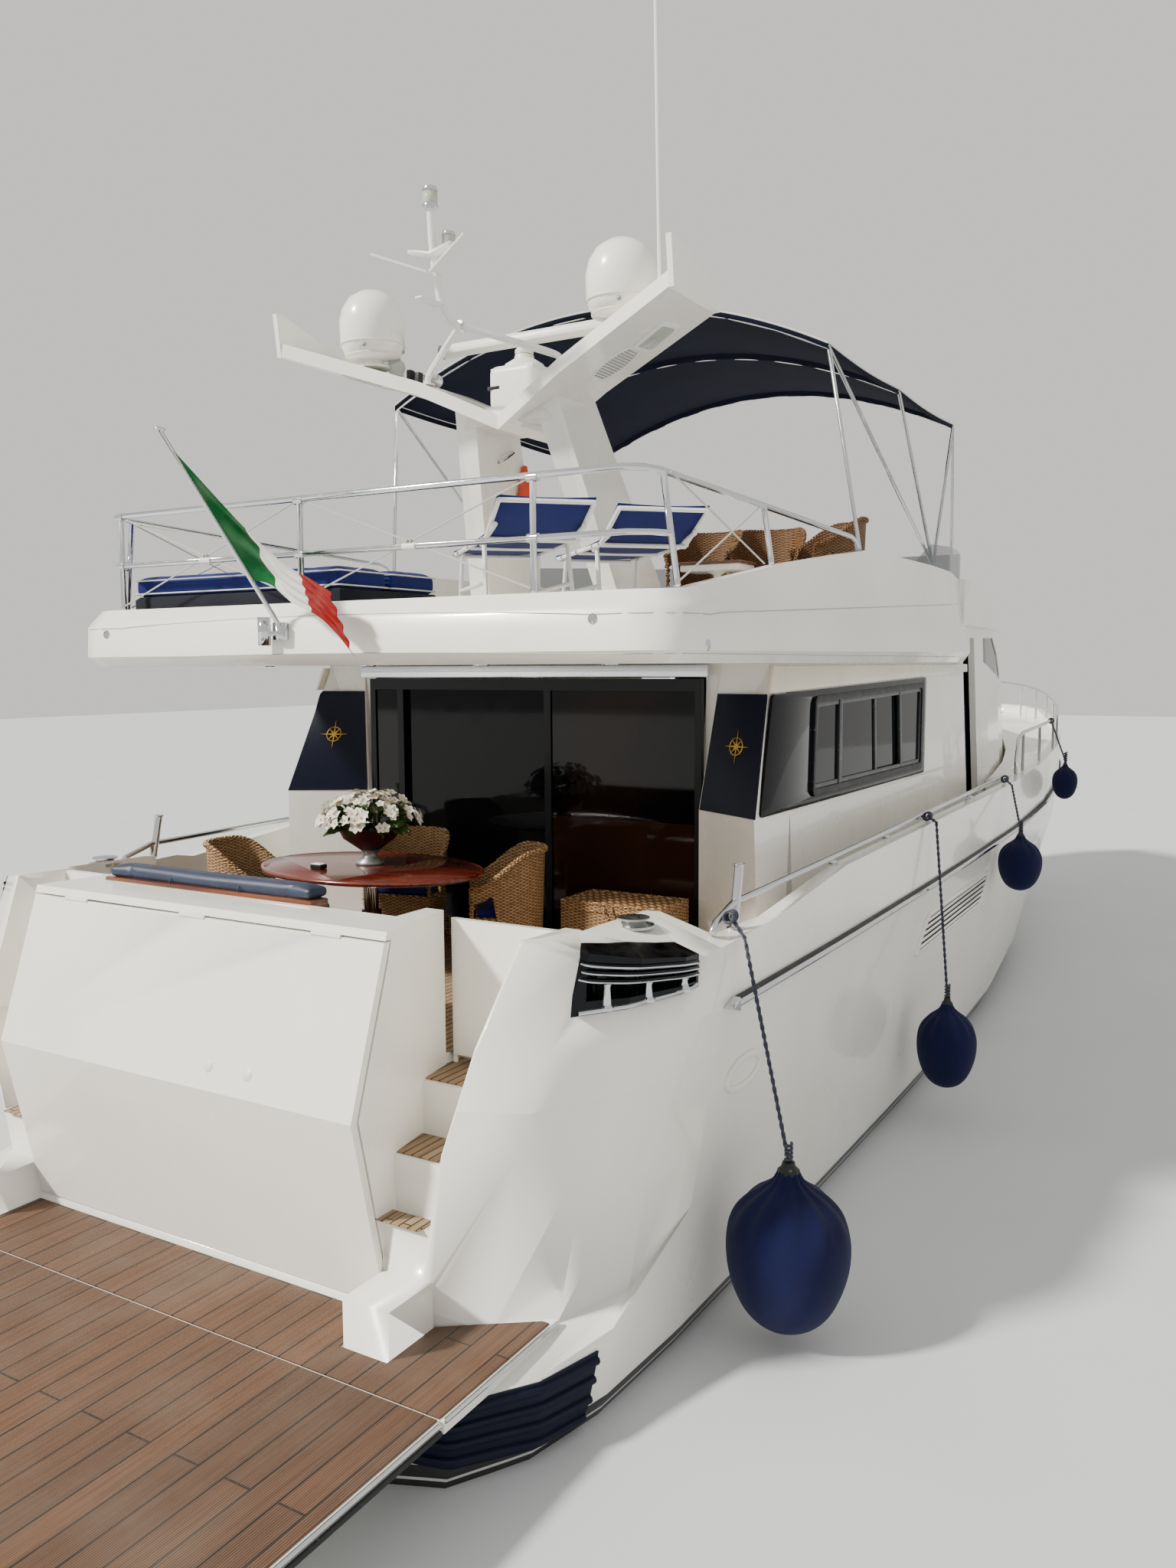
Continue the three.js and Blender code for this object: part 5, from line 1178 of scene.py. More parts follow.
# %% Rail fittings
RAIL_BASE = [(0.0, 0.0), (0.042, 0.0), (0.042, 0.006), (0.026, 0.012), (0.024, 0.030), (0.0, 0.030)]
feet = [top_of("deck_moulding", 2.5, station, 3) for station in (1.79, 3.5, 4.75, 6.0, 7.5)]
bases = [turned("rail_base", RAIL_BASE, foot, stainless, steps=20) for foot in feet]
twin(joined("cap_rail_bases_starboard", bases))
holder_foot, holder_head = aboard(2.50, 1.80, 2.30), aboard(2.50, 1.87, 2.62)
holder_line = [holder_foot.lerp(holder_head, i / 6) for i in range(7)]
lip_line = [holder_head + Vector((0.030 * math.cos(a), 0.030 * math.sin(a), 0)) for a in circle(12)]
twin(joined("rod_holder_starboard", [pipe("rod_holder_tube", holder_line, 0.028, stainless, sides=4),
                                     pipe("rod_holder_lip", lip_line, 0.007, stainless, closed=True)]))
print(2 * len(bases), "rail bases and two rod holders are on")

# %% [markdown]
# A cushion is cut smaller than it ends up, because its filling swells it. A box is remeshed into small even
# squares and blown up as cloth for twenty steps without gravity, and no point may move farther than a cap.

# %% Helpers for cushions
STEPS = 20
PRESSURE = 4.0


def puffed(piece, voxel, cap):
    modify(piece, "REMESH", mode="VOXEL", voxel_size=voxel)
    before = [v.co.copy() for v in piece.data.vertices]
    take(piece)
    cloth = piece.modifiers.new("cloth", "CLOTH")
    cloth.settings.use_pressure = True
    cloth.settings.uniform_pressure_force = PRESSURE
    cloth.settings.effector_weights.gravity = 0
    cloth.point_cache.frame_end = STEPS
    for step in range(1, STEPS + 1):
        bpy.context.scene.frame_set(step)
    bpy.ops.object.modifier_apply(modifier=cloth.name)
    bpy.context.scene.frame_set(1)
    for vertex, was in zip(piece.data.vertices, before):
        move = vertex.co - was
        if move.length > cap:
            vertex.co = was + move.normalized() * cap
    return modify(piece, "SUBSURF", levels=1, render_levels=1)


def sewn(piece, name, look, voxel=0.014, cap=0.018, fill=0.8):
    puffed(piece, voxel, cap)
    settle(piece, name, look, smooth=60)
    return piece


def cushion(name, x0, x1, s0, s1, z0, z1, look, slack=0.010, **filling):
    """A padded box, cut a little smaller than the space it fills."""
    low = slack * 0.6
    piece = block(name, x0 + slack, x1 - slack, s0 + slack, s1 - slack, z0 + low, z1 - low, look, 0.02)
    return sewn(piece, name, look, **filling)


print("cushions swell for", STEPS, "steps")

# %% [markdown]
# The bench against the transom is varnished mahogany. It has three seat cushions and a back pad of navy
# leather cloth, and along the top of its back lies a soft roll with a seam every half metre. The table before
# it is an oval with a rounded rim.

# %% Bench and table rim
THIRDS = [(-1.155, -0.590), (-0.582, -0.018), (-0.010, 0.555)]
BENCH_WOOD = (("stile", -1.175, -1.085, 0.336, 2.03, 2.452), ("stile", 0.485, 0.575, 0.336, 2.03, 2.452),
              ("rail", -1.085, 0.485, 0.338, 2.375, 2.452), ("rail", -1.085, 0.485, 0.338, 2.03, 2.10),
              ("stile", -0.33, -0.27, 0.338, 2.10, 2.375))
seats = [cushion("bench_seat_cushion_%d" % (i + 1), x0, x1, 0.535, 1.03, 2.032, 2.122, navy_leather)
         for i, (x0, x1) in enumerate(THIRDS)]
table_line = [aboard(-0.40 + 0.880 * math.cos(a), 1.96 + 0.600 * math.sin(a), 2.3535) for a in circle(60)]
pipe("table_rim", table_line, 0.0185, table_wood, closed=True, sides=4)
backs = [cushion("bench_back_pad_%d" % (i + 1), x0, x1, 0.482, 0.545, 2.115, 2.455, navy_leather, cap=0.012)
         for i, (x0, x1) in enumerate(THIRDS)]
block("bench_top_rail", -1.175, 0.575, 0.322, 0.470, 2.425, 2.482, mahogany, 0.012)
cushion("bench_head_roll", -1.16, 0.56, 0.330, 0.500, 2.480, 2.548, navy_leather, 0.006, cap=0.016, fill=0.9)
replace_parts(seats[0], "bench_cushion")
roll_seams = []
for x in (-0.59, -0.01):
    line = [aboard(x, 0.418 + 0.083 * math.cos(a), 2.489 + 0.046 * math.sin(a)) for a in circle(14)]
    roll_seams.append(pipe("roll_seam", line, 0.0035, navy_leather, closed=True))
joined("bench_roll_seams", roll_seams)
joined("bench_back_frame", [block("bench_" + part, x0, x1, aft, 0.352, z0, z1, mahogany, 0.004)
                            for part, x0, x1, aft, z0, z1 in BENCH_WOOD])
print("the bench has", len(seats) + len(backs) + 1, "pads")

# %% [markdown]
# Cane furniture ends in a plait. Three strands turn round one line, a third of a turn apart, which is enough
# to read as a braid.

# %% Braids
def braid(name, line, radius, look, pitch=0.09, strands=3):
    parts = []
    for strand in range(strands):
        travelled, points = 0.0, []
        for i, here in enumerate(line):
            ahead = line[min(i + 1, len(line) - 1)] - line[max(i - 1, 0)]
            if i:
                travelled += (here - line[i - 1]).length
            side = ahead.cross(Vector((0.13, 0.07, 1))).normalized()
            rise = side.cross(ahead).normalized()
            angle = 2 * math.pi * (travelled / pitch + strand / strands)
            points.append(here + (side * math.cos(angle) + rise * math.sin(angle)) * radius * 0.62)
        parts.append(pipe("strand", points, radius * 0.55, look, sides=1))
    return joined(name, parts)


def stand_at(x, station, heading):
    """The place and the heading of a loose piece of furniture."""
    return Matrix.Translation(aboard(x, station, 0)) @ Matrix.Rotation(heading, 4, "Z")


print("a plait has three strands")

# %% [markdown]
# The tub chairs are a woven shell that is highest behind the back and open in an arch under each arm, with the
# plait running over the top and down both fronts. A woven skirt closes the sides below the seat, and a padded
# cushion lies on it.

# %% Tub chairs
CHAIR_RADIUS = 0.305
CHAIR_FRONT = 0.235
CHAIR_FOOT = 1.629
CHAIRS = {"port": (-1.56, 1.90, -1.2), "forward": (-0.78, 2.86, math.pi + 0.25), "starboard": (0.34, 2.56, 2.2)}


def chair_plan(share, radius=CHAIR_RADIUS, front=CHAIR_FRONT):
    """A point of the tub's plan, from the right front round the back to the left front."""
    arc = math.pi * radius
    at = share * (2 * front + arc)
    if at < front:
        return Vector((radius, front - at, 0))
    if at > front + arc:
        return Vector((-radius, at - front - arc, 0))
    angle = -(at - front) / radius
    return Vector((radius * math.cos(angle), radius * math.sin(angle), 0))


def tub_chair(name, place, look, floor_z=CHAIR_FOOT, seat_z=2.05, arm_z=2.225, back_z=2.47):
    """A woven tub chair; returns its shell."""
    stand = stand_at(*place)
    base, count, front = floor_z + 0.05, 44, CHAIR_FRONT

    def crest(p):
        return back_z + (arm_z - back_z) * eased((p.y + 0.22) / 0.45)

    def woven(p, z):
        """A place on the weave, which leans outwards as it rises."""
        flare = 0.90 + 0.10 * (z - base) / (crest(p) - base)
        return stand @ Vector((p.x * flare, p.y * flare if p.y < 0 else p.y, z))

    def flat_outline(inset, cut, z):
        """The plan at one height, a little smaller than the tub."""
        plan = [chair_plan(i / 24, CHAIR_RADIUS - inset, front - cut) for i in range(25)]
        return [stand @ Vector((p.x, p.y, z)) for p in plan]

    plan = [chair_plan(i / count) for i in range(count + 1)]
    lows = [base + (crest(p) - 0.095 - base) * eased(p.y / 0.09) for p in plan]
    rows = [[woven(p, low + (crest(p) - low) * level / 9) for p, low in zip(plan, lows)] for level in range(10)]
    shell = skin(name + "_shell", rows, look, thick=0.020)
    skirts, arches = [], []
    for side in (-1, 1):
        edge = [Vector((side * CHAIR_RADIUS, front - (front + 0.02) * i / 8, 0)) for i in range(9)]
        below = [[woven(p, base + (seat_z - 0.05 - base) * k / 4) for p in edge] for k in range(5)]
        skirts.append(skin("skirt", below, look, thick=0.018))
        arms = [rows[0][i] for i, p in enumerate(plan) if p.y > 0 and (i < count / 2) == (side > 0)]
        arches.append(braid("arch", flowing(arms, 2), 0.011, look))
    joined(name + "_skirt", skirts)
    joined(name + "_arch_rims", arches)
    uprights = [[stand @ Vector((side * CHAIR_RADIUS * 0.90, front, floor_z + 0.01 + (arm_z - floor_z) * k / 8))
                 for k in range(8)] for side in (1, -1)]
    over = uprights[0] + rows[-1] + uprights[1][::-1]
    braid(name + "_rim", flowing(over, 2), 0.020, look)
    foot = [chair_plan(i / 30, CHAIR_RADIUS * 0.90) for i in range(31)]
    foot_line = [stand @ Vector((p.x, p.y, floor_z + 0.055)) for p in foot]
    braid(name + "_foot_rim", flowing(foot_line, 2), 0.013, look)
    plate(name + "_seat", flat_outline(0.026, 0.01, seat_z - 0.07), (0, 0, 0.03), look, 0.006)
    corners = [(x, front - 0.012, z) for x, z in ((-0.27, floor_z + 0.10), (0.27, floor_z + 0.10),
                                                  (0.27, seat_z - 0.04), (-0.27, seat_z - 0.04))]
    inwards = stand.to_3x3() @ Vector((0, -0.015, 0))
    plate(name + "_apron", [stand @ Vector(corner) for corner in corners], inwards, look, 0.004)
    legs = []
    for side, along in ((-1, -0.16), (-1, 0.20), (1, -0.16), (1, 0.20)):
        ends = ((side * 0.25, along, floor_z), (side * 0.27, along, floor_z + 0.16))
        legs.append(pipe("leg", [stand @ Vector(end) for end in ends], 0.018, look))
    joined(name + "_legs", legs)
    pad = plate(name + "_cushion", flat_outline(0.040, 0.03, seat_z - 0.035), (0, 0, 0.055), navy_canvas, 0.014)
    sewn(pad, name + "_cushion", navy_canvas, 0.013, 0.014)
    return shell


for word, place in CHAIRS.items():
    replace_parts(tub_chair("woven_chair_" + word, place, wicker), "wicker_chair_" + word)
print(len(CHAIRS), "tub chairs are woven")

# %% [markdown]
# The wicker chest stands beside the saloon door. Plaits bind its lid and corners, and each end has a loop
# of cane to lift it by. They make the plain woven box read as basket work.

# %% Chest bindings
LID_BOX = (0.700, 1.500, 2.780, 3.230)
CHEST_BOX = (0.703, 1.497, 2.783, 3.227)
TONGUE = ((1.07, 2.765, 2.07), (1.07, 2.752, 2.03), (1.10, 2.750, 1.985), (1.13, 2.752, 2.03),
          (1.13, 2.765, 2.07))


def straight(a, b, steps=24):
    return [a.lerp(b, i / steps) for i in range(steps + 1)]


def boxed_line(x0, x1, s0, s1, z):
    corners = [aboard(x0, s0, z), aboard(x1, s0, z), aboard(x1, s1, z), aboard(x0, s1, z)]
    line = []
    for i, corner in enumerate(corners):
        line += straight(corner, corners[(i + 1) % 4])[:-1]
    return line + [corners[0]]


lid_parts = [braid("lid_plait", boxed_line(*LID_BOX, z), 0.013, wicker) for z in (2.032, 2.084)]
lid_parts.append(pipe("lid_tongue", flowing([aboard(*p) for p in TONGUE], 4), 0.007, wicker))
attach(joined("chest_lid_plaits", lid_parts), "chest_lid")
body_parts = [braid("foot_plait", boxed_line(*CHEST_BOX, 1.640), 0.013, wicker)]
for station in CHEST_BOX[2:]:
    for x in CHEST_BOX[:2]:
        upright = straight(aboard(x, station, 1.64), aboard(x, station, 2.015))
        body_parts.append(braid("corner_plait", upright, 0.012, wicker))
for x, out in ((0.70, -1), (1.50, 1)):
    arch = []
    for a in circle(12)[:13]:
        station, z = 3.005 + 0.09 * math.cos(a), 1.90 - 0.05 * math.sin(a)
        arch.append(aboard(x + out * 0.035 * math.sin(a), station, z))
    body_parts.append(braid("chest_loop", flowing(arch, 2), 0.010, wicker))
joined("chest_body_plaits", body_parts)
print("the chest is bound with", len(lid_parts) + len(body_parts), "lines of cane")

# %% [markdown]
# A bowl of white flowers stands on the table. One flower is five broad petals round a yellow heart. It is
# modelled once and set many times over a dome, each copy turned and sized a little differently by a seeded
# draw, so the bunch is the same on every run. Leaves fill the skirt below.

# %% Flowers
BUNCH = aboard(-0.47, 2.04, 2.665)
FLOWERS, LEAVES, PETALS = 135, 190, 5
PETAL_REACH, PETAL_WIDTH, PETAL_CUP = 0.037, 0.033, 0.010
HEART = [(0, 0.0), (0.006, 0.002), (0.006, 0.006), (0.0, 0.009)]


def scattered(name, pattern, spots, look):
    """Copies of one small piece, each with its own mesh, joined into one."""
    copies = []
    for spot in spots:
        copy = copy_of(pattern)
        copy.data.transform(spot)
        copies.append(copy)
    bpy.data.objects.remove(pattern)
    return settle(joined(name, copies), name, look, smooth=60)


def petal_fan():
    petals = []
    for k in range(PETALS):
        turn = Matrix.Rotation(2 * math.pi * k / PETALS, 3, "Z")
        rows = []
        for i in range(5):
            along = i / 4
            half = PETAL_WIDTH * math.sin(math.pi * (0.15 + 0.78 * along)) * 0.5
            height = PETAL_CUP * along * along - 0.004 * (i == 4)
            rows.append([turn @ Vector((side * half, PETAL_REACH * along + 0.002, height + 0.003 * abs(side)))
                         for side in (-1, 0, 1)])
        petals.append(skin("petal", rows, petal_white, smooth=60))
    return joined("petal_fan", petals)


draw = random.Random(11)
flower_spots = []
for _ in range(FLOWERS):
    height = draw.uniform(0.02, 1.0)
    angle = draw.uniform(0, 2 * math.pi)
    across = math.sqrt(1 - height * height)
    out = Vector((across * math.cos(angle), across * math.sin(angle), height))
    place = BUNCH + Vector((out.x * 0.365, out.y * 0.365, out.z * 0.235)) * draw.uniform(0.80, 1.06)
    facing = (out + Vector((draw.uniform(-0.4, 0.4), draw.uniform(-0.4, 0.4), 0.25))).normalized()
    turn = facing.to_track_quat("Z", "Y").to_matrix().to_4x4()
    spin = Matrix.Rotation(draw.uniform(0, 6), 4, "Z")
    flower_spots.append(Matrix.Translation(place) @ turn @ spin @ Matrix.Scale(draw.uniform(0.8, 1.25), 4))
scattered("flower_petals", petal_fan(), flower_spots, petal_white)
heart = turned("flower_heart_pattern", HEART, Vector((0, 0, 0)), flower_heart, steps=8)
scattered("flower_hearts", heart, flower_spots, flower_heart)
leaf_rows = []
for i in range(6):
    half = 0.020 * math.sin(math.pi * min(1, 0.1 + 0.9 * i / 5))
    leaf_rows.append([Vector((side * half, 0.09 * i / 5, 0.012 * math.sin(3 * i / 5) + 0.006 * abs(side)))
                      for side in (-1, 0, 1)])
leaf = skin("leaf_pattern", leaf_rows, leaf_green, smooth=60)
leaf_spots = []
for _ in range(LEAVES):
    angle = draw.uniform(0, 2 * math.pi)
    lift = draw.uniform(-0.35, 0.9)
    out = Vector((math.cos(angle), math.sin(angle), lift)).normalized()
    place = BUNCH + Vector((out.x * 0.27, out.y * 0.27, out.z * 0.15 - 0.015)) * draw.uniform(0.6, 1.0)
    turn = out.to_track_quat("Y", "Z").to_matrix().to_4x4()
    tilt = Matrix.Rotation(draw.uniform(-0.8, 0.8), 4, "Y")
    leaf_spots.append(Matrix.Translation(place) @ turn @ tilt @ Matrix.Scale(draw.uniform(0.7, 1.3), 4))
scattered("flower_leaves", leaf, leaf_spots, leaf_green)
block("table_case", -0.70, -0.60, 1.66, 1.73, 2.3710, 2.401, dark_aluminium, 0.006)
block("table_case_lid", -0.695, -0.605, 1.665, 1.725, 2.401, 2.408, white_plastic, 0.003)
print(len(flower_spots), "flowers and", len(leaf_spots), "leaves")

# %% [markdown]
# Two loungers stand on the flybridge deck with their backs raised. Each is a frame of white tube with splayed
# legs, and a sling of navy cloth stretched over it from foot to head. They are built square to the boat first
# and then turned and set down, like the real ones.

# %% Loungers
FLY_DECK = 4.022
LOUNGER_SEAT = 4.590
LOUNGER_HEAD = (-0.405, 4.770)
LOUNGERS = {"lounger_aft": (1.08, 1.86, 0.8), "lounger_forward": (1.49, 2.59, 0.8)}
BOLT = [(0, -0.004), (0.011, -0.004), (0.011, 0.002), (0.006, 0.006), (0, 0.006)]


def lounger_runs():
    """The frame's tubes, each a run from place to place, square to the boat."""
    seat, deck = LOUNGER_SEAT, FLY_DECK
    runs = []
    for side in (-0.295, 0.295):
        runs.append([(side, 1.245, seat), (side, 0.0, seat)])
        runs.append([(side, 0.03, seat), (side, *LOUNGER_HEAD)])
        for top, foot in ((0.20, 0.04), (1.04, 1.17)):
            runs.append([(side * 0.93, top, seat - 0.01), (side * 0.98, foot, deck + 0.01)])
    for along in (1.235, 0.60, 0.02):
        runs.append([(-0.295, along, seat - 0.008), (0.295, along, seat - 0.008)])
    runs.append([(-0.295, *LOUNGER_HEAD), (0.295, *LOUNGER_HEAD)])
    for foot in (0.058, 1.155):
        runs.append([(-0.285, foot, deck + 0.09), (0.285, foot, deck + 0.09)])
    for side in (-0.28, 0.28):
        runs.append([(side, 0.115, deck + 0.30), (side, 1.105, deck + 0.30)])
        runs.append([(side, 0.26, seat - 0.02), (side, -0.21, seat + 0.06)])
    return runs


def sling_profile():
    """The sling from foot to head, as pairs of place along and height; it sags between the cross tubes."""
    top = LOUNGER_SEAT + 0.020
    lying = [(1.235 - 1.205 * i / 16, top - 0.016 * math.sin(math.pi * i / 16)) for i in range(17)]
    shares = [i / 8 for i in range(1, 9)]
    rising = [(0.03 - 0.435 * t, top + 0.185 * t - 0.012 * math.sin(math.pi * t)) for t in shares]
    return lying + rising


def lounger(name, node_name, place):
    stand = stand_at(*place)
    bars = [pipe("bar", [stand @ Vector(p) for p in run], 0.0155, white_aluminium) for run in lounger_runs()]
    frame_tubes = joined(name + "_frame", bars)
    bolts = []
    for side in (-0.312, 0.312):
        out = stand.to_3x3() @ Vector((math.copysign(1, side), 0, 0))
        for along in (0.03, 0.20, 0.62, 1.04, 1.22):
            spot = stand @ Vector((side, along, LOUNGER_SEAT))
            bolts.append(turned("bolt", BOLT, spot, grey_aluminium, axis=out, steps=10))
    feet = []
    for side in (-1, 1):
        for along in (0.036, 1.174):
            ends = [(side * 0.289, along, FLY_DECK), (side * 0.286, along - 0.004, FLY_DECK + 0.035)]
            feet.append(pipe("foot", [stand @ Vector(end) for end in ends], 0.020, black_rubber))
    joined(name + "_bolts", bolts)
    joined(name + "_feet", feet)
    rows = [[stand @ Vector((-0.300 + 0.600 * i / 12, along, z - 0.010 * math.sin(math.pi * i / 12)))
             for i in range(13)] for along, z in sling_profile()]
    sling = skin(name + "_sling", rows, navy_canvas, thick=0.004, smooth=50)
    hems = [[row[k] + UP * 0.002 for row in rows] for k in (0, -1)] + [rows[k] for k in (0, 16, -1)]
    joined(name + "_hems", [pipe("hem", hem, 0.006, navy_canvas) for hem in hems])
    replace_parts(frame_tubes, node_name)


for name, place in LOUNGERS.items():
    lounger("deck_" + name, name, place)
print(len(LOUNGERS), "loungers are on deck")

# %% [markdown]
# The sunpad to port is a dark base cover with two thick navy pads on it, edged with a pale welt. The helm seat
# forward has a moulded base with a seat pad and a back pad.

# %% Sunpad and helm seat
WELT_X = (-2.103, -0.117)
block("sunpad_base", -2.105, -0.115, 1.395, 2.425, 4.021, 4.305, bag_canvas, 0.02)
pads = []
for word, s0, s1 in (("aft", 1.385, 1.905), ("forward", 1.915, 2.435)):
    pads.append(cushion("sunpad_cushion_" + word, -2.115, -0.105, s0, s1, 4.305, 4.440, navy_canvas,
                        voxel=0.02, cap=0.022))
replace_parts(pads[0], "sunpad")
welts = []
for s0, s1 in ((1.397, 1.893), (1.927, 2.423)):
    outline = rounded([(WELT_X[0], s0), (WELT_X[1], s0), (WELT_X[1], s1), (WELT_X[0], s1)], 0.03)
    for z in (4.326, 4.420):
        welts.append(pipe("welt", [aboard(x, s, z) for x, s in outline], 0.005, pale_webbing, closed=True))
joined("sunpad_welts", welts)
helm_base = block("helm_seat_base", 0.28, 1.33, 6.58, 7.12, 4.021, 4.395, white_gelcoat, 0.03)
cushion("helm_seat_pad", 0.27, 1.34, 6.62, 7.16, 4.395, 4.495, navy_leather, voxel=0.018)
cushion("helm_seat_back", 0.27, 1.34, 6.545, 6.66, 4.480, 4.950, navy_leather, voxel=0.018)
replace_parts(helm_base, "helm_seat")
print("sunpad and helm seat are covered")

# %% [markdown]
# Farther forward, brown rattan chairs stand round a small white table with a wooden top. They are woven like
# the chairs in the cockpit, a size larger and darker.

# %% Rattan seats on the flybridge
RATTAN = ((0.62, 5.42, math.pi), (1.18, 5.50, math.pi + 0.2), (1.80, 5.30, 2.3))
TABLE_LEG = [(0, 0), (0.16, 0), (0.16, 0.012), (0.03, 0.03), (0.028, 0.50), (0.10, 0.53), (0, 0.53)]
for number, place in enumerate(RATTAN, 1):
    tub_chair("rattan_seat_%d" % number, place, brown_wicker, 4.03, 4.45, 4.76, 4.98)
turned("side_table_leg", TABLE_LEG, aboard(1.12, 4.55, FLY_DECK), white_plastic)
block("side_table_body", 0.86, 1.38, 4.38, 4.72, 4.545, 4.600, white_gelcoat, 0.015)
block("side_table_top", 0.85, 1.39, 4.37, 4.73, 4.600, 4.622, mahogany, 0.008)
print(len(RATTAN), "rattan seats round a side table")

# %% [markdown]
# White cord is lashed crosswise in the bays of the after rail, from the top rail to the foot of the next
# stanchion, with a knot where the two cross. It is drawn tight, so it is straight. Short bright sleeves
# cover the rail where its tubes meet.

# %% Lashings on the after rail
RAIL_S = 1.268
BAYS = ((-2.05, -0.35), (-0.31, 1.45))
SLEEVE = [(0.0, -0.035), (0.027, -0.035), (0.028, -0.02), (0.028, 0.02), (0.027, 0.035), (0, 0.035)]
SMALL_SLEEVE = [(0.0, -0.05), (0.023, -0.05), (0.024, 0.05), (0, 0.05)]
lashings, knots = [], []
for left, right in BAYS:
    for a, b in ((left, right), (right, left)):
        lashings.append([aboard(a, RAIL_S, 4.862), aboard(b, RAIL_S, 4.235)])
    middle = aboard((left + right) / 2, RAIL_S, 4.548)
    knots.append([middle + Vector((0.016 * math.sin(3 * t), 0.014 * math.cos(2 * t), 0.016 * math.cos(3 * t)))
                  for t in circle(20)])
for side in (-1, 1):
    for a, b, c, d in ((1.50, 4.86, 2.78, 4.44), (2.78, 4.81, 1.50, 4.24)):
        lashings.append([aboard(side * 2.235, a, b), aboard(side * 2.265, c, d)])
joined("rail_lashings", [pipe("lashing", line, 0.0055, white_cord) for line in lashings])
joined("lashing_knots", [pipe("lashing_knot", line, 0.006, white_cord, closed=True) for line in knots])
sleeves = []
for x in (-2.06, -0.33, 1.47):
    for z in (4.862, 4.52):
        sleeves.append(turned("rail_sleeve", SLEEVE, aboard(x, RAIL_S, z), stainless, axis=(1, 0, 0), steps=16))
for x in (-1.2, 0.57):
    spot = aboard(x, RAIL_S, 4.52)
    sleeves.append(turned("rail_sleeve", SMALL_SLEEVE, spot, white_plastic, axis=(1, 0, 0), steps=16))
joined("rail_sleeves", sleeves)
print(len(lashings), "lashings")

# %% [markdown]
# The ensign is one piece of light cloth in three upright bands. It hangs from a raked staff and falls in soft
# folds, so the skin is laid over slanting columns and waved more and more towards its free edge. Its bands
# follow the cloth, so the colour is read from the sheet's own map.

# %% Ensign
FOLDS = [((-0.549, 0.461, 5.073), (-0.389, 0.906, 4.334)), ((-0.360, 0.700, 4.740), (-0.255, 0.945, 4.300)),
         ((-0.120, 0.850, 4.450), (-0.090, 0.930, 4.190)), ((0.080, 0.900, 4.330), (0.130, 0.960, 4.080)),
         ((0.240, 0.905, 4.240), (0.390, 0.940, 3.850))]
upper, lower = (flowing([aboard(*fold[end]) for fold in FOLDS], 12) for end in (0, 1))
ACROSS, DOWN = len(upper), 27


def fold_depth(u, v):
    """How far the cloth stands out of its plane, from hoist to fly and from top to bottom."""
    broad = math.sin(math.pi * min(1.0, 2.2 * u)) * math.sin(2 * math.pi * (2.1 * v + 0.5 * u))
    broad = 0.035 * broad * math.sin(math.pi * min(1, 1.2 * u))
    return broad + 0.018 * u * math.sin(2 * math.pi * (4.0 * v - 1.3 * u))


def flag_cloth():
    look = Finish("flag_bunting_woven", "e8e6de", 0.9, Specular_IOR_Level=0.15)
    u, v, _ = look.node("SeparateXYZ", (look.node("UVMap", uv_map="cloth"),)).node.outputs
    bands = "145a2e"
    for limit, colour in ((0.335, "e0ded6"), (0.665, "8f0f10")):
        past = look.node("Math", (u, limit), operation="GREATER_THAN")
        bands = look.node("Mix", {0: past, 6: bands, 7: colour}, 2, data_type="RGBA")
    look.set(Base_Color=look.mottled(bands, "c9c4b8", 6.0, 5, 0, 0.10, 0.4, 0.8))
    rows = look.node("Math", (v, 1400.0), operation="MULTIPLY")
    creased(look, look.node("Math", (rows,), operation="SINE"), 0.2, 0.001, 25.0, 3, 2.0)
    return look.material


flag_rows = []
for j in range(DOWN):
    v = j / (DOWN - 1)
    depths = [fold_depth(i / (ACROSS - 1), v) for i in range(ACROSS)]
    row = [a.lerp(b, v) for a, b in zip(upper, lower)]
    flag_rows.append([place + Vector((0.25 * wave, -wave, 0.0)) for place, wave in zip(row, depths)])
deselect()
bpy.ops.mesh.primitive_grid_add(x_subdivisions=ACROSS - 1, y_subdivisions=DOWN - 1, calc_uvs=True)
flag = laid_over([place for row in flag_rows for place in row])
flag.data.uv_layers[0].name = "cloth"
modify(flag, "SOLIDIFY", thickness=0.002, offset=0)
settle(flag, "ensign_cloth", flag_cloth(), smooth=70)
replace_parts(flag, "ensign")
pipe("ensign_halyard", [row[0] + Vector((-0.004, -0.003, 0)) for row in flag_rows], 0.006, white_cord)

# %% [markdown]
# The bimini is a single sheet of navy canvas stretched over three hoops. It is highest on the centreline and
# dips a little between the hoops. Welts bind its edges, and flat seams follow the hoops, where pockets of the
# same cloth hold them.

# %% Bimini
HOOPS = (4.43, 6.25, 8.12)
HALF_WIDTH = 2.09
POCKET = ((-0.055, 0.0), (-0.030, 0.018), (-0.018, 0.034), (0.0, 0.040), (0.018, 0.034), (0.030, 0.018),
          (0.055, 0.0))
CANOPY_X = [HALF_WIDTH * (i / 20 - 1) for i in range(41)]
CANOPY_S = [4.40 + 3.75 * j / 48 for j in range(49)]


def canopy_place(x, station, off=0.0):
    """A place on the top of the canopy; the cloth dips between its hoops."""
    dip = 0.0
    for a, b in zip(HOOPS, HOOPS[1:]):
        if a < station < b:
            dip = 0.026 * math.sin(math.pi * (station - a) / (b - a))
    height = 6.205 + 0.535 * (1 - (x / HALF_WIDTH) ** 2)
    return aboard(x, station, height - dip + off)


def hoop_line(station, off):
    return [canopy_place(x, station, off) for x in CANOPY_X]


def side_line(x, off):
    return [canopy_place(x, station, off) for station in CANOPY_S]


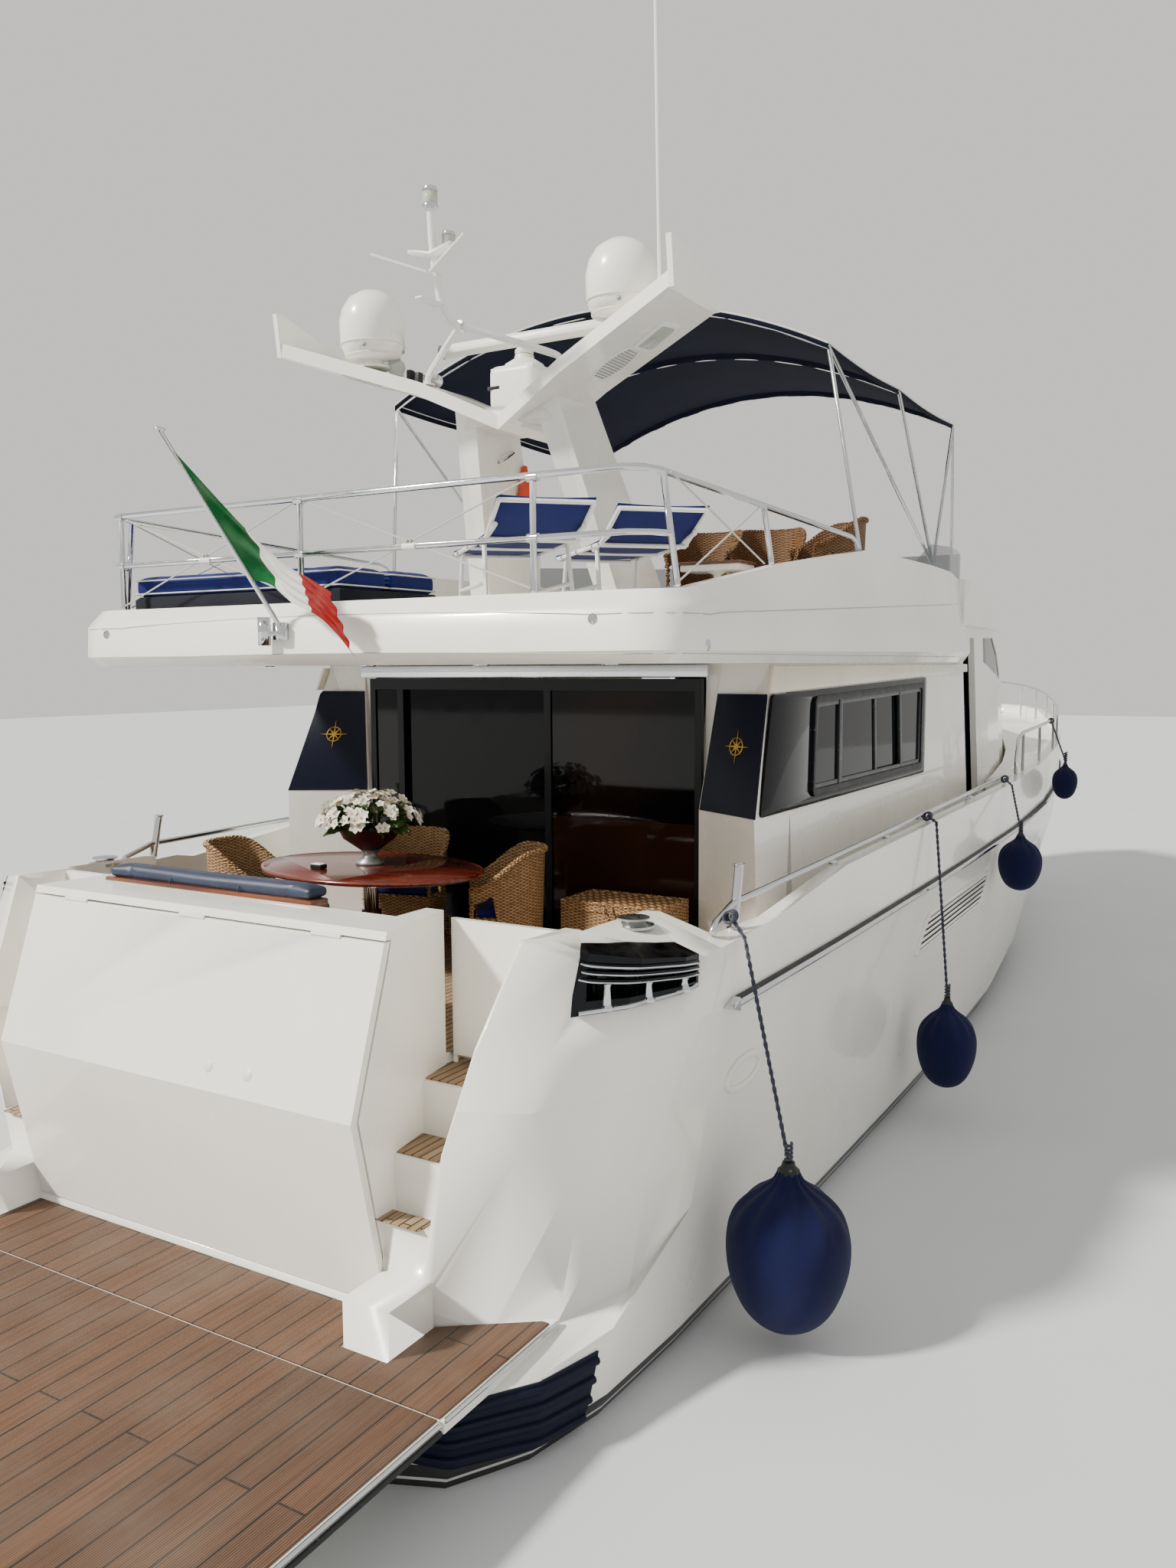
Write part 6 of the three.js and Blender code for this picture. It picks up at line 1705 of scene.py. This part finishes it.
canopy = skin("bimini_cloth", [hoop_line(s, 0.002) for s in CANOPY_S], canopy_canvas, thick=0.006, smooth=60)
arc = sum((canopy_place(b, 5) - canopy_place(a, 5)).length for a, b in zip(CANOPY_X, CANOPY_X[1:]))
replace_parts(canopy, "bimini_canopy")
edges = [hoop_line(s, -0.001) for s in (4.402, 8.148)] + [side_line(x, -0.001) for x in (-2.086, 2.086)]
joined("bimini_welts", [pipe("canopy_welt", edge, 0.007, pale_webbing) for edge in edges])
pockets = []
for station in HOOPS:
    for off in (-0.055, 0.055):
        if CANOPY_S[0] < station + off < CANOPY_S[-1]:
            pockets.append(pipe("canopy_seam", hoop_line(station + off, 0.0035), 0.003, canopy_canvas))
    below = [hoop_line(min(8.148, max(4.402, station + off)), -0.006 - drop) for off, drop in POCKET]
    pockets.append(skin("canopy_pocket", below, canopy_canvas, thick=0.002, smooth=60))
joined("bimini_hoop_pockets", pockets)
valances = []
for side in (-1, 1):
    hem = [p + Vector((side * 0.006, 0, 0)) for p in side_line(side * 2.088, -0.05)]
    rows = [side_line(side * 2.088, -0.002), hem]
    valances.append(skin("canopy_valance", rows, canopy_canvas, thick=0.003, smooth=60))
joined("bimini_side_hems", valances)
print("the canopy's cloth is", round(arc, 3), "m across")

# %% [markdown]
# Four fenders hang along the starboard side, each an inflated ball in a knitted cover. The cover is drawn
# together at the top in pleats, under a black eye. A lanyard of two strands runs up from each eye over the
# rub rail to a rail. It is drawn tight by the weight, so it runs straight from point to point.

# %% Fenders
FENDER_SHAPE = [(0.0, -0.500), (0.10, -0.497), (0.30, -0.478), (0.52, -0.432), (0.72, -0.350), (0.87, -0.238),
                (0.97, -0.105), (1.0, 0.03), (0.965, 0.15), (0.84, 0.258), (0.63, 0.345), (0.42, 0.400),
                (0.27, 0.445), (0.20, 0.485), (0.16, 0.52)]
FENDERS = {
    "quarter": ((2.975, 1.48, 0.54), 0.345, 0.90, (2.555, 1.62, 2.365)),
    "side": ((2.87, 5.3, 0.64), 0.24, 0.70, (2.555, 5.75, 2.49)),
    "amidships": ((2.85, 8.2, 1.75), 0.215, 0.56, (2.555, 8.79, 2.56)),
    "forward": ((2.72, 11.5, 2.3), 0.15, 0.43, (2.396, 12.3, 3.034)),
}
AROUND = 96
HITCH = [Vector((0.031 * math.cos(a), 0.010 * math.sin(a), 0.031 * math.sin(a))) for a in circle(10)]


def fender_ball(name, place, radius, height):
    """The ball with pleats that deepen towards the neck, and a faint ripple round it."""
    rows = []
    for ring in flowing([(r * radius, 0, z * height) for r, z in FENDER_SHAPE], 4):
        rise = max(0.0, (ring.z / height - 0.12) / 0.40)
        row = []
        for around in (2 * math.pi * k / AROUND for k in range(AROUND)):
            pleat = 1 + 0.075 * rise * math.cos(11 * around + 0.6 * math.sin(3 * around))
            pleat += 0.006 * math.sin(5 * around + 9 * ring.z)
            reach = ring.x * pleat
            row.append(place + Vector((reach * math.cos(around), reach * math.sin(around), ring.z)))
        rows.append(row + [row[0]])
    return skin(name, rows, fender_cloth, smooth=60)


def strand(line, turn):
    """One of two strands laid round a line of straight runs."""
    path = []
    for a, b in zip(line, line[1:]):
        length = (b - a).length
        steps = max(4, int(length / 0.022))
        ahead = (b - a).normalized()
        side = ahead.orthogonal().normalized()
        other = ahead.cross(side)
        for i in range(steps + (b is line[-1])):
            angle = turn + 2 * math.pi * (length * i / steps) / 0.10
            path.append(a.lerp(b, i / steps) + (side * math.cos(angle) + other * math.sin(angle)) * 0.0065)
    return pipe("lanyard_strand", path, 0.0075, navy_rope, sides=1)


eyes, hitches = [], []
for name, (centre, radius, height, end) in FENDERS.items():
    place, head = aboard(*centre), aboard(*end)
    ball = fender_ball("fender_cover_" + name, place, radius, height)
    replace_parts(ball, "fender_" + name)
    top = place + UP * (0.52 * height)
    eye = [(0, -0.03), (0.17 * radius, -0.03), (0.18 * radius, 0.0), (0.12 * radius, 0.018),
           (0.10 * radius, 0.045), (0, 0.05)]
    eyes.append(turned("fender_eye", eye, top, black_rubber, steps=20))
    low = top + UP * 0.045
    line = [low, head]
    if name != "forward":
        over = centre[1] + 0.8 * (end[1] - centre[1])
        line.insert(1, aboard(2.655, over, top_of("deck_moulding", 2.56, over, 4).z + 0.016))
    joined("fender_lanyard_" + name, [strand(line, turn) for turn in (0.0, math.pi)])
    for t in range(4):
        middle = aboard(end[0], end[1] + (t - 1.5) * 0.018, end[2] - 0.004)
        turn_line = [middle + place for place in HITCH]
        hitches.append(pipe("hitch_turn", turn_line, 0.0085, navy_rope, closed=True, sides=1))
    knot = [low + Vector((0.018 * math.cos(3 * a), 0.018 * math.sin(3 * a), 0.012 * a))
            for a in (k * math.pi / 14 for k in range(40))]
    hitches.append(pipe("hitch_knot", knot, 0.009, navy_rope, sides=1))
joined("fender_eyes", eyes)
joined("lanyard_hitches", hitches)
print(len(FENDERS), "fenders hang on their lanyards")

# %% [markdown]
# The radar's bar is a long moulding with bevelled edges and grey end caps, on a round turntable. Its motor
# sits in a rounded housing on the arch. The bar turns, so it rides on the scanner.

# %% Radar
RADAR_S = 3.42
BAR_Z = 6.254
BAR_SECTION = [(-0.056, 0.022), (-0.056, 0.062), (-0.036, 0.092), (0.036, 0.092), (0.056, 0.062),
               (0.056, 0.022), (0.028, -0.002), (-0.028, -0.002)]
TURNTABLE = [(0, 0), (0.066, 0), (0.072, 0.010), (0.072, 0.030), (0.058, 0.040), (0.058, 0.060), (0.085, 0.072),
             (0, 0.072)]
NECK = [(0, 0), (0.165, 0), (0.150, 0.030), (0.110, 0.055), (0.078, 0.075), (0.072, 0.104), (0, 0.104)]
PLINTH = ((0.40, 0.31, 5.62), (0.36, 0.29, 5.70), (0.27, 0.245, 5.75), (0.255, 0.235, 5.765))
bar_outline = [aboard(-0.775, RADAR_S + s, BAR_Z + z) for s, z in BAR_SECTION]
radar_bar = plate("radar_bar", bar_outline, (1.55, 0, 0), white_plastic, 0.006, "radar_scanner")
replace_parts(radar_bar, "radar_scanner")
caps = []
for x in (-0.792, 0.772):
    outline = [aboard(x, RADAR_S + s * 1.05, BAR_Z + 0.045 + (z - 0.045) * 1.06) for s, z in BAR_SECTION]
    caps.append(plate("bar_cap", outline, (0.020, 0, 0), grey_aluminium, 0.004, "radar_scanner"))
joined("radar_bar_caps", caps)
turned("radar_turntable", TURNTABLE, aboard(0, RADAR_S, 6.183), white_plastic, body="radar_scanner")
block("radar_housing", -0.21, 0.21, 3.22, 3.62, 5.745, 6.080, white_plastic, 0.06, segments=5)
turned("radar_neck", NECK, aboard(0, RADAR_S, 6.072), white_plastic)
square = rounded([(-1, -1), (1, -1), (1, 1), (-1, 1)], 0.25)
square.append(square[0])
plinth_rows = [[aboard(x * wide, RADAR_S + s * deep, z) for x, s in square] for wide, deep, z in PLINTH]
skin("radar_plinth", plinth_rows, white_gelcoat, ends=True)
block("radar_housing_slot", -0.213, -0.10, 3.216, 3.26, 5.90, 5.925, dark_aluminium, 0.004)
print("the radar bar is", round(radar_bar.dimensions.x, 3), "m long")

# %% [markdown]
# The mast carries two lamps with thick ribbed lenses and caps of steel, and a pair of swept plates. It stands
# on a clamp between two struts from the arch.

# %% Mast and its lamps
LAMPS = {"upper": (aboard(0, 2.27, 6.915), 0.052, 0.145), "lower": (aboard(0.075, 2.375, 6.655), 0.048, 0.125)}
LAMP_BASE = ((0, 0), (1.05, 0), (1.08, 0.12), (0.96, 0.2), (0, 0.2))
LAMP_LENS = ((0.5, 0.18), *((0.97 + 0.03 * (k % 2), 0.2 + 0.06 * k) for k in range(10)), (0.5, 0.78))
LAMP_BULB = ((0, 0.22), (0.28, 0.22), (0.32, 0.6), (0, 0.7))
LAMP_CAP = ((0, 0.76), (1, 0.76), (1.04, 0.84), (0.9, 0.97), (0, 1))
MAST_LINE = ((0, 2.60, 6.20), (0, 2.50, 6.205), (0, 2.39, 6.29), (0, 2.33, 6.45), (0, 2.29, 6.66),
             (0, 2.27, 6.92))
STRUT_LINE = ((0.60, 2.985, 5.985), (0.50, 2.92, 6.045), (0.02, 2.60, 6.20))
MAST_STEP = ((-0.03, 2.12), (0.03, 2.12), (0.05, 2.36), (-0.05, 2.36))
MAST_CLAMP = [(0, -0.03), (0.036, -0.03), (0.036, 0.03), (0, 0.03)]
FLANGE = [(0, 0), (0.05, 0), (0.05, 0.008), (0.03, 0.016), (0, 0.016)]
for word, (place, radius, height) in LAMPS.items():
    for part, shape, look in (("base", LAMP_BASE, stainless), ("lens", LAMP_LENS, lamp_glass),
                              ("bulb", LAMP_BULB, white_plastic), ("cap", LAMP_CAP, stainless)):
        turned("mast_lamp_%s_%s" % (word, part), [(r * radius, h * height) for r, h in shape], place, look)
mast_parts = []
for side in (-1, 1):
    rows = []
    for t in (0, 0.35, 0.7, 1.0):
        half = (0.15 - 0.085 * t) / 2
        x, s, z = side * (0.012 + 0.385 * t), 2.30 - 0.17 * t, 6.495 + 0.145 * t
        rows.append([aboard(x, s - half, z), aboard(x, s, z + 0.008), aboard(x, s + half, z)])
    mast_parts.append(skin("mast_plate", rows, white_aluminium, thick=0.012))
step = [aboard(x, s, 6.285) for x, s in MAST_STEP]
mast_parts.append(plate("mast_step", step, (0, 0, 0.014), white_aluminium, 0.004))
clamp_at = aboard(0, 2.60, 6.205)
mast_parts.append(turned("mast_clamp", MAST_CLAMP, clamp_at, stainless, axis=(0, 1, -0.3), steps=20))
mast_line = flowing([aboard(*p) for p in MAST_LINE])
mast_parts.append(pipe("mast_tube", mast_line, 0.027, white_aluminium, sides=4))
for side in (-1, 1):
    foot = aboard(side * 0.60, 2.99, top_of("radar_arch", side * 0.60, 2.99, 7).z)
    bends = [aboard(side * x, s, z) for x, s, z in STRUT_LINE]
    mast_parts.append(pipe("mast_strut", flowing([foot, *bends]), 0.024, white_aluminium, sides=4))
    mast_parts.append(turned("strut_flange", FLANGE, foot, white_aluminium, steps=20))
joined("mast_plates", mast_parts)
print("the mast carries", len(LAMPS), "lamps")

# %% [markdown]
# The domes part along a seam and are latched to a flange, and each stands on a short foot.

# %% Domes
DOME_FOOT = [(0, -0.02), (0.13, -0.02), (0.13, -0.004), (0.085, 0.006), (0.075, 0.05), (0, 0.05)]
LATCH = [(0, 0), (0.015, 0), (0.015, 0.006), (0.008, 0.012), (0, 0.012)]
dome_trim, dome_latches = [], []
for x in (-1.12, 1.12):
    centre = aboard(x, 2.96, 6.1403)
    for height, radius, tube in ((0.150, 0.2515, 0.0040), (0.066, 0.210, 0.0065)):
        ring = [centre + Vector((radius * math.cos(a), radius * math.sin(a), height)) for a in circle(40)]
        dome_trim.append(pipe("dome_seam", ring, tube, cream_gelcoat, closed=True))
    for turn in (-1.15, 0.6, 2.6):
        out = Vector((math.cos(turn), math.sin(turn), -0.35)).normalized()
        spot = centre + Vector((0.236 * math.cos(turn), 0.236 * math.sin(turn), 0.112))
        dome_latches.append(turned("dome_latch", LATCH, spot, grey_aluminium, axis=out, steps=14))
    dome_trim.append(turned("dome_foot", DOME_FOOT, centre, white_plastic))
joined("dome_seams_and_feet", dome_trim)
joined("dome_latches", dome_latches)
print(len(dome_latches), "latches hold the domes")

# %% [markdown]
# Under each wing of the arch is a flood lamp and the grille of a loudspeaker, let into the moulding. Two horns,
# a globe lamp, a grab handle, a horseshoe buoy and its float light are fixed to the arch as well.

# %% Fittings of the arch
LAMP_FRAME = [(1.13, 3.07), (1.45, 2.94), (1.48, 3.16), (1.16, 3.29)]
LAMP_PANE = [(1.17, 3.095), (1.42, 2.99), (1.445, 3.14), (1.20, 3.25)]
WING_SWEEP = 0.32  # how much the wing falls back for each metre outboard
GLOBE = [(0, 0), (0.055, 0), (0.055, 0.02), (0.062, 0.035), (0.072, 0.07), (0.062, 0.105), (0.035, 0.128),
         (0, 0.134)]
HORN = ((0.012, 0), (0.014, 0.5), (0.022, 0.8), (0.045, 0.97), (0.052, 1), (0.044, 0.97), (0.016, 0.8),
        (0.008, 0))
HANDLE = ((-0.345, 3.52, 5.40), (-0.285, 3.54, 5.43), (-0.285, 3.68, 5.50), (-0.350, 3.70, 5.51))
FLOAT_LIGHT = [(0, 0), (0.045, 0), (0.050, 0.02), (0.048, 0.16), (0.030, 0.20), (0.022, 0.26), (0, 0.27)]
FLOAT_LENS = [(0, 0), (0.028, 0), (0.024, -0.045), (0, -0.055)]


def below_wing(side, outline, off=0.0):
    """Places on the underside of a wing, from pairs of breadth and station."""
    hits = [surface("radar_arch", aboard(side * x, station, 4.9), UP)[0] for x, station in outline]
    return [hit - UP * off for hit in hits]


for side, word in ((1, "starboard"), (-1, "port")):
    lamp_frame = below_wing(side, rounded(LAMP_FRAME, 0.04), 0.001)
    plate("wing_lamp_frame_" + word, lamp_frame, (0, 0, -0.012), white_aluminium, 0.003)
    pane = below_wing(side, rounded(LAMP_PANE, 0.025), 0.010)
    plate("wing_lamp_glass_" + word, pane, (0, 0, -0.008), lamp_glass, 0.002)
    grille = []
    for k in range(13):
        x = 0.76 + 0.028 * k
        half = 0.085 * math.sqrt(max(0.05, 1 - ((k - 6) / 7) ** 2)) + 0.015
        middle = 3.26 - WING_SWEEP * (x - 0.76)
        slot = below_wing(side, [(x, middle + half * t) for t in (-1, -0.5, 0, 0.5, 1)], 0.002)
        grille.append(pipe("grille_slot", slot, 0.0055, grey_aluminium))
    joined("wing_speaker_grille_" + word, grille)
    border = [(0.93 + 0.235 * math.cos(a), 3.205 + 0.120 * math.sin(a) - WING_SWEEP * 0.235 * math.cos(a))
              for a in circle(24)]
    pipe("wing_speaker_rim_" + word, below_wing(side, border), 0.006, white_gelcoat, closed=True)
turned("globe_lamp", GLOBE, top_of("radar_arch", -1.0, 3.10, 7), lamp_glass)
horn_parts = []
for x, length in ((-0.82, 0.34), (-0.74, 0.27)):
    seat = top_of("radar_arch", x, 3.2, 7)
    trumpet = [(radius, share * length) for radius, share in HORN]
    spot = seat + Vector((0, -0.15, 0.06))
    horn_parts.append(turned("horn_trumpet", trumpet, spot, stainless, axis=(-0.1, 1, 0)))
    z0, z1 = seat.z - 0.01, seat.z + 0.075
    horn_parts.append(block("horn_block", x - 0.02, x + 0.02, 3.02, 3.08, z0, z1, black_rubber, 0.006))
joined("horns", horn_parts)
pipe("arch_grab_handle", flowing([aboard(*p) for p in HANDLE]), 0.012, stainless)
buoy_line = [aboard(-0.395, 3.93 + 0.17 * math.cos(a), 4.98 + 0.20 * math.sin(a))
             for a in (math.radians(-60 + 300 * k / 30) for k in range(31))]
pipe("horseshoe_buoy", buoy_line, 0.055, yellow_foam, sides=5)
turned("float_light_body", FLOAT_LIGHT, aboard(-0.30, 3.86, 5.16), orange_plastic)
turned("float_light_lens", FLOAT_LENS, aboard(-0.30, 3.86, 5.162), white_plastic)
print("lamps, horns and buoy are on the arch")

# %% [markdown]
# Two fine grey lines of painted shade run round the flybridge coaming, where its moulding changes slope. Oval
# drains with bright rims sit in it aft, small lamps are let into the ceiling over the cockpit, and two plugs
# close the lifting points of the garage door.

# %% Coaming lines, drains and ceiling lamps
DRAIN = [(0, 0.002), (0.018, 0.002), (0.020, 0.006), (0.028, 0.006), (0.032, 0.0), (0.0, -0.004)]
LAMP_RIM = [(0.034, 0), (0.060, 0), (0.058, -0.006), (0.040, -0.010), (0.034, 0)]
LAMP_DISC = [(0, 0.001), (0.038, 0.001), (0.030, -0.007), (0, -0.009)]
PLUG = [(0, 0.004), (0.028, 0.004), (0.034, 0.0), (0, -0.002)]


def coaming_line(height_at):
    """Places round the starboard half of the flybridge, from the centreline aft to well forward."""
    rays = [(Vector((0.1 * k, -12, 0)), Vector((0, 1, 0))) for k in range(19)]
    for angle in (math.pi / 2 * k / 12 for k in range(1, 12)):
        out = Vector((math.sin(angle), -math.cos(angle), 0))
        rays.append((aboard(1.83, 1.62, 0) + out * 3, -out))
    rays += [(aboard(6, 1.7 + 0.25 * k, 0), Vector((-1, 0, 0))) for k in range(25)]
    found = []
    for start, way in rays:
        hit = surface("flybridge", Vector((start.x, start.y, height_at(start))), way)[0]
        if hit:
            found.append(hit - way * 0.0005)
    return found


def upper_height(start):
    if start.x > 5:
        return 4.075 + 0.29 * max(0.0, start.y + 7.5) / 6.0
    return 4.115 - 0.012 * min(abs(start.x), 2.0) ** 2 if start.y < -11 else 4.07


def lower_height(start):
    return 3.875 - 0.006 * min(abs(start.x), 2.0) ** 2 if start.y < -11 else 3.853


# These two lines are painted shade along the knuckles of the coaming.
for word, height_at in (("upper", upper_height), ("lower", lower_height)):
    twin(pipe("coaming_seam_%s_starboard" % word, coaming_line(height_at), 0.0035, painted_shade_grey, sides=1))
drains = []
for start, way in ((aboard(1.95, -3, 4.045), (0, 1, 0)), (aboard(-2.07, -3, 4.03), (0, 1, 0)),
                   (aboard(6, 1.50, 3.90), (-1, 0, 0))):
    hit, normal = surface("flybridge", start, way)
    drains.append(turned("coaming_drain", DRAIN, hit, stainless, axis=normal))
joined("coaming_drains", drains)
ceiling = [surface("flybridge", aboard(x, 2.1, 2.6), UP)[0] for x in (-1.5, -0.5, 0.5, 1.5)]
joined("ceiling_lamp_rims", [turned("ceiling_lamp", LAMP_RIM, hit, stainless) for hit in ceiling])
joined("ceiling_lamp_lenses", [turned("ceiling_lens", LAMP_DISC, hit, white_plastic) for hit in ceiling])
plugs = []
for x in (0.36, 0.65):
    hit, normal = surface("garage_door", aboard(x, -4, 1.67), (0, 1, 0))
    plugs.append(turned("garage_plug", PLUG, hit, white_plastic, axis=normal, body="garage_door"))
joined("garage_plugs", plugs)
print(len(drains), "drains,", len(ceiling), "ceiling lamps and", len(plugs), "plugs are on")

# %% [markdown]
# The deck carries the usual gear. Cleats stand on the foredeck, a windlass turns behind the anchor, fillers
# are let into the side decks, and wipers rest on the windscreen.

# %% Deck gear
CLEAT_POST = [(0, 0), (0.030, 0), (0.026, 0.010), (0.016, 0.022), (0.015, 0.060), (0, 0.060)]
WINDLASS = [(0, 0), (0.15, 0), (0.155, 0.02), (0.12, 0.035), (0.085, 0.05), (0.070, 0.10), (0.075, 0.14),
            (0.105, 0.165), (0.105, 0.185), (0.04, 0.20), (0, 0.20)]
FILLER = [(0, 0.004), (0.014, 0.004), (0.016, 0.007), (0.040, 0.007), (0.046, 0.0), (0, -0.002)]
cleats = []
for x in (0.62, -0.62):
    foot = top_of("deck_moulding", x, 17.55, 6)
    for along in (-0.055, 0.055):
        cleats.append(turned("cleat_post", CLEAT_POST, foot + Vector((0, along, 0)), stainless, steps=18))
    bar = [foot + Vector((0, y, z)) for y, z in ((-0.17, 0.075), (-0.08, 0.063), (0.08, 0.063), (0.17, 0.075))]
    cleats.append(pipe("cleat_horn", flowing(bar), 0.016, stainless))
joined("foredeck_cleats", cleats)
turned("windlass_drum", WINDLASS, top_of("deck_moulding", 0, 17.25, 6), stainless)
fillers = []
for x in (-2.28, 2.28):
    for station in (5.2, 5.6, 12.6):
        seat = top_of("deck_moulding", x, station, 3.0)
        fillers.append(turned("deck_filler", FILLER, seat, stainless, steps=24))
joined("deck_fillers", fillers)
wipers = []
for x in (-1.0, 0.0, 1.0):
    blade = []
    for k in range(9):
        hit, normal = surface("windscreen", aboard(x + 0.045 * k, 19, 3.22 + 0.075 * k), (0, -1, 0))
        if hit:
            blade.append(hit + normal * 0.016)
    arm = [blade[0] + Vector((0.02, 0.05, -0.10)), blade[0] + Vector((0, 0.02, 0.0)),
           blade[len(blade) // 2] + Vector((0, 0.016, 0.004))]
    wipers.append(pipe("wiper_blade", blade, 0.007, black_rubber))
    wipers.append(pipe("wiper_arm", arm, 0.008, dark_aluminium))
joined("windscreen_wipers", wipers)
print(len(wipers) // 2, "wipers,", len(fillers), "fillers and two cleats")

# %% [markdown]
# The reach of the dressed yacht is printed last.

# %% Measure and finish
low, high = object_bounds()
print("the dressed yacht reaches from", [round(v, 2) for v in low], "to", [round(v, 2) for v in high])
